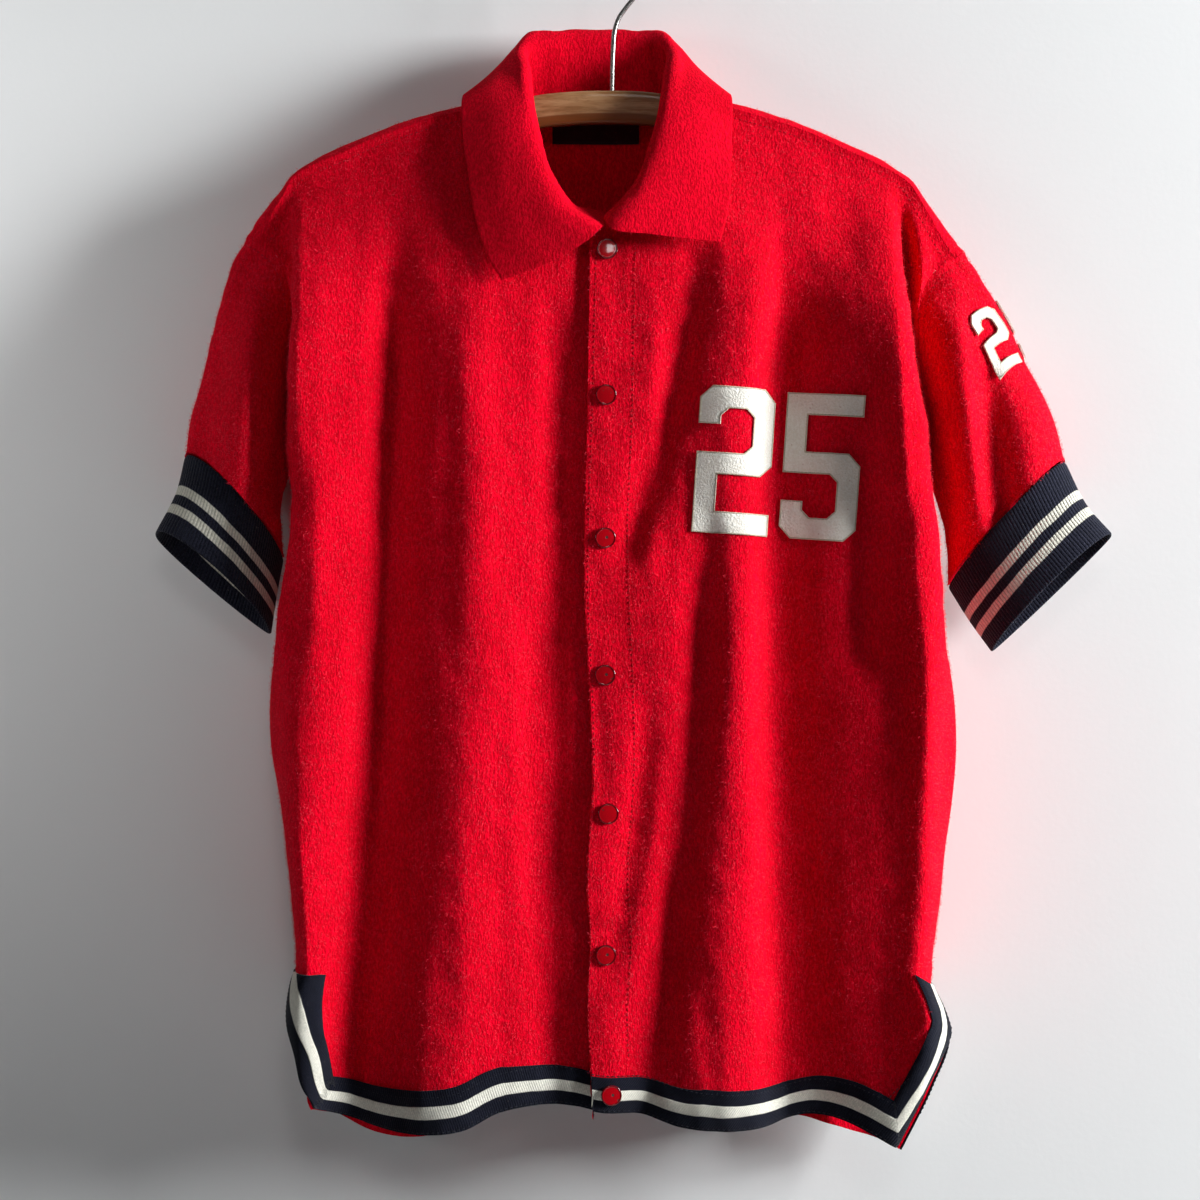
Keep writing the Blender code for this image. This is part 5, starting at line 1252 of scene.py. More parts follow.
@dataclass(frozen=True)
class Surface:
    """What every finish shares.

    Attributes:
        name: The material's name.
        roughness: The shader's roughness.
        sheen: Weight of the shader's sheen.
        sheen_tint: Its colour.
    """

    name: str
    roughness: float
    sheen: float = 0.0
    sheen_tint: Colour = (1.0, 1.0, 1.0)

    def paint(self, graph: Graph, shader: Node, where: NodeSocket) -> None:
        """Adds what is particular to one kind of finish."""

    def material(self) -> Material:
        """Builds the finish: its constants, then what its own kind paints.

        Returns:
            The material.
        """
        material = bpy.data.materials.new(self.name)
        material.use_nodes = True
        shader = material.node_tree.nodes["Principled BSDF"]
        specular = 0.25 if self.roughness < 0.8 else 0.06
        for name, value in (("Roughness", self.roughness), ("Specular IOR Level", specular),
                            ("Sheen Weight", self.sheen), ("Sheen Roughness", 0.45),
                            ("Sheen Tint", (*self.sheen_tint, 1.0))):
            shader.inputs[name].default_value = value
        graph = Graph(material.node_tree)
        self.paint(graph, shader, graph.place())
        return material


@dataclass(frozen=True)
class Fibre(Surface):
    """Felt or sewing thread, mottled between two colours.

    Attributes:
        dark: Colour in the hollows between the fibres: random tone, and painted shade of the hollows.
        light: Colour on the fibres.
        patch: Soft patches per metre.
        grain: Fibres per metre.
        deep: Height of the fibres, in metres.
        strength: Strength of the bump that they make.
        lint: Share of lint over them.
        lint_colour: Colour of the lint.
    """

    dark: Colour = (0.88, 0.81, 0.71)
    light: Colour = (0.98, 0.94, 0.87)
    patch: float = 55.0
    grain: float = 650.0
    deep: float = 0.0006
    strength: float = 0.7
    lint: float = 0.35
    lint_colour: Colour = (0.42, 0.12, 0.08)

    def paint(self, graph: Graph, shader: Node, where: NodeSocket) -> None:
        """Mottled fibres with scattered lint."""
        # The darker colour falls in the hollows of the bump: random tone, and painted shade.
        colour, height = graph.use(Effect.MOTTLE, where, self.dark, self.light, self.patch, self.grain)
        if self.lint:
            lint, = graph.use(Effect.LINT, where, 420.0, 0.1)
            colour = graph.mix(graph.times(lint, self.lint), colour, self.lint_colour)
        graph.show(shader, colour, height, self.deep, self.strength)


def thread(name: str, colour: Colour) -> Fibre:
    """Twisted sewing thread of one colour."""
    return Fibre(name, 0.7, dark=shade(colour, 0.6), light=shade(colour, 1.25), patch=120.0, grain=2200.0,
                 deep=0.0002, strength=0.8, lint=0.0)


@dataclass(frozen=True)
class Fleece(Surface):
    """Knitted pile: mottled, matt and soft.

    Attributes:
        dark: Colour in the hollows between the tufts: random tone, and painted shade of the hollows.
        light: Colour on the tufts.
        grain: Tufts per metre.
    """

    dark: Colour = (0.56, 0.0, 0.008)
    light: Colour = (0.94, 0.0, 0.022)
    grain: float = 520.0

    def paint(self, graph: Graph, shader: Node, where: NodeSocket) -> None:
        """Tufts drawn out down the cloth, with painted highlights: pale specks of its own red."""
        where = graph.node("ShaderNodeMapping", {"Vector": where, "Scale": (1.4, 1.2, 0.6)}).outputs[0]
        # The darker colour falls in the hollows of the bump: random tone, and painted shade.
        colour, height = graph.use(Effect.MOTTLE, where, self.dark, self.light, 26.0, self.grain)
        # Painted highlight: pale specks of the fleece's own red, where fibres would catch the light.
        lint, = graph.use(Effect.LINT, where, 700.0, 0.09)
        colour = graph.mix(graph.times(lint, 0.4), colour, shade(self.light, 1.05, 0.03))
        graph.show(shader, colour, graph.plus(height, graph.times(graph.noise(where, 170.0), 0.5)), 0.0007)


@dataclass(frozen=True)
class Knit(Surface):
    """Navy rib knit with cream stripes: the cuffs, and the braid with a stripe that stands up.

    Attributes:
        ground: The knit's own colour.
        lit: How much paler its raised loops are painted, as painted light on them.
        stripe: Colour of the stripes.
        lines: Where each stripe starts and ends down the cut, in metres.
        waver: Waves per metre of the stripes' edges, and their height in metres.
        soft: Softness of the stripes' edges, in metres.
        pitch: Width of a rib, in metres.
        grains: Patches and loops per metre, of the ground and of the stripes.
        groove_shade: Share and darkness of the painted shade in the stripes' rib hollows.
        specks: Scale, amount and share of the lint.
        raised: Whether the stripe stands up.
    """

    ground: Colour = (0.006, 0.0065, 0.013)
    lit: float = 2.6
    stripe: Colour = (0.80, 0.77, 0.66)
    lines: tuple[tuple[float, float], ...] = ((0.0225, 0.0292), (0.0365, 0.0432))
    waver: tuple[float, float] = (60.0, 0.0016)
    soft: float = 0.0004
    pitch: float = 0.0026
    grains: tuple[float, float, float, float] = (40.0, 900.0, 60.0, 700.0)
    groove_shade: tuple[float, float] = (0.55, 0.3)
    specks: tuple[float, float, float] = (520.0, 0.08, 0.25)
    raised: bool = False

    def paint(self, graph: Graph, shader: Node, where: NodeSocket) -> None:
        """Ribs, stripes with wavering edges, and lint; painted light on the loops and painted shade in the
        stripes' rib hollows.
        """
        _, across, down = graph.cut()
        waver = graph.minus(graph.noise(where, self.waver[0]), 0.5)
        level, mask = graph.plus(down, graph.times(waver, self.waver[1])), 0.0
        for line in self.lines:
            mask = graph.math("MAXIMUM", mask, graph.use(Effect.BAND, level, *line, self.soft)[0])
        ribs, groove_shade_mask = graph.use(Effect.RIBS, across, self.pitch)
        lit = shade(self.ground, self.lit, 0.004)
        navy, loops = graph.use(Effect.MOTTLE, where, self.ground, lit, *self.grains[:2])
        cream, _ = graph.use(Effect.MOTTLE, where, shade(self.stripe, 0.72), self.stripe, *self.grains[2:])
        # Painted shade: the cream stripes are darkened in the hollows between the ribs.
        groove_shade_colour = shade(self.stripe, self.groove_shade[1])
        cream = graph.mix(graph.times(groove_shade_mask, self.groove_shade[0]), cream, groove_shade_colour)
        lint, = graph.use(Effect.LINT, where, *self.specks[:2])
        navy = graph.mix(graph.times(lint, self.specks[2]), navy, (0.25, 0.22, 0.2))
        height, deep = graph.plus(ribs, graph.times(loops, 0.35)), 0.0011
        if self.raised:
            line, = graph.use(Effect.BAND, down, *self.lines[0], 0.0007)
            height, deep = graph.plus(graph.times(ribs, 0.5), line), 0.0007
        graph.show(shader, graph.mix(mask, navy, cream), height, deep, 0.9)


@dataclass(frozen=True)
class Enamel(Surface):
    """Red enamel over steel, chipped to a rusty grey.

    Attributes:
        colour: The enamel.
        rim: A darker colour painted on the rim.
        bare: The metal in its chips.
        radius: Radius of the cap, in metres.
        chip: Radius of the bare spot near the middle, in metres.
    """

    colour: Colour = (0.42, 0.001, 0.006)
    rim: Colour = (0.13, 0.001, 0.004)
    bare: Colour = (0.05, 0.02, 0.018)
    radius: float = 0.0074
    chip: float = 0.0

    def paint(self, graph: Graph, shader: Node, where: NodeSocket) -> None:
        """Scuffed paint, a darker rim and chips."""
        spot = graph.cut()[0]
        away, beside = (
            graph.node("ShaderNodeVectorMath", {0: spot, 1: middle}, operation="DISTANCE").outputs["Value"]
            for middle in ((0.0, 0.0, 0.0), (0.0009, 0.0004, 0.0)))
        chips = graph.between(graph.noise(where, 230.0, 4.0, 0.6), 0.66, 0.68)
        if self.chip:
            chips = graph.math("MAXIMUM", chips, graph.between(beside, self.chip, self.chip * 0.7))
        scuffs = graph.between(graph.noise(where, 900.0), 0.45, 0.75)
        paint = graph.mix(graph.times(scuffs, 0.35), self.colour, shade(self.colour, 0.62))
        # The rim is painted in a darker colour.
        paint = graph.mix(graph.between(away, self.radius - 0.0016, self.radius - 0.0009), paint, self.rim)
        rough = graph.plus(graph.times(scuffs, 0.14), graph.math("MULTIPLY_ADD", chips, 0.3, 0.12))
        graph.put(shader.inputs["Roughness"], rough)
        graph.put(shader.inputs["Coat Weight"], graph.minus(0.8, graph.times(chips, 0.8)))
        height = graph.minus(graph.times(scuffs, 0.1), chips)
        graph.show(shader, graph.mix(chips, paint, self.bare), height, 0.00018)


@dataclass(frozen=True)
class Wood(Surface):
    """Light varnished wood, with painted shade along its lower edge: a darker brown band.

    Attributes:
        light: Colour between the grain lines.
        dark: Colour of the grain lines.
        band: Colour of the lower band, painted shade of the bar's rounded underside.
        underside_shade_from: Where the band of painted shade starts below the top, in metres.
    """

    light: Colour = (0.45, 0.25, 0.115)
    dark: Colour = (0.28, 0.125, 0.045)
    band: Colour = (0.20, 0.058, 0.011)
    underside_shade_from: float = 0.0165

    def paint(self, graph: Graph, shader: Node, where: NodeSocket) -> None:
        """Long grain, pores, and the band of painted shade along the lower edge."""
        down = graph.cut()[2]
        long = graph.node("ShaderNodeMapping", {"Vector": where, "Scale": (9.0, 90.0, 90.0)}).outputs[0]
        grain = graph.noise(long, 3.2, 4.0, 0.6)
        pores, ring = graph.between(graph.noise(long, 16.0), 0.58, 0.72), graph.between(grain, 0.35, 0.65)
        wood = graph.mix(ring, self.light, self.dark)
        wood = graph.mix(graph.times(pores, 0.45), wood, shade(self.dark, 0.55))
        # Painted shade: the lower edge is coloured darker, as if turned from the light; its coat is also
        # heavier.
        band = graph.between(down, self.underside_shade_from - 0.0008, self.underside_shade_from + 0.0008)
        painted_underside_shade = graph.mix(graph.times(ring, 0.4), self.band, shade(self.band, 0.6))
        graph.put(shader.inputs["Roughness"], graph.plus(0.3, graph.times(grain, 0.2)))
        graph.put(shader.inputs["Coat Weight"], graph.math("MULTIPLY_ADD", band, 0.4, 0.15))
        graph.show(shader, graph.mix(band, wood, painted_underside_shade), graph.plus(pores, ring), 0.00012, 0.5)


@dataclass(frozen=True)
class Steel(Surface):
    """Drawn wire with tarnish.

    Attributes:
        bright: Colour of the clean metal.
        dull: Colour of the tarnish.
    """

    bright: Colour = (0.42, 0.41, 0.40)
    dull: Colour = (0.14, 0.13, 0.12)

    def paint(self, graph: Graph, shader: Node, where: NodeSocket) -> None:
        """Mottled tarnish on metal."""
        shader.inputs["Metallic"].default_value = 1.0
        colour, height = graph.use(Effect.MOTTLE, where, self.dull, self.bright, 90.0, 1500.0)
        graph.put(shader.inputs["Roughness"], graph.math("MULTIPLY_ADD", height, 0.2, 0.22))
        graph.show(shader, colour, height, 0.00005, 0.6)


@dataclass(frozen=True)
class Satin(Surface):
    """Black woven label.

    Attributes:
        colour: Its colour.
    """

    colour: Colour = (0.006, 0.006, 0.008)

    def paint(self, graph: Graph, shader: Node, where: NodeSocket) -> None:
        """Warp, weft, wear and lint."""
        _, across, down = graph.cut()
        warp, weft = graph.use(Effect.RIBS, across, 0.0005)[0], graph.use(Effect.RIBS, down, 0.0008)[0]
        lint, = graph.use(Effect.LINT, where, 520.0, 0.1)
        worn = graph.mix(graph.noise(where, 80.0), self.colour, shade(self.colour, 3, 0.006))
        worn = graph.mix(graph.times(lint, 0.3), worn, (0.2, 0.05, 0.05))
        graph.show(shader, worn, graph.times(warp, weft), 0.0002, 0.7)


@dataclass(frozen=True)
class Plaster(Surface):
    """Pale wall or floor of the studio; seen from behind it is clear.

    Attributes:
        colour: Its colour.
    """

    colour: Colour = (0.86, 0.86, 0.86)

    def paint(self, graph: Graph, shader: Node, where: NodeSocket) -> None:
        """Soft unevenness, and a clear back."""
        colour = graph.mix(graph.noise(where, 3.0, 3.0), self.colour, shade(self.colour, 0.97))
        graph.show(shader, colour, graph.noise(where, 240.0), 0.0002, 0.3)
        clear = graph.node("ShaderNodeBsdfTransparent", {}).outputs[0]
        behind = graph.node("ShaderNodeNewGeometry", {}).outputs["Backfacing"]
        both = graph.node("ShaderNodeMixShader", {0: behind, 1: shader.outputs[0], 2: clear})
        graph.put(graph.tree.nodes["Material Output"].inputs["Surface"], both.outputs[0])


# ------------------------------------------------------------------------------ pieces
@dataclass
class Wardrobe:
    """The finishes as materials, and how a piece is booked in.

    Attributes:
        materials: Material of each finish.
    """

    materials: dict[str, Material] = field(default_factory=dict)

    def make(self) -> None:
        """Builds every finish."""
        red = (1.0, 0.02, 0.06)
        braid = Knit("navy_braid", 0.85, 0.1, ground=(0.003, 0.0034, 0.008), lit=2.2,
                     stripe=(0.84, 0.81, 0.71), lines=((0.0106, 0.0186),), waver=(90.0, 0.0009),
                     soft=0.0003, pitch=0.0017, raised=True,
                     grains=(50.0, 1100.0, 45.0, 800.0), groove_shade=(0.35, 0.4), specks=(600.0, 0.07, 0.22))
        for finish in (
                Fleece("red_fleece", 0.95, 0.15, red), Knit("navy_knit", 0.85, 0.1), braid,
                Satin("black_label", 0.45), Fibre("cream_felt", 0.95, 0.5), Enamel("red_enamel", 0.2),
                Enamel("chipped_enamel", 0.2, chip=0.0012), Wood("varnished_wood", 0.4),
                Steel("steel_wire", 0.3),
                thread("red_thread", (0.50, 0.0, 0.012)), thread("tan_thread", (0.66, 0.55, 0.42)),
                thread("navy_thread", (0.012, 0.012, 0.02)), Plaster("studio_white", 0.9),
                # The loose fibres' paler reds are painted highlight, a lit copy of the fleece's red.
                Fleece("red_nap_painted_highlight", 0.9, 0.2, red, (0.86, 0.006, 0.03), (1.0, 0.07, 0.11), 420.0)):
            self.materials[finish.name] = finish.material()

    def book(self, piece: Object, slot: str, *nodes: str) -> Object:
        """Attaches a piece to the body, hides the solids that it stands for and logs its faces.

        Args:
            piece: The new piece.
            slot: Not used.
            nodes: The solids that it stands for.

        Returns:
            The piece.
        """
        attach(piece, BODY)
        if nodes:
            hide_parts(*nodes)
        log.info("%s: %d faces", piece.name, len(piece.data.polygons))
        return piece


WARDROBE = Wardrobe()


@dataclass
class Cut:
    """What a panel of cloth measures flat.

    Attributes:
        width: Greatest width, in metres.
        length: Greatest length, in metres.
        area: Flat area, in square metres.
    """

    width: float
    length: float
    area: float

    @staticmethod
    def of(sheet: Sheet, cells: Array | None = None) -> "Cut":
        """Measures the cells of a sheet.

        Args:
            sheet: The sheet.
            cells: The cells that are cloth, or None for all of them.

        Returns:
            Its flat size.
        """
        areas, (across, down) = sheet.areas(), sheet.lengths()
        keep = np.ones(areas.shape, bool) if cells is None else cells
        columns, lines = np.nonzero(keep.any(axis=1))[0], np.nonzero(keep.any(axis=0))[0]
        wide = (across[columns[-1] + 1] - across[columns[0]])[lines[0]:lines[-1] + 2].max()
        tall = (down[:, lines[-1] + 1] - down[:, lines[0]])[columns[0]:columns[-1] + 2].max()
        area = float((areas * keep).sum()) * MM * MM
        size = max(wide * MM, 0.01), max(tall * MM, 0.01)
        share = max(1.0, area / (size[0] * size[1]))
        return Cut(round(size[0] * share, 4), round(size[1], 4), round(area, 5))

    def declare(self, piece: Object, held: str, rests_on: Sequence[str],
                with_pieces: Sequence[Object] = ()) -> None:
        """Logs the cut size of a piece.

        Args:
            piece: The piece.
            held: Not used.
            rests_on: Not used.
            with_pieces: Not used.
        """
        log.info("%s cut: %.3f x %.3f m, %.4f m2", piece.name, self.width, self.length, self.area)


@dataclass
class Panels:
    """The two fronts and the back, with their hem tapes.

    Attributes:
        form: The jacket's shape.
        pile: How far the ground of the fleece lies under the tips of its pile, in mm.
        pile_rise: Distance from a seam at which the pile stands at its full height, in mm.
        cushion: How much the middle of the tape stands up, in mm.
        line: Where the tape's raised line starts and ends across it, in mm.
        sheets: Outer face of each panel.
        pieces: The built pieces, by the names of their solids.
        cells: Cells of the sheet that each piece covers.
    """

    form: JacketForm
    pile: float = 0.8
    pile_rise: float = 3.5
    cushion: float = 0.25
    line: tuple[float, float] = (9.8, 19.4)
    sheets: dict[str, Sheet] = field(default_factory=dict)
    pieces: dict[str, Object] = field(default_factory=dict)
    cells: dict[str, Array] = field(default_factory=dict)

    def tape_place(self, sheet: Sheet, vent_row: int, both: bool) -> tuple[Array, Array]:
        """Where the tape lies and how far each point is across it and along it.

        Args:
            sheet: The panel.
            vent_row: Row at which the vent starts.
            both: Whether both side edges have a vent.

        Returns:
            The cells of the tape, and each point's place along and across it, in mm.
        """
        across, other, down, from_hem = sheet.borders()
        columns, lines = sheet.points.shape[:2]
        hem_rows = self.form.tape_rows
        from_hem = from_hem / from_hem[:, -1 - hem_rows:lines - hem_rows] * TAPE_WIDE
        middle = (vent_row + lines) // 2
        first = int(np.searchsorted(across[:, middle], TAPE_WIDE))
        cells = np.zeros((columns - 1, lines - 1), bool)
        cells[:, -hem_rows:] = True
        cells[:first, vent_row:] = True
        from_vent = across / across[first] * TAPE_WIDE
        if both:
            last = int(np.searchsorted(-other[:, middle], -TAPE_WIDE)) - 1
            cells[last:, vent_row:] = True
            from_vent = np.minimum(from_vent, other / other[last] * TAPE_WIDE)
        length = np.where(from_vent < from_hem, down, across)
        return cells, np.stack([length, np.minimum(from_vent, from_hem)], axis=-1)

    def build_panel(self, name: str, sheet: Sheet, vent_row: int, cells: Array,
                    seam: Array, edge: Array) -> None:
        """Builds one panel and its tape.

        Args:
            name: Name of the solid that it stands for.
            sheet: Its face.
            vent_row: Row at which its vent starts.
            cells: The cells that are cloth.
            seam: Distance of each point from the seams, in mm.
            edge: Distance of each point from the free edges, in mm.
        """
        tape = "tape_" + name
        tape_cells, tape_cut = self.tape_place(sheet, vent_row, name == "back")
        padded = np.pad(tape_cells, 1)
        under = padded[1:, 1:] | padded[:-1, :-1] | padded[1:, :-1] | padded[:-1, 1:]
        trimmed = sheet.drawn_in(tuple(Border))
        outer = np.where(under, -0.2, -self.pile * ease(seam / self.pile_rise))
        outer = outer - groove(seam - SEAM_STITCH, 0.5, 1.3)
        turn = rounded(edge, 0.7)
        outer = np.maximum(outer - turn, -FLEECE_THICK + 0.35)
        width = np.clip(tape_cut[..., 1], 0, TAPE_WIDE)
        rise = TAPE_THICK + self.cushion * np.sin(np.pi * width / TAPE_WIDE)
        rise = rise - np.minimum(rounded(width, 1.0) + rounded(TAPE_WIDE - width, 1.0), 0.7)
        rise = rise + 0.25 * ease((width - self.line[0]) / 1.2) * ease((self.line[1] - width) / 1.2)
        self.sheets[name], self.cells[name], self.cells[tape] = sheet, cells, tape_cells
        piece = shell(name + "_fleece", trimmed, outer, turn * 0.6 - FLEECE_THICK, "red_fleece", cells)
        self.pieces[name] = WARDROBE.book(piece, "red_fleece", name)
        piece = shell(tape + "_braid", trimmed, TAPE_LIFT + rise, TAPE_LIFT - 0.2, "navy_braid", tape_cells,
                      tape_cut)
        self.pieces[tape] = WARDROBE.book(piece, "navy_braid", tape)

    def build(self) -> None:
        """Builds the fronts, the back and their tapes."""
        for side in (WEARERS_RIGHT, WEARERS_LEFT):
            sheet, vent = self.form.front(side), self.form.vent_start
            across, from_centre, down, from_hem = sheet.borders()
            seam, edge = np.minimum(across, down), np.minimum(from_centre, from_hem)
            seam[:, vent:] = np.maximum(seam, CLEAR_OF_SEAM)[:, vent:]
            edge[:, vent:] = np.minimum(edge, across)[:, vent:]
            if side.sign > 0:
                placket = np.abs(from_centre - PLACKET_WIDE)
                seam = np.where(down > 12, np.minimum(seam, placket + 5.3), seam)
            cells = np.ones((sheet.points.shape[0] - 1, sheet.points.shape[1] - 1), bool)
            self.build_panel("front_" + side.word, sheet, vent, cells, seam, edge)
        sheet = self.form.back()
        first, last, _, edge = sheet.borders()
        count, vent = len(self.form.shoulder_steps), self.form.last_wrap + self.form.vent_start
        cells = np.ones((sheet.points.shape[0] - 1, sheet.points.shape[1] - 1), bool)
        cells[count - 1:1 - count, :self.form.last_wrap] = False
        seam = self.form.back_distance(sheet)
        seam[:, vent:] = np.maximum(seam, CLEAR_OF_SEAM)[:, vent:]
        edge[:, vent:] = np.minimum(edge, np.minimum(first, last))[:, vent:]
        self.build_panel("back", sheet, vent, cells, seam, edge)

    def declare(self, extras: dict[str, list[Object]]) -> None:
        for name, piece in self.pieces.items():
            panel = name.removeprefix("tape_")
            rests_on = "hanger_bar" if panel == name else self.pieces[panel].name
            size = Cut.of(self.sheets[panel], self.cells[name])
            size.declare(piece, "hung", [rests_on], extras.get(name, []))


@dataclass
class Sleeves:
    """Both sleeves and their cuffs.

    Attributes:
        form: The jacket's shape.
        pile: How far the ground of the fleece lies under the tips of its pile, in mm.
        pile_rise: Distance from a seam at which the pile stands at its full height, in mm.
        cuff_thick: Thickness of a cuff, in mm.
        sheets: Outer face of each tube.
        pieces: The built pieces, by the names of their solids.
    """

    form: JacketForm
    pile: float = 0.8
    pile_rise: float = 3.5
    cuff_thick: float = 2.5
    sheets: dict[str, Sheet] = field(default_factory=dict)
    pieces: dict[str, Object] = field(default_factory=dict)

    def build(self) -> None:
        """Builds the four tubes."""
        half_gap = CUFF_SEAM_GAP / 2
        for side in (WEARERS_RIGHT, WEARERS_LEFT):
            sleeve, cuff = self.form.sleeve(side), self.form.cuff(side)
            shared = unit(sleeve.normals[:, -1] + cuff.normals[:, 0])
            sleeve.normals[:, -1] = cuff.normals[:, 0] = shared
            name, down = "sleeve_" + side.word, sleeve.lengths()[1][:-1]
            seam = np.minimum(down, down[:, -1:] - down)
            outer = -self.pile * ease(seam / self.pile_rise) - groove(down - SEAM_STITCH, 0.5, 1.3)
            tube_sheet = sleeve.drawn_in([Border.TOP]).drawn_in([Border.BOTTOM], half_gap)
            piece = shell(name + "_fleece", tube_sheet, np.maximum(outer, -FLEECE_THICK + 0.4), -FLEECE_THICK,
                          "red_fleece")
            self.sheets[name], self.pieces[name] = sleeve, WARDROBE.book(piece, "red_fleece", name)
            name, down = "cuff_" + side.word, cuff.lengths()[1][:-1]
            turn = rounded(down[:, -1:] - down, 1.0)
            piece = shell(name + "_knit", cuff.drawn_in([Border.TOP], half_gap),
                          -0.25 - groove(down, 0.6, 1.5) - turn, -self.cuff_thick + turn, "navy_knit")
            self.sheets[name], self.pieces[name] = cuff, WARDROBE.book(piece, "navy_knit", name)

    def declare(self, extras: dict[str, list[Object]]) -> None:
        for name, piece in self.pieces.items():
            kind, _, word = name.partition("_")
            rests_on = "hanger_bar" if kind == "sleeve" else self.pieces["sleeve_" + word].name
            Cut.of(self.sheets[name]).declare(piece, "hung", [rests_on], extras.get(name, []))


@dataclass
class Collar:
    """The turned-down collar.

    Attributes:
        form: Its shape.
        pile: How far the ground of the fleece lies under the tips of its pile, in mm.
        sheet: Its outer face.
        piece: The built piece.
    """

    form: CollarForm
    pile: float = 0.5
    sheet: Sheet | None = None
    piece: Object | None = None

    def build(self, panels: Panels) -> None:
        """Builds the collar on the neck seam of the panels."""
        fronts = [panels.sheets["front_right"], panels.sheets["front_left"]]
        self.sheet = self.form.sheet(fronts, panels.sheets["back"])
        first, last, _, bottom = self.sheet.borders()
        edge = np.minimum(np.minimum(first, last), bottom)
        turn = rounded(edge, 0.9)
        outer = -self.pile - groove(edge - EDGE_STITCH, 0.5, 1.2) - turn
        piece = shell("collar_fleece", self.sheet, outer, -FLEECE_THICK + turn * 0.6, "red_fleece")
        self.piece = WARDROBE.book(piece, "red_fleece", "collar")

    def declare(self, extras: Sequence[Object]) -> None:
        Cut.of(self.sheet).declare(self.piece, "folded", ["front_right_fleece", "front_left_fleece"], extras)


def tree_of(*pieces: Object) -> BVHTree:
    """Search tree over the faces of one or more pieces."""
    points, faces = [], []
    for piece in pieces:
        start = len(points)
        points.extend(vertex.co.copy() for vertex in piece.data.vertices)
        faces.extend([start + corner for corner in face.vertices] for face in piece.data.polygons)
    return BVHTree.FromPolygons(points, faces)


def ring_faces(rings: int, around: int) -> list[list[int]]:
    """Faces between rings of points that follow one another."""
    faces = []
    for start in range(0, (rings - 1) * around, around):
        for k in range(around):
            a, b = start + k, start + (k + 1) % around
            faces.append([a, b, b + around, a + around])
    return faces


# ------------------------------------------------------------------------------ numerals
Place = Callable[[float, float], tuple[Vector, Vector]]


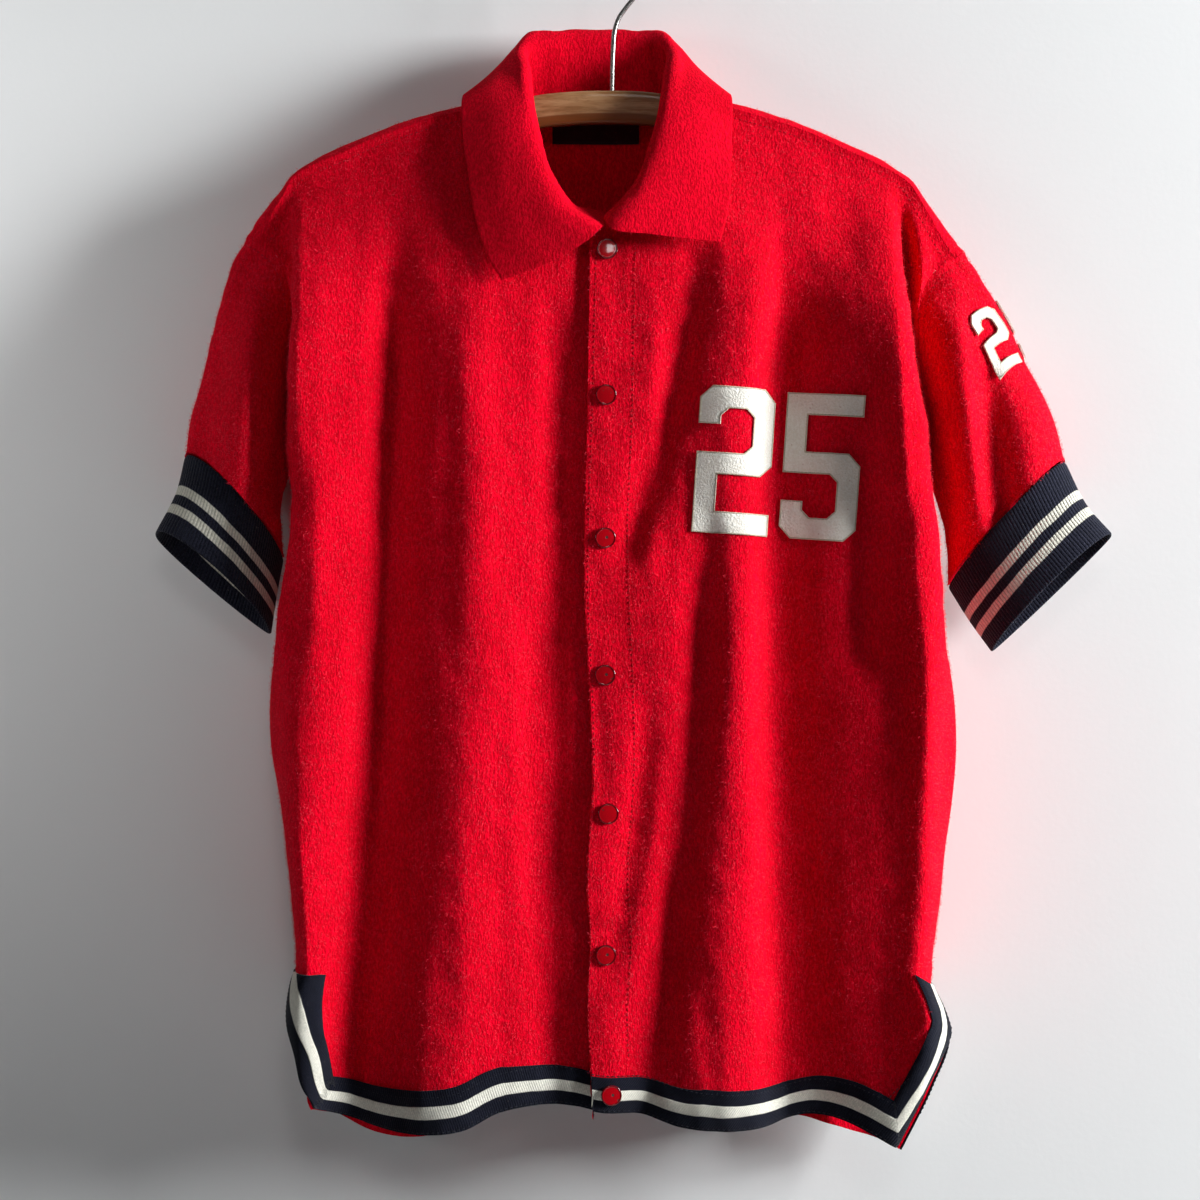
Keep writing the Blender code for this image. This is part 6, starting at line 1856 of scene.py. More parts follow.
@dataclass
class Numeral:
    """A block numeral of felt with a satin-stitched border.

    Attributes:
        name: Name of the solid that it stands for.
        digit: 2 or 5.
        wide: Width, in mm.
        high: Height, in mm.
        stroke: Width of its strokes, in mm.
        lift: How far it lies over the cloth, in mm.
        thick: Thickness of the felt, in mm.
        step: Size of its mesh, in mm.
        border: Width of the stitched border, in mm.
        stitch: Distance from one of its threads to the next, in mm.
    """

    name: str
    digit: int
    wide: float
    high: float
    stroke: float
    lift: float
    thick: float = 1.0
    step: float = 3.0
    border: float = 1.0
    stitch: float = 1.3

    def outline(self) -> list[tuple[float, float]]:
        """Outline of a 5, or of a 2, which is the same turned upside down."""
        wide, high, stroke = self.wide, self.high, self.stroke
        cut, nick, bar, hook = stroke * 0.55, stroke * 0.35, high * 0.60, stroke * 1.75
        points = [(0, cut), (cut, 0), (wide - cut, 0), (wide, cut), (wide, bar - cut), (wide - cut, bar),
                  (stroke, bar), (stroke, high - stroke), (wide, high - stroke), (wide, high), (0, high),
                  (0, bar - stroke), (wide - stroke - nick, bar - stroke),
                  (wide - stroke, bar - stroke - nick), (wide - stroke, stroke + nick),
                  (wide - stroke - nick, stroke), (stroke + nick, stroke),
                  (stroke, stroke + nick), (stroke, hook), (0, hook)]
        points = [(x - wide / 2, z - high / 2) for x, z in points]
        return [(x, -z) for x, z in points[::-1]] if self.digit == 2 else points

    def ring(self, inset: float) -> Array:
        """The outline moved inwards and cut into short steps.

        Args:
            inset: How far inwards, in mm.

        Returns:
            Points of the closed ring.
        """
        points = np.array(self.outline(), float)
        ahead, behind = unit(np.roll(points, -1, 0) - points), unit(points - np.roll(points, 1, 0))
        beside = np.stack([-ahead[:, 1], ahead[:, 0]], 1)
        left = unit(beside + np.stack([-behind[:, 1], behind[:, 0]], 1))
        half = np.clip((left * beside).sum(1), 0.5, 1)
        after = np.roll(points, -1, 0)
        area = float(np.sum(points[:, 0] * after[:, 1] - after[:, 0] * points[:, 1]))
        moved = points + left * math.copysign(inset, area) / half[:, None]
        out = []
        for first, second in zip(moved, np.roll(moved, -1, 0)):
            count = max(int(np.linalg.norm(second - first) / self.stitch), 1)
            out.extend(first + (second - first) * k / count for k in range(count))
        return np.array(out)

    def felt(self, place: Place) -> Object:
        """The felt itself.

        Args:
            place: Point and normal of the cloth at a spot of the numeral.

        Returns:
            The piece.
        """
        mesh = bmesh.new()
        mesh.faces.new([mesh.verts.new((x, 0, z)) for x, z in self.outline()])
        for axis, size in ((Vector((1, 0, 0)), self.wide), (Vector((0, 0, 1)), self.high)):
            count = int(size // self.step)
            for k in range(1, count + 1):
                spot = axis * (size * (k / (count + 1) - 0.5))
                bmesh.ops.bisect_plane(mesh, geom=mesh.verts[:] + mesh.edges[:] + mesh.faces[:],
                                       plane_co=spot, plane_no=axis, dist=1e-4)
        bmesh.ops.triangulate(mesh, faces=mesh.faces[:])
        mesh.verts.index_update()
        low, high = [], []
        for vertex in mesh.verts:
            point, normal = place(vertex.co.x, vertex.co.z)
            low.append(point + normal * self.lift * MM)
            fall = 0.35 if vertex.is_boundary else 0.0
            high.append(point + normal * (self.lift + self.thick - fall) * MM)
        count, faces = len(low), []
        for face in mesh.faces:
            loop = [vertex.index for vertex in face.verts]
            faces.extend(([count + k for k in loop], loop[::-1]))
        for edge in mesh.edges:
            if len(edge.link_loops) == 1:
                loop = edge.link_loops[0]
                a, b = loop.vert.index, loop.link_loop_next.vert.index
                faces.append([count + b, count + a, a, b])
        mesh.free()
        return mesh_object(self.name + "_felt", np.array(low + high), faces, "cream_felt", sharp=40.0)

    def edging(self, place: Place) -> Object:
        """The satin-stitched border: slanted threads laid side by side over the felt's edge.

        Args:
            place: Point and normal of the cloth at a spot of the numeral.

        Returns:
            The piece.
        """
        profile = ((-0.2, self.thick * 0.35), (0.1, self.thick + 0.1), (self.border * 0.6, self.thick + 0.16),
                   (self.border, self.thick + 0.02))
        rings = [self.ring(inset) for inset, _ in profile]
        count, points = len(rings[0]), []
        rings = [ring if len(ring) == count else self.even(ring, count) for ring in rings]
        for k in range(count):
            wave = 0.12 * math.cos(k * math.pi)
            for ring, (_, high) in zip(rings, profile):
                point, normal = place(float(ring[k][0]), float(ring[k][1]))
                points.append(point + normal * (self.lift + high + wave) * MM)
        faces = [[corner % len(points) for corner in face] for face in ring_faces(count + 1, len(profile))]
        return mesh_object(self.name + "_border", np.array(points), faces, "tan_thread", sharp=80.0)

    @staticmethod
    def even(ring: Array, count: int) -> Array:
        """A closed ring again, with another count of evenly spread points."""
        closed = join([ring, ring[:1]])
        reach = reach_along(closed)
        return read(np.linspace(0, reach[-1], count + 1)[:-1], reach, closed)


@dataclass
class Numerals:
    """The number on the chest and the one on the sleeve.

    Attributes:
        chest: Name, digit, x and drop of each chest numeral's middle, in mm.
        chest_size: Width, height and stroke of a chest numeral, in mm.
        chest_lift: How far the chest numerals lie over the cloth, in mm.
        chest_turn: Turn of the chest numerals, in degrees.
        sleeve: Name, digit, place down the sleeve, place round it in mm and lift in mm.
        sleeve_size: Width, height and stroke of a sleeve numeral, in mm.
        reachable: Columns of the sleeve on each side of its upper edge that a numeral may reach.
        pieces: The built pieces.
    """

    chest: tuple[tuple[str, int, float, float], ...] = (("chest_digit_a", 2, 85.5, 369.5),
                                                         ("chest_digit_b", 5, 148.0, 373.5))
    chest_size: tuple[float, float, float] = (54.0, 104.0, 15.5)
    chest_lift: float = 0.6
    chest_turn: float = -4.0
    sleeve: tuple[tuple[str, int, float, float, float], ...] = (("sleeve_digit_a", 2, 0.39, 23.0, 0.6),
                                                                 ("sleeve_digit_b", 5, 0.39, -11.0, 0.1))
    sleeve_size: tuple[float, float, float] = (26.0, 48.0, 7.8)
    reachable: int = 40
    pieces: list[Object] = field(default_factory=list)

    def on_front(self, tree: BVHTree, x: float, drop: float) -> Place:
        """Place on the front, straight behind a spot of the front view.

        Args:
            tree: The front's faces.
            x: Middle of the numeral.
            drop: Drop of its middle.

        Returns:
            A function from a spot of the numeral to a point and a normal.
        """
        cos, sin = math.cos(math.radians(self.chest_turn)), math.sin(math.radians(self.chest_turn))

        def place(u: float, w: float) -> tuple[Vector, Vector]:
            """Point and normal at a spot, each the mean of five close by."""
            spot = Vector((x + u * cos - w * sin, -200, -drop + u * sin + w * cos)) * MM
            total, facing, found = 0.0, Vector((0, -2, 0)), 0
            for du, dw in ((0, 0), (3, 0), (-3, 0), (0, 3), (0, -3)):
                hit, normal, _, _ = tree.ray_cast(spot + Vector((du, 0, dw)) * MM, AHEAD)
                if hit is not None:
                    total, found = total + hit.y, found + 1
                    facing = facing + normal * 0.4
            return Vector((spot.x, total / max(found, 1), spot.z)), facing.normalized()

        return place

    def on_sleeve(self, sheet: Sheet, down: float, around: float) -> Place:
        """Place on the sleeve, measured round its upper edge from the front.

        Args:
            sheet: The sleeve.
            down: Fraction down the sleeve of the numeral's middle.
            around: Distance of its middle from the upper edge, in mm.

        Returns:
            A function from a spot of the numeral to a point and a normal.
        """
        rings = sheet.points.shape[1] - 1
        slope = np.linalg.norm(sheet.points[0, -1] - sheet.points[0, 0]) / rings
        both = join([sheet.points, sheet.normals], axis=-1)
        both = join([both[-self.reachable:], both[:self.reachable]])

        def place(u: float, w: float) -> tuple[Vector, Vector]:
            """Point and normal at a spot."""
            t = down * rings - w / slope
            j = min(int(t), rings - 1)
            ring = both[:, j] * (1 - (t - j)) + both[:, j + 1] * (t - j)
            reach = reach_along(ring[:, :3])
            spot = read(around - u + reach[self.reachable], reach, ring)
            return Vector(to_world(spot[:3])), Vector((spot[3], spot[4], -spot[5])).normalized()

        return place

    def finish(self, numeral: Numeral, place: Place, under: str) -> None:
        """Builds one numeral and books it in.

        Args:
            numeral: Which one.
            place: Where it lies.
            under: Name of the cloth under it.
        """
        felt = WARDROBE.book(numeral.felt(place), "cream_felt", numeral.name)
        edging = WARDROBE.book(numeral.edging(place), "cream_felt")
        area = sum(face.area for face in felt.data.polygons) / 2
        size = numeral.wide * MM, numeral.high * MM
        Cut(*size, min(area, size[0] * size[1])).declare(felt, "laid", [under], [edging])
        self.pieces.extend((felt, edging))

    def build(self, panels: Panels, sleeves: Sleeves) -> None:
        """Builds the four numerals."""
        tree = tree_of(panels.pieces["front_left"])
        for name, digit, x, drop in self.chest:
            numeral = Numeral(name, digit, *self.chest_size, self.chest_lift)
            self.finish(numeral, self.on_front(tree, x, drop), "front_left_fleece")
        for name, digit, down, around, lift in self.sleeve:
            numeral = Numeral(name, digit, *self.sleeve_size, lift, step=2.0, border=0.9)
            place = self.on_sleeve(sleeves.sheets["sleeve_left"], down, around)
            self.finish(numeral, place, "sleeve_left_fleece")


# ------------------------------------------------------------------------------ snaps, label, hanger
@dataclass
class Snaps:
    """Seven enamelled caps down the centre.

    Attributes:
        places: x and drop of each cap, in mm.
        radius: Radius of a cap, in mm.
        high: Height of a cap, in mm.
        lift: How far it stands over the cloth, in mm.
        steps: Points round a cap.
        chipped: Numbers of the caps with a bare spot.
        pieces: The built caps.
    """

    places: tuple[Station, ...] = rows(Station, (-4.2, 220), (-5, 323), (-5.7, 424), (-5.7, 521), (-3.6, 619),
                                       (-5.3, 719), (-1.5, 818))
    radius: float = 7.4
    high: float = 2.0
    lift: float = 0.5
    steps: int = 48
    chipped: tuple[int, ...] = (3, 4, 6, 7)
    pieces: list[Object] = field(default_factory=list)

    def profile(self) -> list[tuple[float, float]]:
        """Radius and height down the cap's half section: a flat disc in a thin raised rim."""
        r, h = self.radius, self.high
        return [(0.0, 0.0), (r * 0.6, 0.0), (r - 0.6, 0.0), (r - 0.12, 0.25), (r, 0.7), (r, 1.05),
                (r - 0.1, 1.4), (r - 0.35, 1.62), (r - 0.7, 1.66), (r - 1.0, 1.55), (r - 1.2, 1.42),
                (r - 1.5, 1.42), (r - 2.2, 1.50), (r * 0.5, h - 0.40), (r * 0.25, h - 0.34), (0.0, h - 0.32)]

    def build(self, panels: Panels) -> None:
        """Builds the caps on the upper front and its tape."""
        chest, tape = tree_of(panels.pieces["front_left"]), tree_of(panels.pieces["tape_front_left"])
        for number, row in enumerate(self.places, start=1):
            tree = tape if number == len(self.places) else chest
            spot = Vector((row.x, -200, -row.drop)) * MM
            point = tree.ray_cast(spot, AHEAD)[0]
            around = []
            for angle in (k * math.pi / 4 for k in range(8)):
                aim = Vector((math.cos(angle), 0, math.sin(angle))) * (self.radius * MM)
                hit = tree.ray_cast(spot + aim, AHEAD)[0]
                around += [] if hit is None else [hit]
            normal = Vector((0, 0, 0))
            for first, second in zip(around, around[1:] + around[:1]):
                normal += (first - point).cross(second - point)
            normal.normalize()
            normal *= -1.0 if normal.y > 0 else 1.0
            stand = max(0.0, *((hit - point).dot(normal) for hit in around)) + self.lift * MM
            self.pieces.append(self.cap(number, point + normal * stand, normal.to_track_quat("Z", "Y")))

    def cap(self, number: int, base: Vector, turn: Quaternion) -> Object:
        """One cap.

        Args:
            number: Its number from the top.
            base: Middle of its back.
            turn: Its turn.

        Returns:
            The piece.
        """
        back, *profile, front = self.profile()
        n, rings = self.steps, len(profile)
        angles = [k * math.tau / n for k in range(n)]
        points = [(radius * math.cos(angle), radius * math.sin(angle), high)
                  for radius, high in profile for angle in angles]
        points.extend([(0, 0, back[1]), (0, 0, front[1])])
        faces, top = ring_faces(rings, n), (rings - 1) * n
        for k in range(n):
            after = (k + 1) % n
            faces.extend(([rings * n, after, k], [rings * n + 1, top + k, top + after]))
        world = np.array([base + turn @ (Vector(point) * MM) for point in points])
        corners = np.array([points[k][:2] for face in faces for k in face]) * MM
        enamel = "chipped_enamel" if number in self.chipped else "red_enamel"
        piece = mesh_object(f"snap_cap_{number}", world, faces, enamel, corners, sharp=60.0)
        return WARDROBE.book(piece, "red_enamel", f"snap_{number}")


@dataclass
class NeckLabel:
    """Blank woven strip on the inner face of the back.

    Attributes:
        sides: x of its first and last edge, in mm.
        ends: Drop of its upper and lower edge, in mm.
        thick: Thickness, in mm.
        grid: Columns and rows of its mesh.
    """

    sides: tuple[float, float] = (-44.0, 19.0)
    ends: tuple[float, float] = (114.5, 136.5)
    thick: float = 0.8
    grid: tuple[int, int] = (43, 16)

    def build(self, panels: Panels) -> Object:
        """Builds the label.

        Args:
            panels: The panels, of which the back carries it.

        Returns:
            The piece.
        """
        columns, drops = np.linspace(*self.sides, self.grid[0]), np.linspace(*self.ends, self.grid[1])
        tree = tree_of(panels.pieces["back"])
        points = np.zeros((len(columns), len(drops), 3))
        for i, x in enumerate(columns):
            for j, drop in enumerate(drops):
                hit = tree.ray_cast(Vector((x, -20, -drop)) * MM, AHEAD)[0]
                points[i, j] = (x, hit.y / MM - 0.45, drop)
        sheet = Sheet(points, np.zeros_like(points) + (0, -1, 0), -1)
        edge = np.minimum.reduce(sheet.borders())
        rise = self.thick - 0.25 * groove(edge - 2.2, 1.0, 0.8) - rounded(edge, 0.4)
        piece = WARDROBE.book(shell("neck_label", sheet, rise, 0.0, "black_label"), "black_label", "label")
        Cut.of(sheet).declare(piece, "laid", ["back_fleece"])
        return piece


@dataclass
class Hanger:
    """Curved wooden hanger with a bent wire hook.

    Attributes:
        top: Its upper edge from one tip to the other.
        thick: Thickness of the bar, in mm.
        high: Height of the bar in its middle, in mm.
        high_tip: Height of the bar at its tips, in mm.
        taper: Distance from a tip at which the bar has its full height, in mm.
        edge: Radius of its long edges, in mm.
        wire: Diameter of the wire, in mm.
        loop: Radius of the hook, in mm.
        loop_x: x of the middle of the hook, in mm.
        shank: The wire's path from the bar up to the loop.
        turns: Where the loop starts and ends, in degrees.
    """

    top: tuple[Station, ...] = rows(
        Station, (-226, 163.5), (-219, 158.7), (-200.9, 148.8), (-177.1, 137.8), (-153.4, 129.1),
        (-130.3, 122.4), (-105.8, 118), (-88, 116.4), (-62, 106.6), (-30, 102.4), (-3, 101.6),
        (25, 102.6), (49, 106.6),
        (75, 116.6), (110.9, 122.6), (139.7, 131.2), (168.5, 144.2), (197.3, 157.9), (210, 167))
    thick: float = 10.6
    high: float = 24.0
    high_tip: float = 17.0
    taper: float = 130.0
    edge: float = 3.2
    wire: float = 3.4
    loop: float = 21.0
    loop_x: float = 0.7
    shank: tuple[GuideStation, ...] = rows(
        GuideStation, (-0.7, 0, 112), (-0.7, 0, 92), (0, 0, 72), (1.2, 0, 58), (4.2, 0, 49), (9, 0, 42))
    turns: tuple[float, float] = (-48.0, 200.0)

    def section(self) -> list[tuple[float, int, float]]:
        """The bar's section, round its rim.

        Returns:
            Depth in mm; 1 at the upper corners, 0 at the lower ones or -1 on the flat sides; and height
            in mm over the middle of the corner's rounding, or the share of the way down the flat side.
        """
        half, edge, ring = self.thick / 2, self.edge, []
        for side, upper, start in ((1, 1, 0), (1, 0, 90), (-1, 0, 180), (-1, 1, 270)):
            for angle in np.radians(np.linspace(start, start + 90, 6)):
                ring.append((side * (half - edge) + edge * math.sin(angle), upper, edge * math.cos(angle)))
            if side * (1 if upper else -1) > 0:
                ring.extend((half * side, -1, share) for share in (0.25, 0.5, 0.75))
        return sorted(ring, key=lambda spot: math.atan2(spot[0], self.ring_level(spot)))

    def ring_level(self, spot: tuple[float, int, float]) -> float:
        """Height of a section point over the bar's middle, for sorting round the section."""
        corner = self.high / 2 - self.edge
        if spot[1] == -1:
            return corner * (1 - 2 * spot[2])
        return (corner if spot[1] == 1 else -corner) + spot[2]

    def bar(self) -> Object:
        """The wooden bar.

        Returns:
            The piece.
        """
        table, tip = np.array(self.top, float), np.array([0, 0.5, 1.3, 2.6, 4.5])
        first, last = table[0, 0], table[-1, 0]
        xs = join([first + tip, np.linspace(first + 8, last - 8, 110), last - tip[::-1]])
        ends = np.minimum(xs - xs[0], xs[-1] - xs)
        high = self.high_tip + (self.high - self.high_tip) * ease(ends / self.taper)
        narrow, ring = 0.55 + 0.45 * roll(ends / 8), self.section()
        points, cuts = [], []
        for x, top, tall, slim in zip(xs, smooth_at(*table.T, xs), high, narrow):
            for y, upper, high_at in ring:
                drop = (top + self.edge if upper == 1 else top + tall - self.edge) - high_at
                if upper == -1:
                    drop = top + self.edge + (tall - 2 * self.edge) * high_at
                middle = top + tall / 2
                points.append((x, y * slim, middle + (drop - middle) * slim))
                cuts.append((x, drop - top))
        n = len(ring)
        faces = [*ring_faces(len(xs), n), list(range(n))[::-1], list(range(len(points) - n, len(points)))]
        corners = np.array([cuts[corner] for face in faces for corner in face]) * MM
        piece = mesh_object("hanger_wood", to_world(points), faces, "varnished_wood", corners, sharp=50.0)
        return WARDROBE.book(piece, "varnished_wood", "hanger_bar")

    def hook(self) -> Object:
        """The wire hook, with rounded ends.

        Returns:
            The piece.
        """
        middle, points = self.loop - self.wire / 2, list(self.shank)
        for angle in np.radians(np.linspace(*self.turns, 19)):
            across, up = self.loop * math.cos(angle), self.loop * math.sin(angle)
            points.append((self.loop_x + across, 0, middle - up))
        path = to_world(spread(points, np.linspace(0, 1, 120)))
        return WARDROBE.book(tube("hanger_wire", path, self.wire / 2 * MM, 20, "steel_wire"), "steel_wire",
                             "hanger_hook")


def tube(name: str, path: Array, radius: float, around: int, finish: str) -> Object:
    """Closed round bar with domed ends.

    Args:
        name: The piece's name.
        path: Points down its middle, in metres.
        radius: Its radius, in metres.
        around: Points round it.
        finish: Name of its finish.

    Returns:
        The new object.
    """
    along = unit(np.gradient(path, axis=0))
    side = unit(np.cross(along, (0.0, 1.0, 0.0)))
    up = np.cross(side, along)
    dome = ((-1.0, 0.02), (-0.87, 0.5), (-0.5, 0.87))
    rings = [(path[0] + along[0] * radius * reach, radius * size, 0) for reach, size in dome]
    rings += [(point, radius, k) for k, point in enumerate(path)]
    rings += [(path[-1] - along[-1] * radius * reach, radius * size, -1) for reach, size in dome[::-1]]
    angles = np.arange(around) * math.tau / around
    points = [centre + (side[k] * math.cos(angle) + up[k] * math.sin(angle)) * size
              for centre, size, k in rings for angle in angles]
    last = len(points) - around
    faces = [*ring_faces(len(rings), around), list(range(around))[::-1], [last + k for k in range(around)]]
    return mesh_object(name, np.array(points), faces, finish, sharp=60.0)


# ------------------------------------------------------------------------------ stitching
@dataclass
class Stitching:
    """Rows of stitches, as short threads that dip into the cloth.

    Attributes:
        length: Length of a stitch, in mm.
        gap: Gap between stitches, in mm.
        half: Half of the thread's width, in mm.
        low: Height of the stitches in the fleece over its sheet, in mm.
        edge_low: The same along a free edge.
        in_tape: Distance of the tape's two rows from its outer edge, in mm.
        lines: Points and normals of the rows of each piece.
    """

    length: float = 2.7
    gap: float = 1.0
    half: float = 0.3
    low: float = -1.15
    edge_low: float = -0.75
    in_tape: tuple[float, float] = (1.9, 27.0)
    lines: dict[str, list[tuple[Array, Array]]] = field(default_factory=dict)

    def follow(self, name: str, sheet: Sheet, border: Border, away: float, lift: float,
               start: int = 0, end: int | None = None) -> None:
        """Adds a row of stitches at an even distance from a border.

        Args:
            name: Piece that the row belongs to.
            sheet: The cloth.
            border: The border.
            away: Distance from it, in mm.
            lift: Height over the sheet, in mm.
            start: First row or column that it passes.
            end: Row or column before which it ends, or None for the last one.
        """
        sideways = border in (Border.FIRST, Border.LAST)
        distance = sheet.borders()[border.value]
        distance = distance.T if sideways else distance[:len(sheet.points)]
        size, spots = distance.shape[1], []
        for k in range(*slice(start, end).indices(len(distance))):
            if border in (Border.FIRST, Border.TOP):
                place = np.interp(away, distance[k], np.arange(size))
            else:
                place = size - 1 - np.interp(away, distance[k][::-1], np.arange(size))
            spots.append((place, k) if sideways else (k, place))
        column, row = np.array(spots, float).T
        self.lines.setdefault(name, []).append(sheet.at(column, row, lift))

    def build(self, name: str, finish: str, slot: str) -> Object:
        """Builds all rows of one piece.

        Args:
            name: The piece.
            finish: Its thread.
            slot: The record's material slot.

        Returns:
            The piece.
        """
        points, faces = [], []
        for line, normals in self.lines[name]:
            reach = reach_along(line)
            for start in np.arange(0.5, reach[-1] - self.length, self.length + self.gap):
                at = start + self.length * np.array([0.0, 0.2, 0.5, 0.8, 1.0])
                spot, normal = read(at, reach, line), unit(read(at, reach, normals))
                side = unit(np.cross(normal, unit(spot[-1] - spot[0]))) * self.half
                middle = spot + np.array([-0.7, 0.0, 0.15, 0.0, -0.7])[:, None] * normal
                slim, base = np.array([0.5, 1.0, 1.0, 1.0, 0.5])[:, None], len(points)
                up = normal * self.half
                around = [middle + part * slim for part in (side, up, -side, -up)]
                points.extend(np.stack(around, axis=1).reshape(-1, 3))
                stitch = [*ring_faces(5, 4), [3, 2, 1, 0], [16, 17, 18, 19]]
                faces.extend([base + corner for corner in face] for face in stitch)
        return WARDROBE.book(mesh_object(name, to_world(points), faces, finish, sharp=60.0), slot)

    def sew(self, panels: Panels, sleeves: Sleeves, collar: Collar) -> dict[str, list[Object]]:
        """Sews the jacket's visible rows.

        Args:
            panels: The fronts and the back.
            sleeves: The sleeves and cuffs.
            collar: The collar.

        Returns:
            The stitches that go with each piece of cloth.
        """
        form, extras = panels.form, {}
        count, arm, vent, last = len(form.shoulder_steps), form.armhole_rows, form.vent_start, form.last_wrap
        tape = TAPE_LIFT + TAPE_THICK - 0.1

        def done(piece: str, finish: str = "red_thread", slot: str = "red_fleece") -> None:
            """Builds the stitches of one piece of cloth."""
            extras[piece] = [self.build("stitches_" + piece, finish, slot)]

        for word in ("right", "left"):
            front, name = panels.sheets["front_" + word], "stitches_front_" + word
            self.follow(name, front, Border.TOP, SEAM_STITCH, self.low, 3, count)
            self.follow(name, front, Border.FIRST, SEAM_STITCH, self.low, 6, arm - 2)
            if word == "left":
                self.follow(name, front, Border.LAST, PLACKET_WIDE, self.low + 0.3, 10, vent + 18)
                self.follow(name, front, Border.LAST, 5.0, self.edge_low, 6, vent + 18)
            sleeve = sleeves.sheets["sleeve_" + word]
            self.follow("stitches_sleeve_" + word, sleeve, Border.TOP, SEAM_STITCH, self.low)
            for away in self.in_tape:
                self.follow("stitches_tape_front_" + word, front, Border.BOTTOM, away, tape, 9)
                self.follow("stitches_tape_front_" + word, front, Border.FIRST, away, tape, vent + 3, -9)
            done("front_" + word)
            done("sleeve_" + word)
            done("tape_front_" + word, "navy_thread", "navy_braid")
        back = panels.sheets["back"]
        for border in (Border.FIRST, Border.LAST):
            self.follow("stitches_back", back, border, SEAM_STITCH, self.low, last, last + arm - 2)
            for away in self.in_tape:
                self.follow("stitches_tape_back", back, border, away, tape, last + vent + 3, -9)
        for away in self.in_tape:
            self.follow("stitches_tape_back", back, Border.BOTTOM, away, tape, 9, -9)
        self.follow("stitches_collar", collar.sheet, Border.BOTTOM, EDGE_STITCH, self.edge_low)
        done("back")
        done("tape_back", "navy_thread", "navy_braid")
        done("collar")
        return extras


# ------------------------------------------------------------------------------ nap
@dataclass
class Nap:
    """Loose curled fibres of the fleece's pile.

    Attributes:
        length: Shortest and longest fibre, in mm.
        wide: Narrowest and widest fibre, in mm.
        root: Height of the roots over the sheet, in mm.
        reach: How far over a fibre's root another piece keeps it from growing, in metres.
        counts: Fibres of each panel, before those under other pieces are left out.
        seed: Number that picks the pattern.
    """

    length: tuple[float, float] = (1.6, 4.2)
    wide: tuple[float, float] = (0.16, 0.30)
    root: float = -1.0
    reach: float = 0.009
    counts: dict[str, int] = field(default_factory=lambda: {
        "front_right": 54000, "front_left": 56000, "back": 62000, "sleeve_right": 20000, "sleeve_left": 20000,
        "collar": 20000})
    seed: int = 11

    def grow(self, name: str, sheet: Sheet, covers: BVHTree, cells: Array | float = 1.0) -> Object:
        """Grows the fibres of one panel.

        Args:
            name: The panel's name.
            sheet: Its face.
            covers: Pieces that lie on the panel.
            cells: The cells that carry pile.

        Returns:
            The piece.
        """
        rng, count = np.random.default_rng(self.seed), self.counts[name]
        sizes = sheet.areas() * cells
        picked = rng.choice(sizes.size, count, p=(sizes / sizes.sum()).ravel())
        column = picked // sizes.shape[1] + rng.random(count)
        row = picked % sizes.shape[1] + rng.random(count)
        base, normal = sheet.at(column, row, self.root)
        world, facing = to_world(base + normal * 1.2), to_world(normal) / MM
        keep = [covers.ray_cast(Vector(spot), Vector(way), self.reach)[0] is None
                for spot, way in zip(world, facing)]
        base, normal = base[keep], normal[keep]
        count = len(base)
        random = unit(rng.normal(size=(count, 3)) + (0.0, 0.0, 0.5))
        lie = unit(random - normal * (random * normal).sum(1, keepdims=True))
        side = np.cross(normal, lie)
        swing = rng.uniform(-1.1, 1.1, (count, 1))
        lie_tip = lie * np.cos(swing) + side * np.sin(swing)
        size = rng.uniform(*self.length, (count, 1)) * 0.5
        rise = np.radians(rng.uniform(24, 72, (count, 1)))
        rise_tip = rise - np.radians(rng.uniform(20, 95, (count, 1)))
        middle = base + size * (lie * np.cos(rise) + normal * np.sin(rise))
        tip = middle + size * (lie_tip * np.cos(rise_tip) + normal * np.sin(rise_tip))
        half = side * rng.uniform(*self.wide, (count, 1)) / 2
        corners = np.stack([base, middle + half, middle - half, tip], axis=1)
        first = np.arange(count)[:, None] * 4
        faces = join([first + [0, 1, 2], first + [1, 3, 2]]).tolist()
        piece = mesh_object("nap_" + name, to_world(corners).reshape(-1, 3), faces, "red_nap_painted_highlight", sharp=180.0)
        return WARDROBE.book(piece, "red_fleece")

    def cover(self, panels: Panels, sleeves: Sleeves, collar: Collar, trims: Sequence[Object],
              extras: dict[str, list[Object]]) -> None:
        """Grows the pile of every fleece piece.

        Args:
            panels: The fronts and the back.
            sleeves: The sleeves.
            collar: The collar.
            trims: Pieces that lie on the fleece.
            extras: Lists of the pieces that go with each piece of cloth, added to here.
        """
        parts, right, left = panels.pieces, panels.pieces["front_right"], panels.pieces["front_left"]
        over = [*(piece for name, piece in parts.items() if name.startswith("tape_")), collar.piece]
        for name, covers in (("front_right", [*over, left]), ("front_left", [*trims, *over]), ("back", over)):
            cells = panels.cells[name] & ~panels.cells["tape_" + name]
            extras[name].append(self.grow(name, panels.sheets[name], tree_of(*covers), cells))
        body = tree_of(*trims, right, left, parts["back"])
        for name in ("sleeve_right", "sleeve_left"):
            extras[name].append(self.grow(name, sleeves.sheets[name], body))
        extras["collar"].append(self.grow("collar", collar.sheet, tree_of(right, left)))


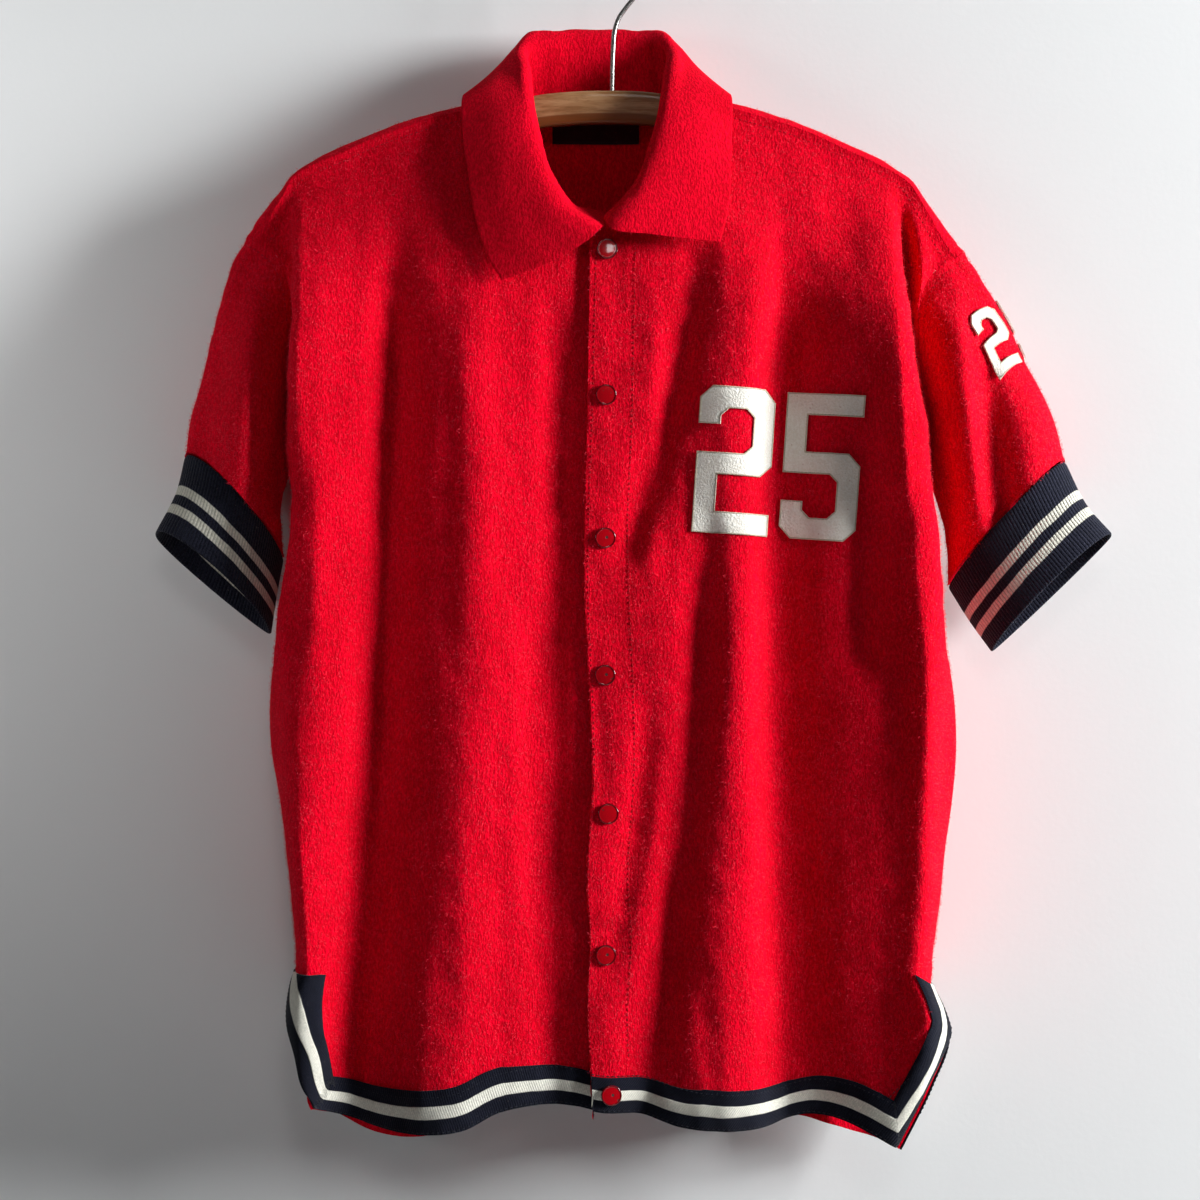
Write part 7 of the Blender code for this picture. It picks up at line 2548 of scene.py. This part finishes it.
# ------------------------------------------------------------------------------ studio
@dataclass
class Studio:
    """Pale wall and floor, soft light and the photograph's camera.

    Attributes:
        distance: From the lens to the plane of the hanger, in metres.
        field: Width of the picture in that plane, in metres.
        middle: Middle of the picture, in metres.
        sensor: Width of the sensor, in mm.
        wall_y: Where the wall stands, in metres.
        floor_z: Height of the floor, in metres.
    """

    distance: float = 2.2
    field: float = 0.864
    middle: tuple[float, float] = (-0.0094, -0.468)
    sensor: float = 36.0
    wall_y: float = 0.054
    floor_z: float = -4.0

    def camera(self) -> None:
        """Makes the camera."""
        data = bpy.data.cameras.new("camera")
        data.sensor_width = self.sensor
        data.lens = self.sensor * self.distance / self.field
        camera = bpy.data.objects.new("camera", data)
        camera.location = (self.middle[0], -self.distance, self.middle[1])
        camera.rotation_euler = (math.pi / 2, 0, 0)
        bpy.context.collection.objects.link(camera)
        bpy.context.scene.camera = camera

    def light(self, name: str, place: Sequence[float], aim: Sequence[float], size: float, power: float,
              colour: Colour = (1.0, 1.0, 1.0), beam: float = 180.0) -> None:
        """Adds a soft light.

        Args:
            name: Its name.
            place: Where it stands, in metres.
            aim: What it points at.
            size: Its width, in metres.
            power: Its power, in watts.
            colour: Its colour.
            beam: How widely it shines, in degrees.
        """
        data = bpy.data.lights.new(name, "AREA")
        data.size, data.energy, data.color, data.spread = size, power, colour, math.radians(beam)
        lamp = bpy.data.objects.new(name, data)
        lamp.location = place
        lamp.rotation_euler = (Vector(aim) - Vector(place)).to_track_quat("-Z", "Y").to_euler()
        bpy.context.collection.objects.link(lamp)

    def build(self) -> None:
        """Builds the whole studio."""
        wall, floor = (
            mesh_object(name, np.array(corners), [[0, 1, 2, 3]], "studio_white") for name, corners in (
                ("wall", [(x, self.wall_y, z) for x, z in ((-4, -4), (4, -4), (4, 3), (-4, 3))]),
                ("floor", [(x, y, self.floor_z) for x, y in ((-4, -5), (4, -5), (4, 5), (-4, 5))])))
        self.light("key", (3.6, -1.05, 0.45), (0.0, 0.0, -0.45), 1.3, 350.0, (0.96, 0.99, 1.0))
        self.light("window", (0.2, -3.0, 1.0), (0.0, 0.0, -0.3), 0.5, 6.0)
        self.light("wash", (-2.2, -1.2, -0.1), (-1.0, 0.05, -0.25), 0.5, 2.0, beam=38.0)
        self.light("rear", (-0.8, 2.2, 0.2), (0.0, 0.0, -0.5), 1.2, 30.0)
        world = bpy.data.worlds.new("studio")
        world.use_nodes = True
        background = world.node_tree.nodes["Background"]
        background.inputs["Color"].default_value = (0.93, 0.95, 1.0, 1.0)
        background.inputs["Strength"].default_value = 0.02
        bpy.context.scene.world = world
        bpy.context.scene.view_settings.view_transform = "Standard"
        self.camera()


def main() -> None:
    """Builds the jacket, its hanger and the studio."""
    WARDROBE.make()
    form = JacketForm()
    panels, sleeves, collar = Panels(form), Sleeves(form), Collar(CollarForm(form))
    panels.build()
    sleeves.build()
    collar.build(panels)
    numerals, snaps, hanger = Numerals(), Snaps(), Hanger()
    numerals.build(panels, sleeves)
    snaps.build(panels)
    NeckLabel().build(panels)
    hanger.bar()
    hanger.hook()
    extras = Stitching().sew(panels, sleeves, collar)
    Nap().cover(panels, sleeves, collar, numerals.pieces + snaps.pieces, extras)
    panels.declare(extras)
    sleeves.declare(extras)
    collar.declare(extras["collar"])
    Studio().build()


if __name__ == "__main__":
    logging.basicConfig(level=logging.INFO, format="%(message)s")
    main()
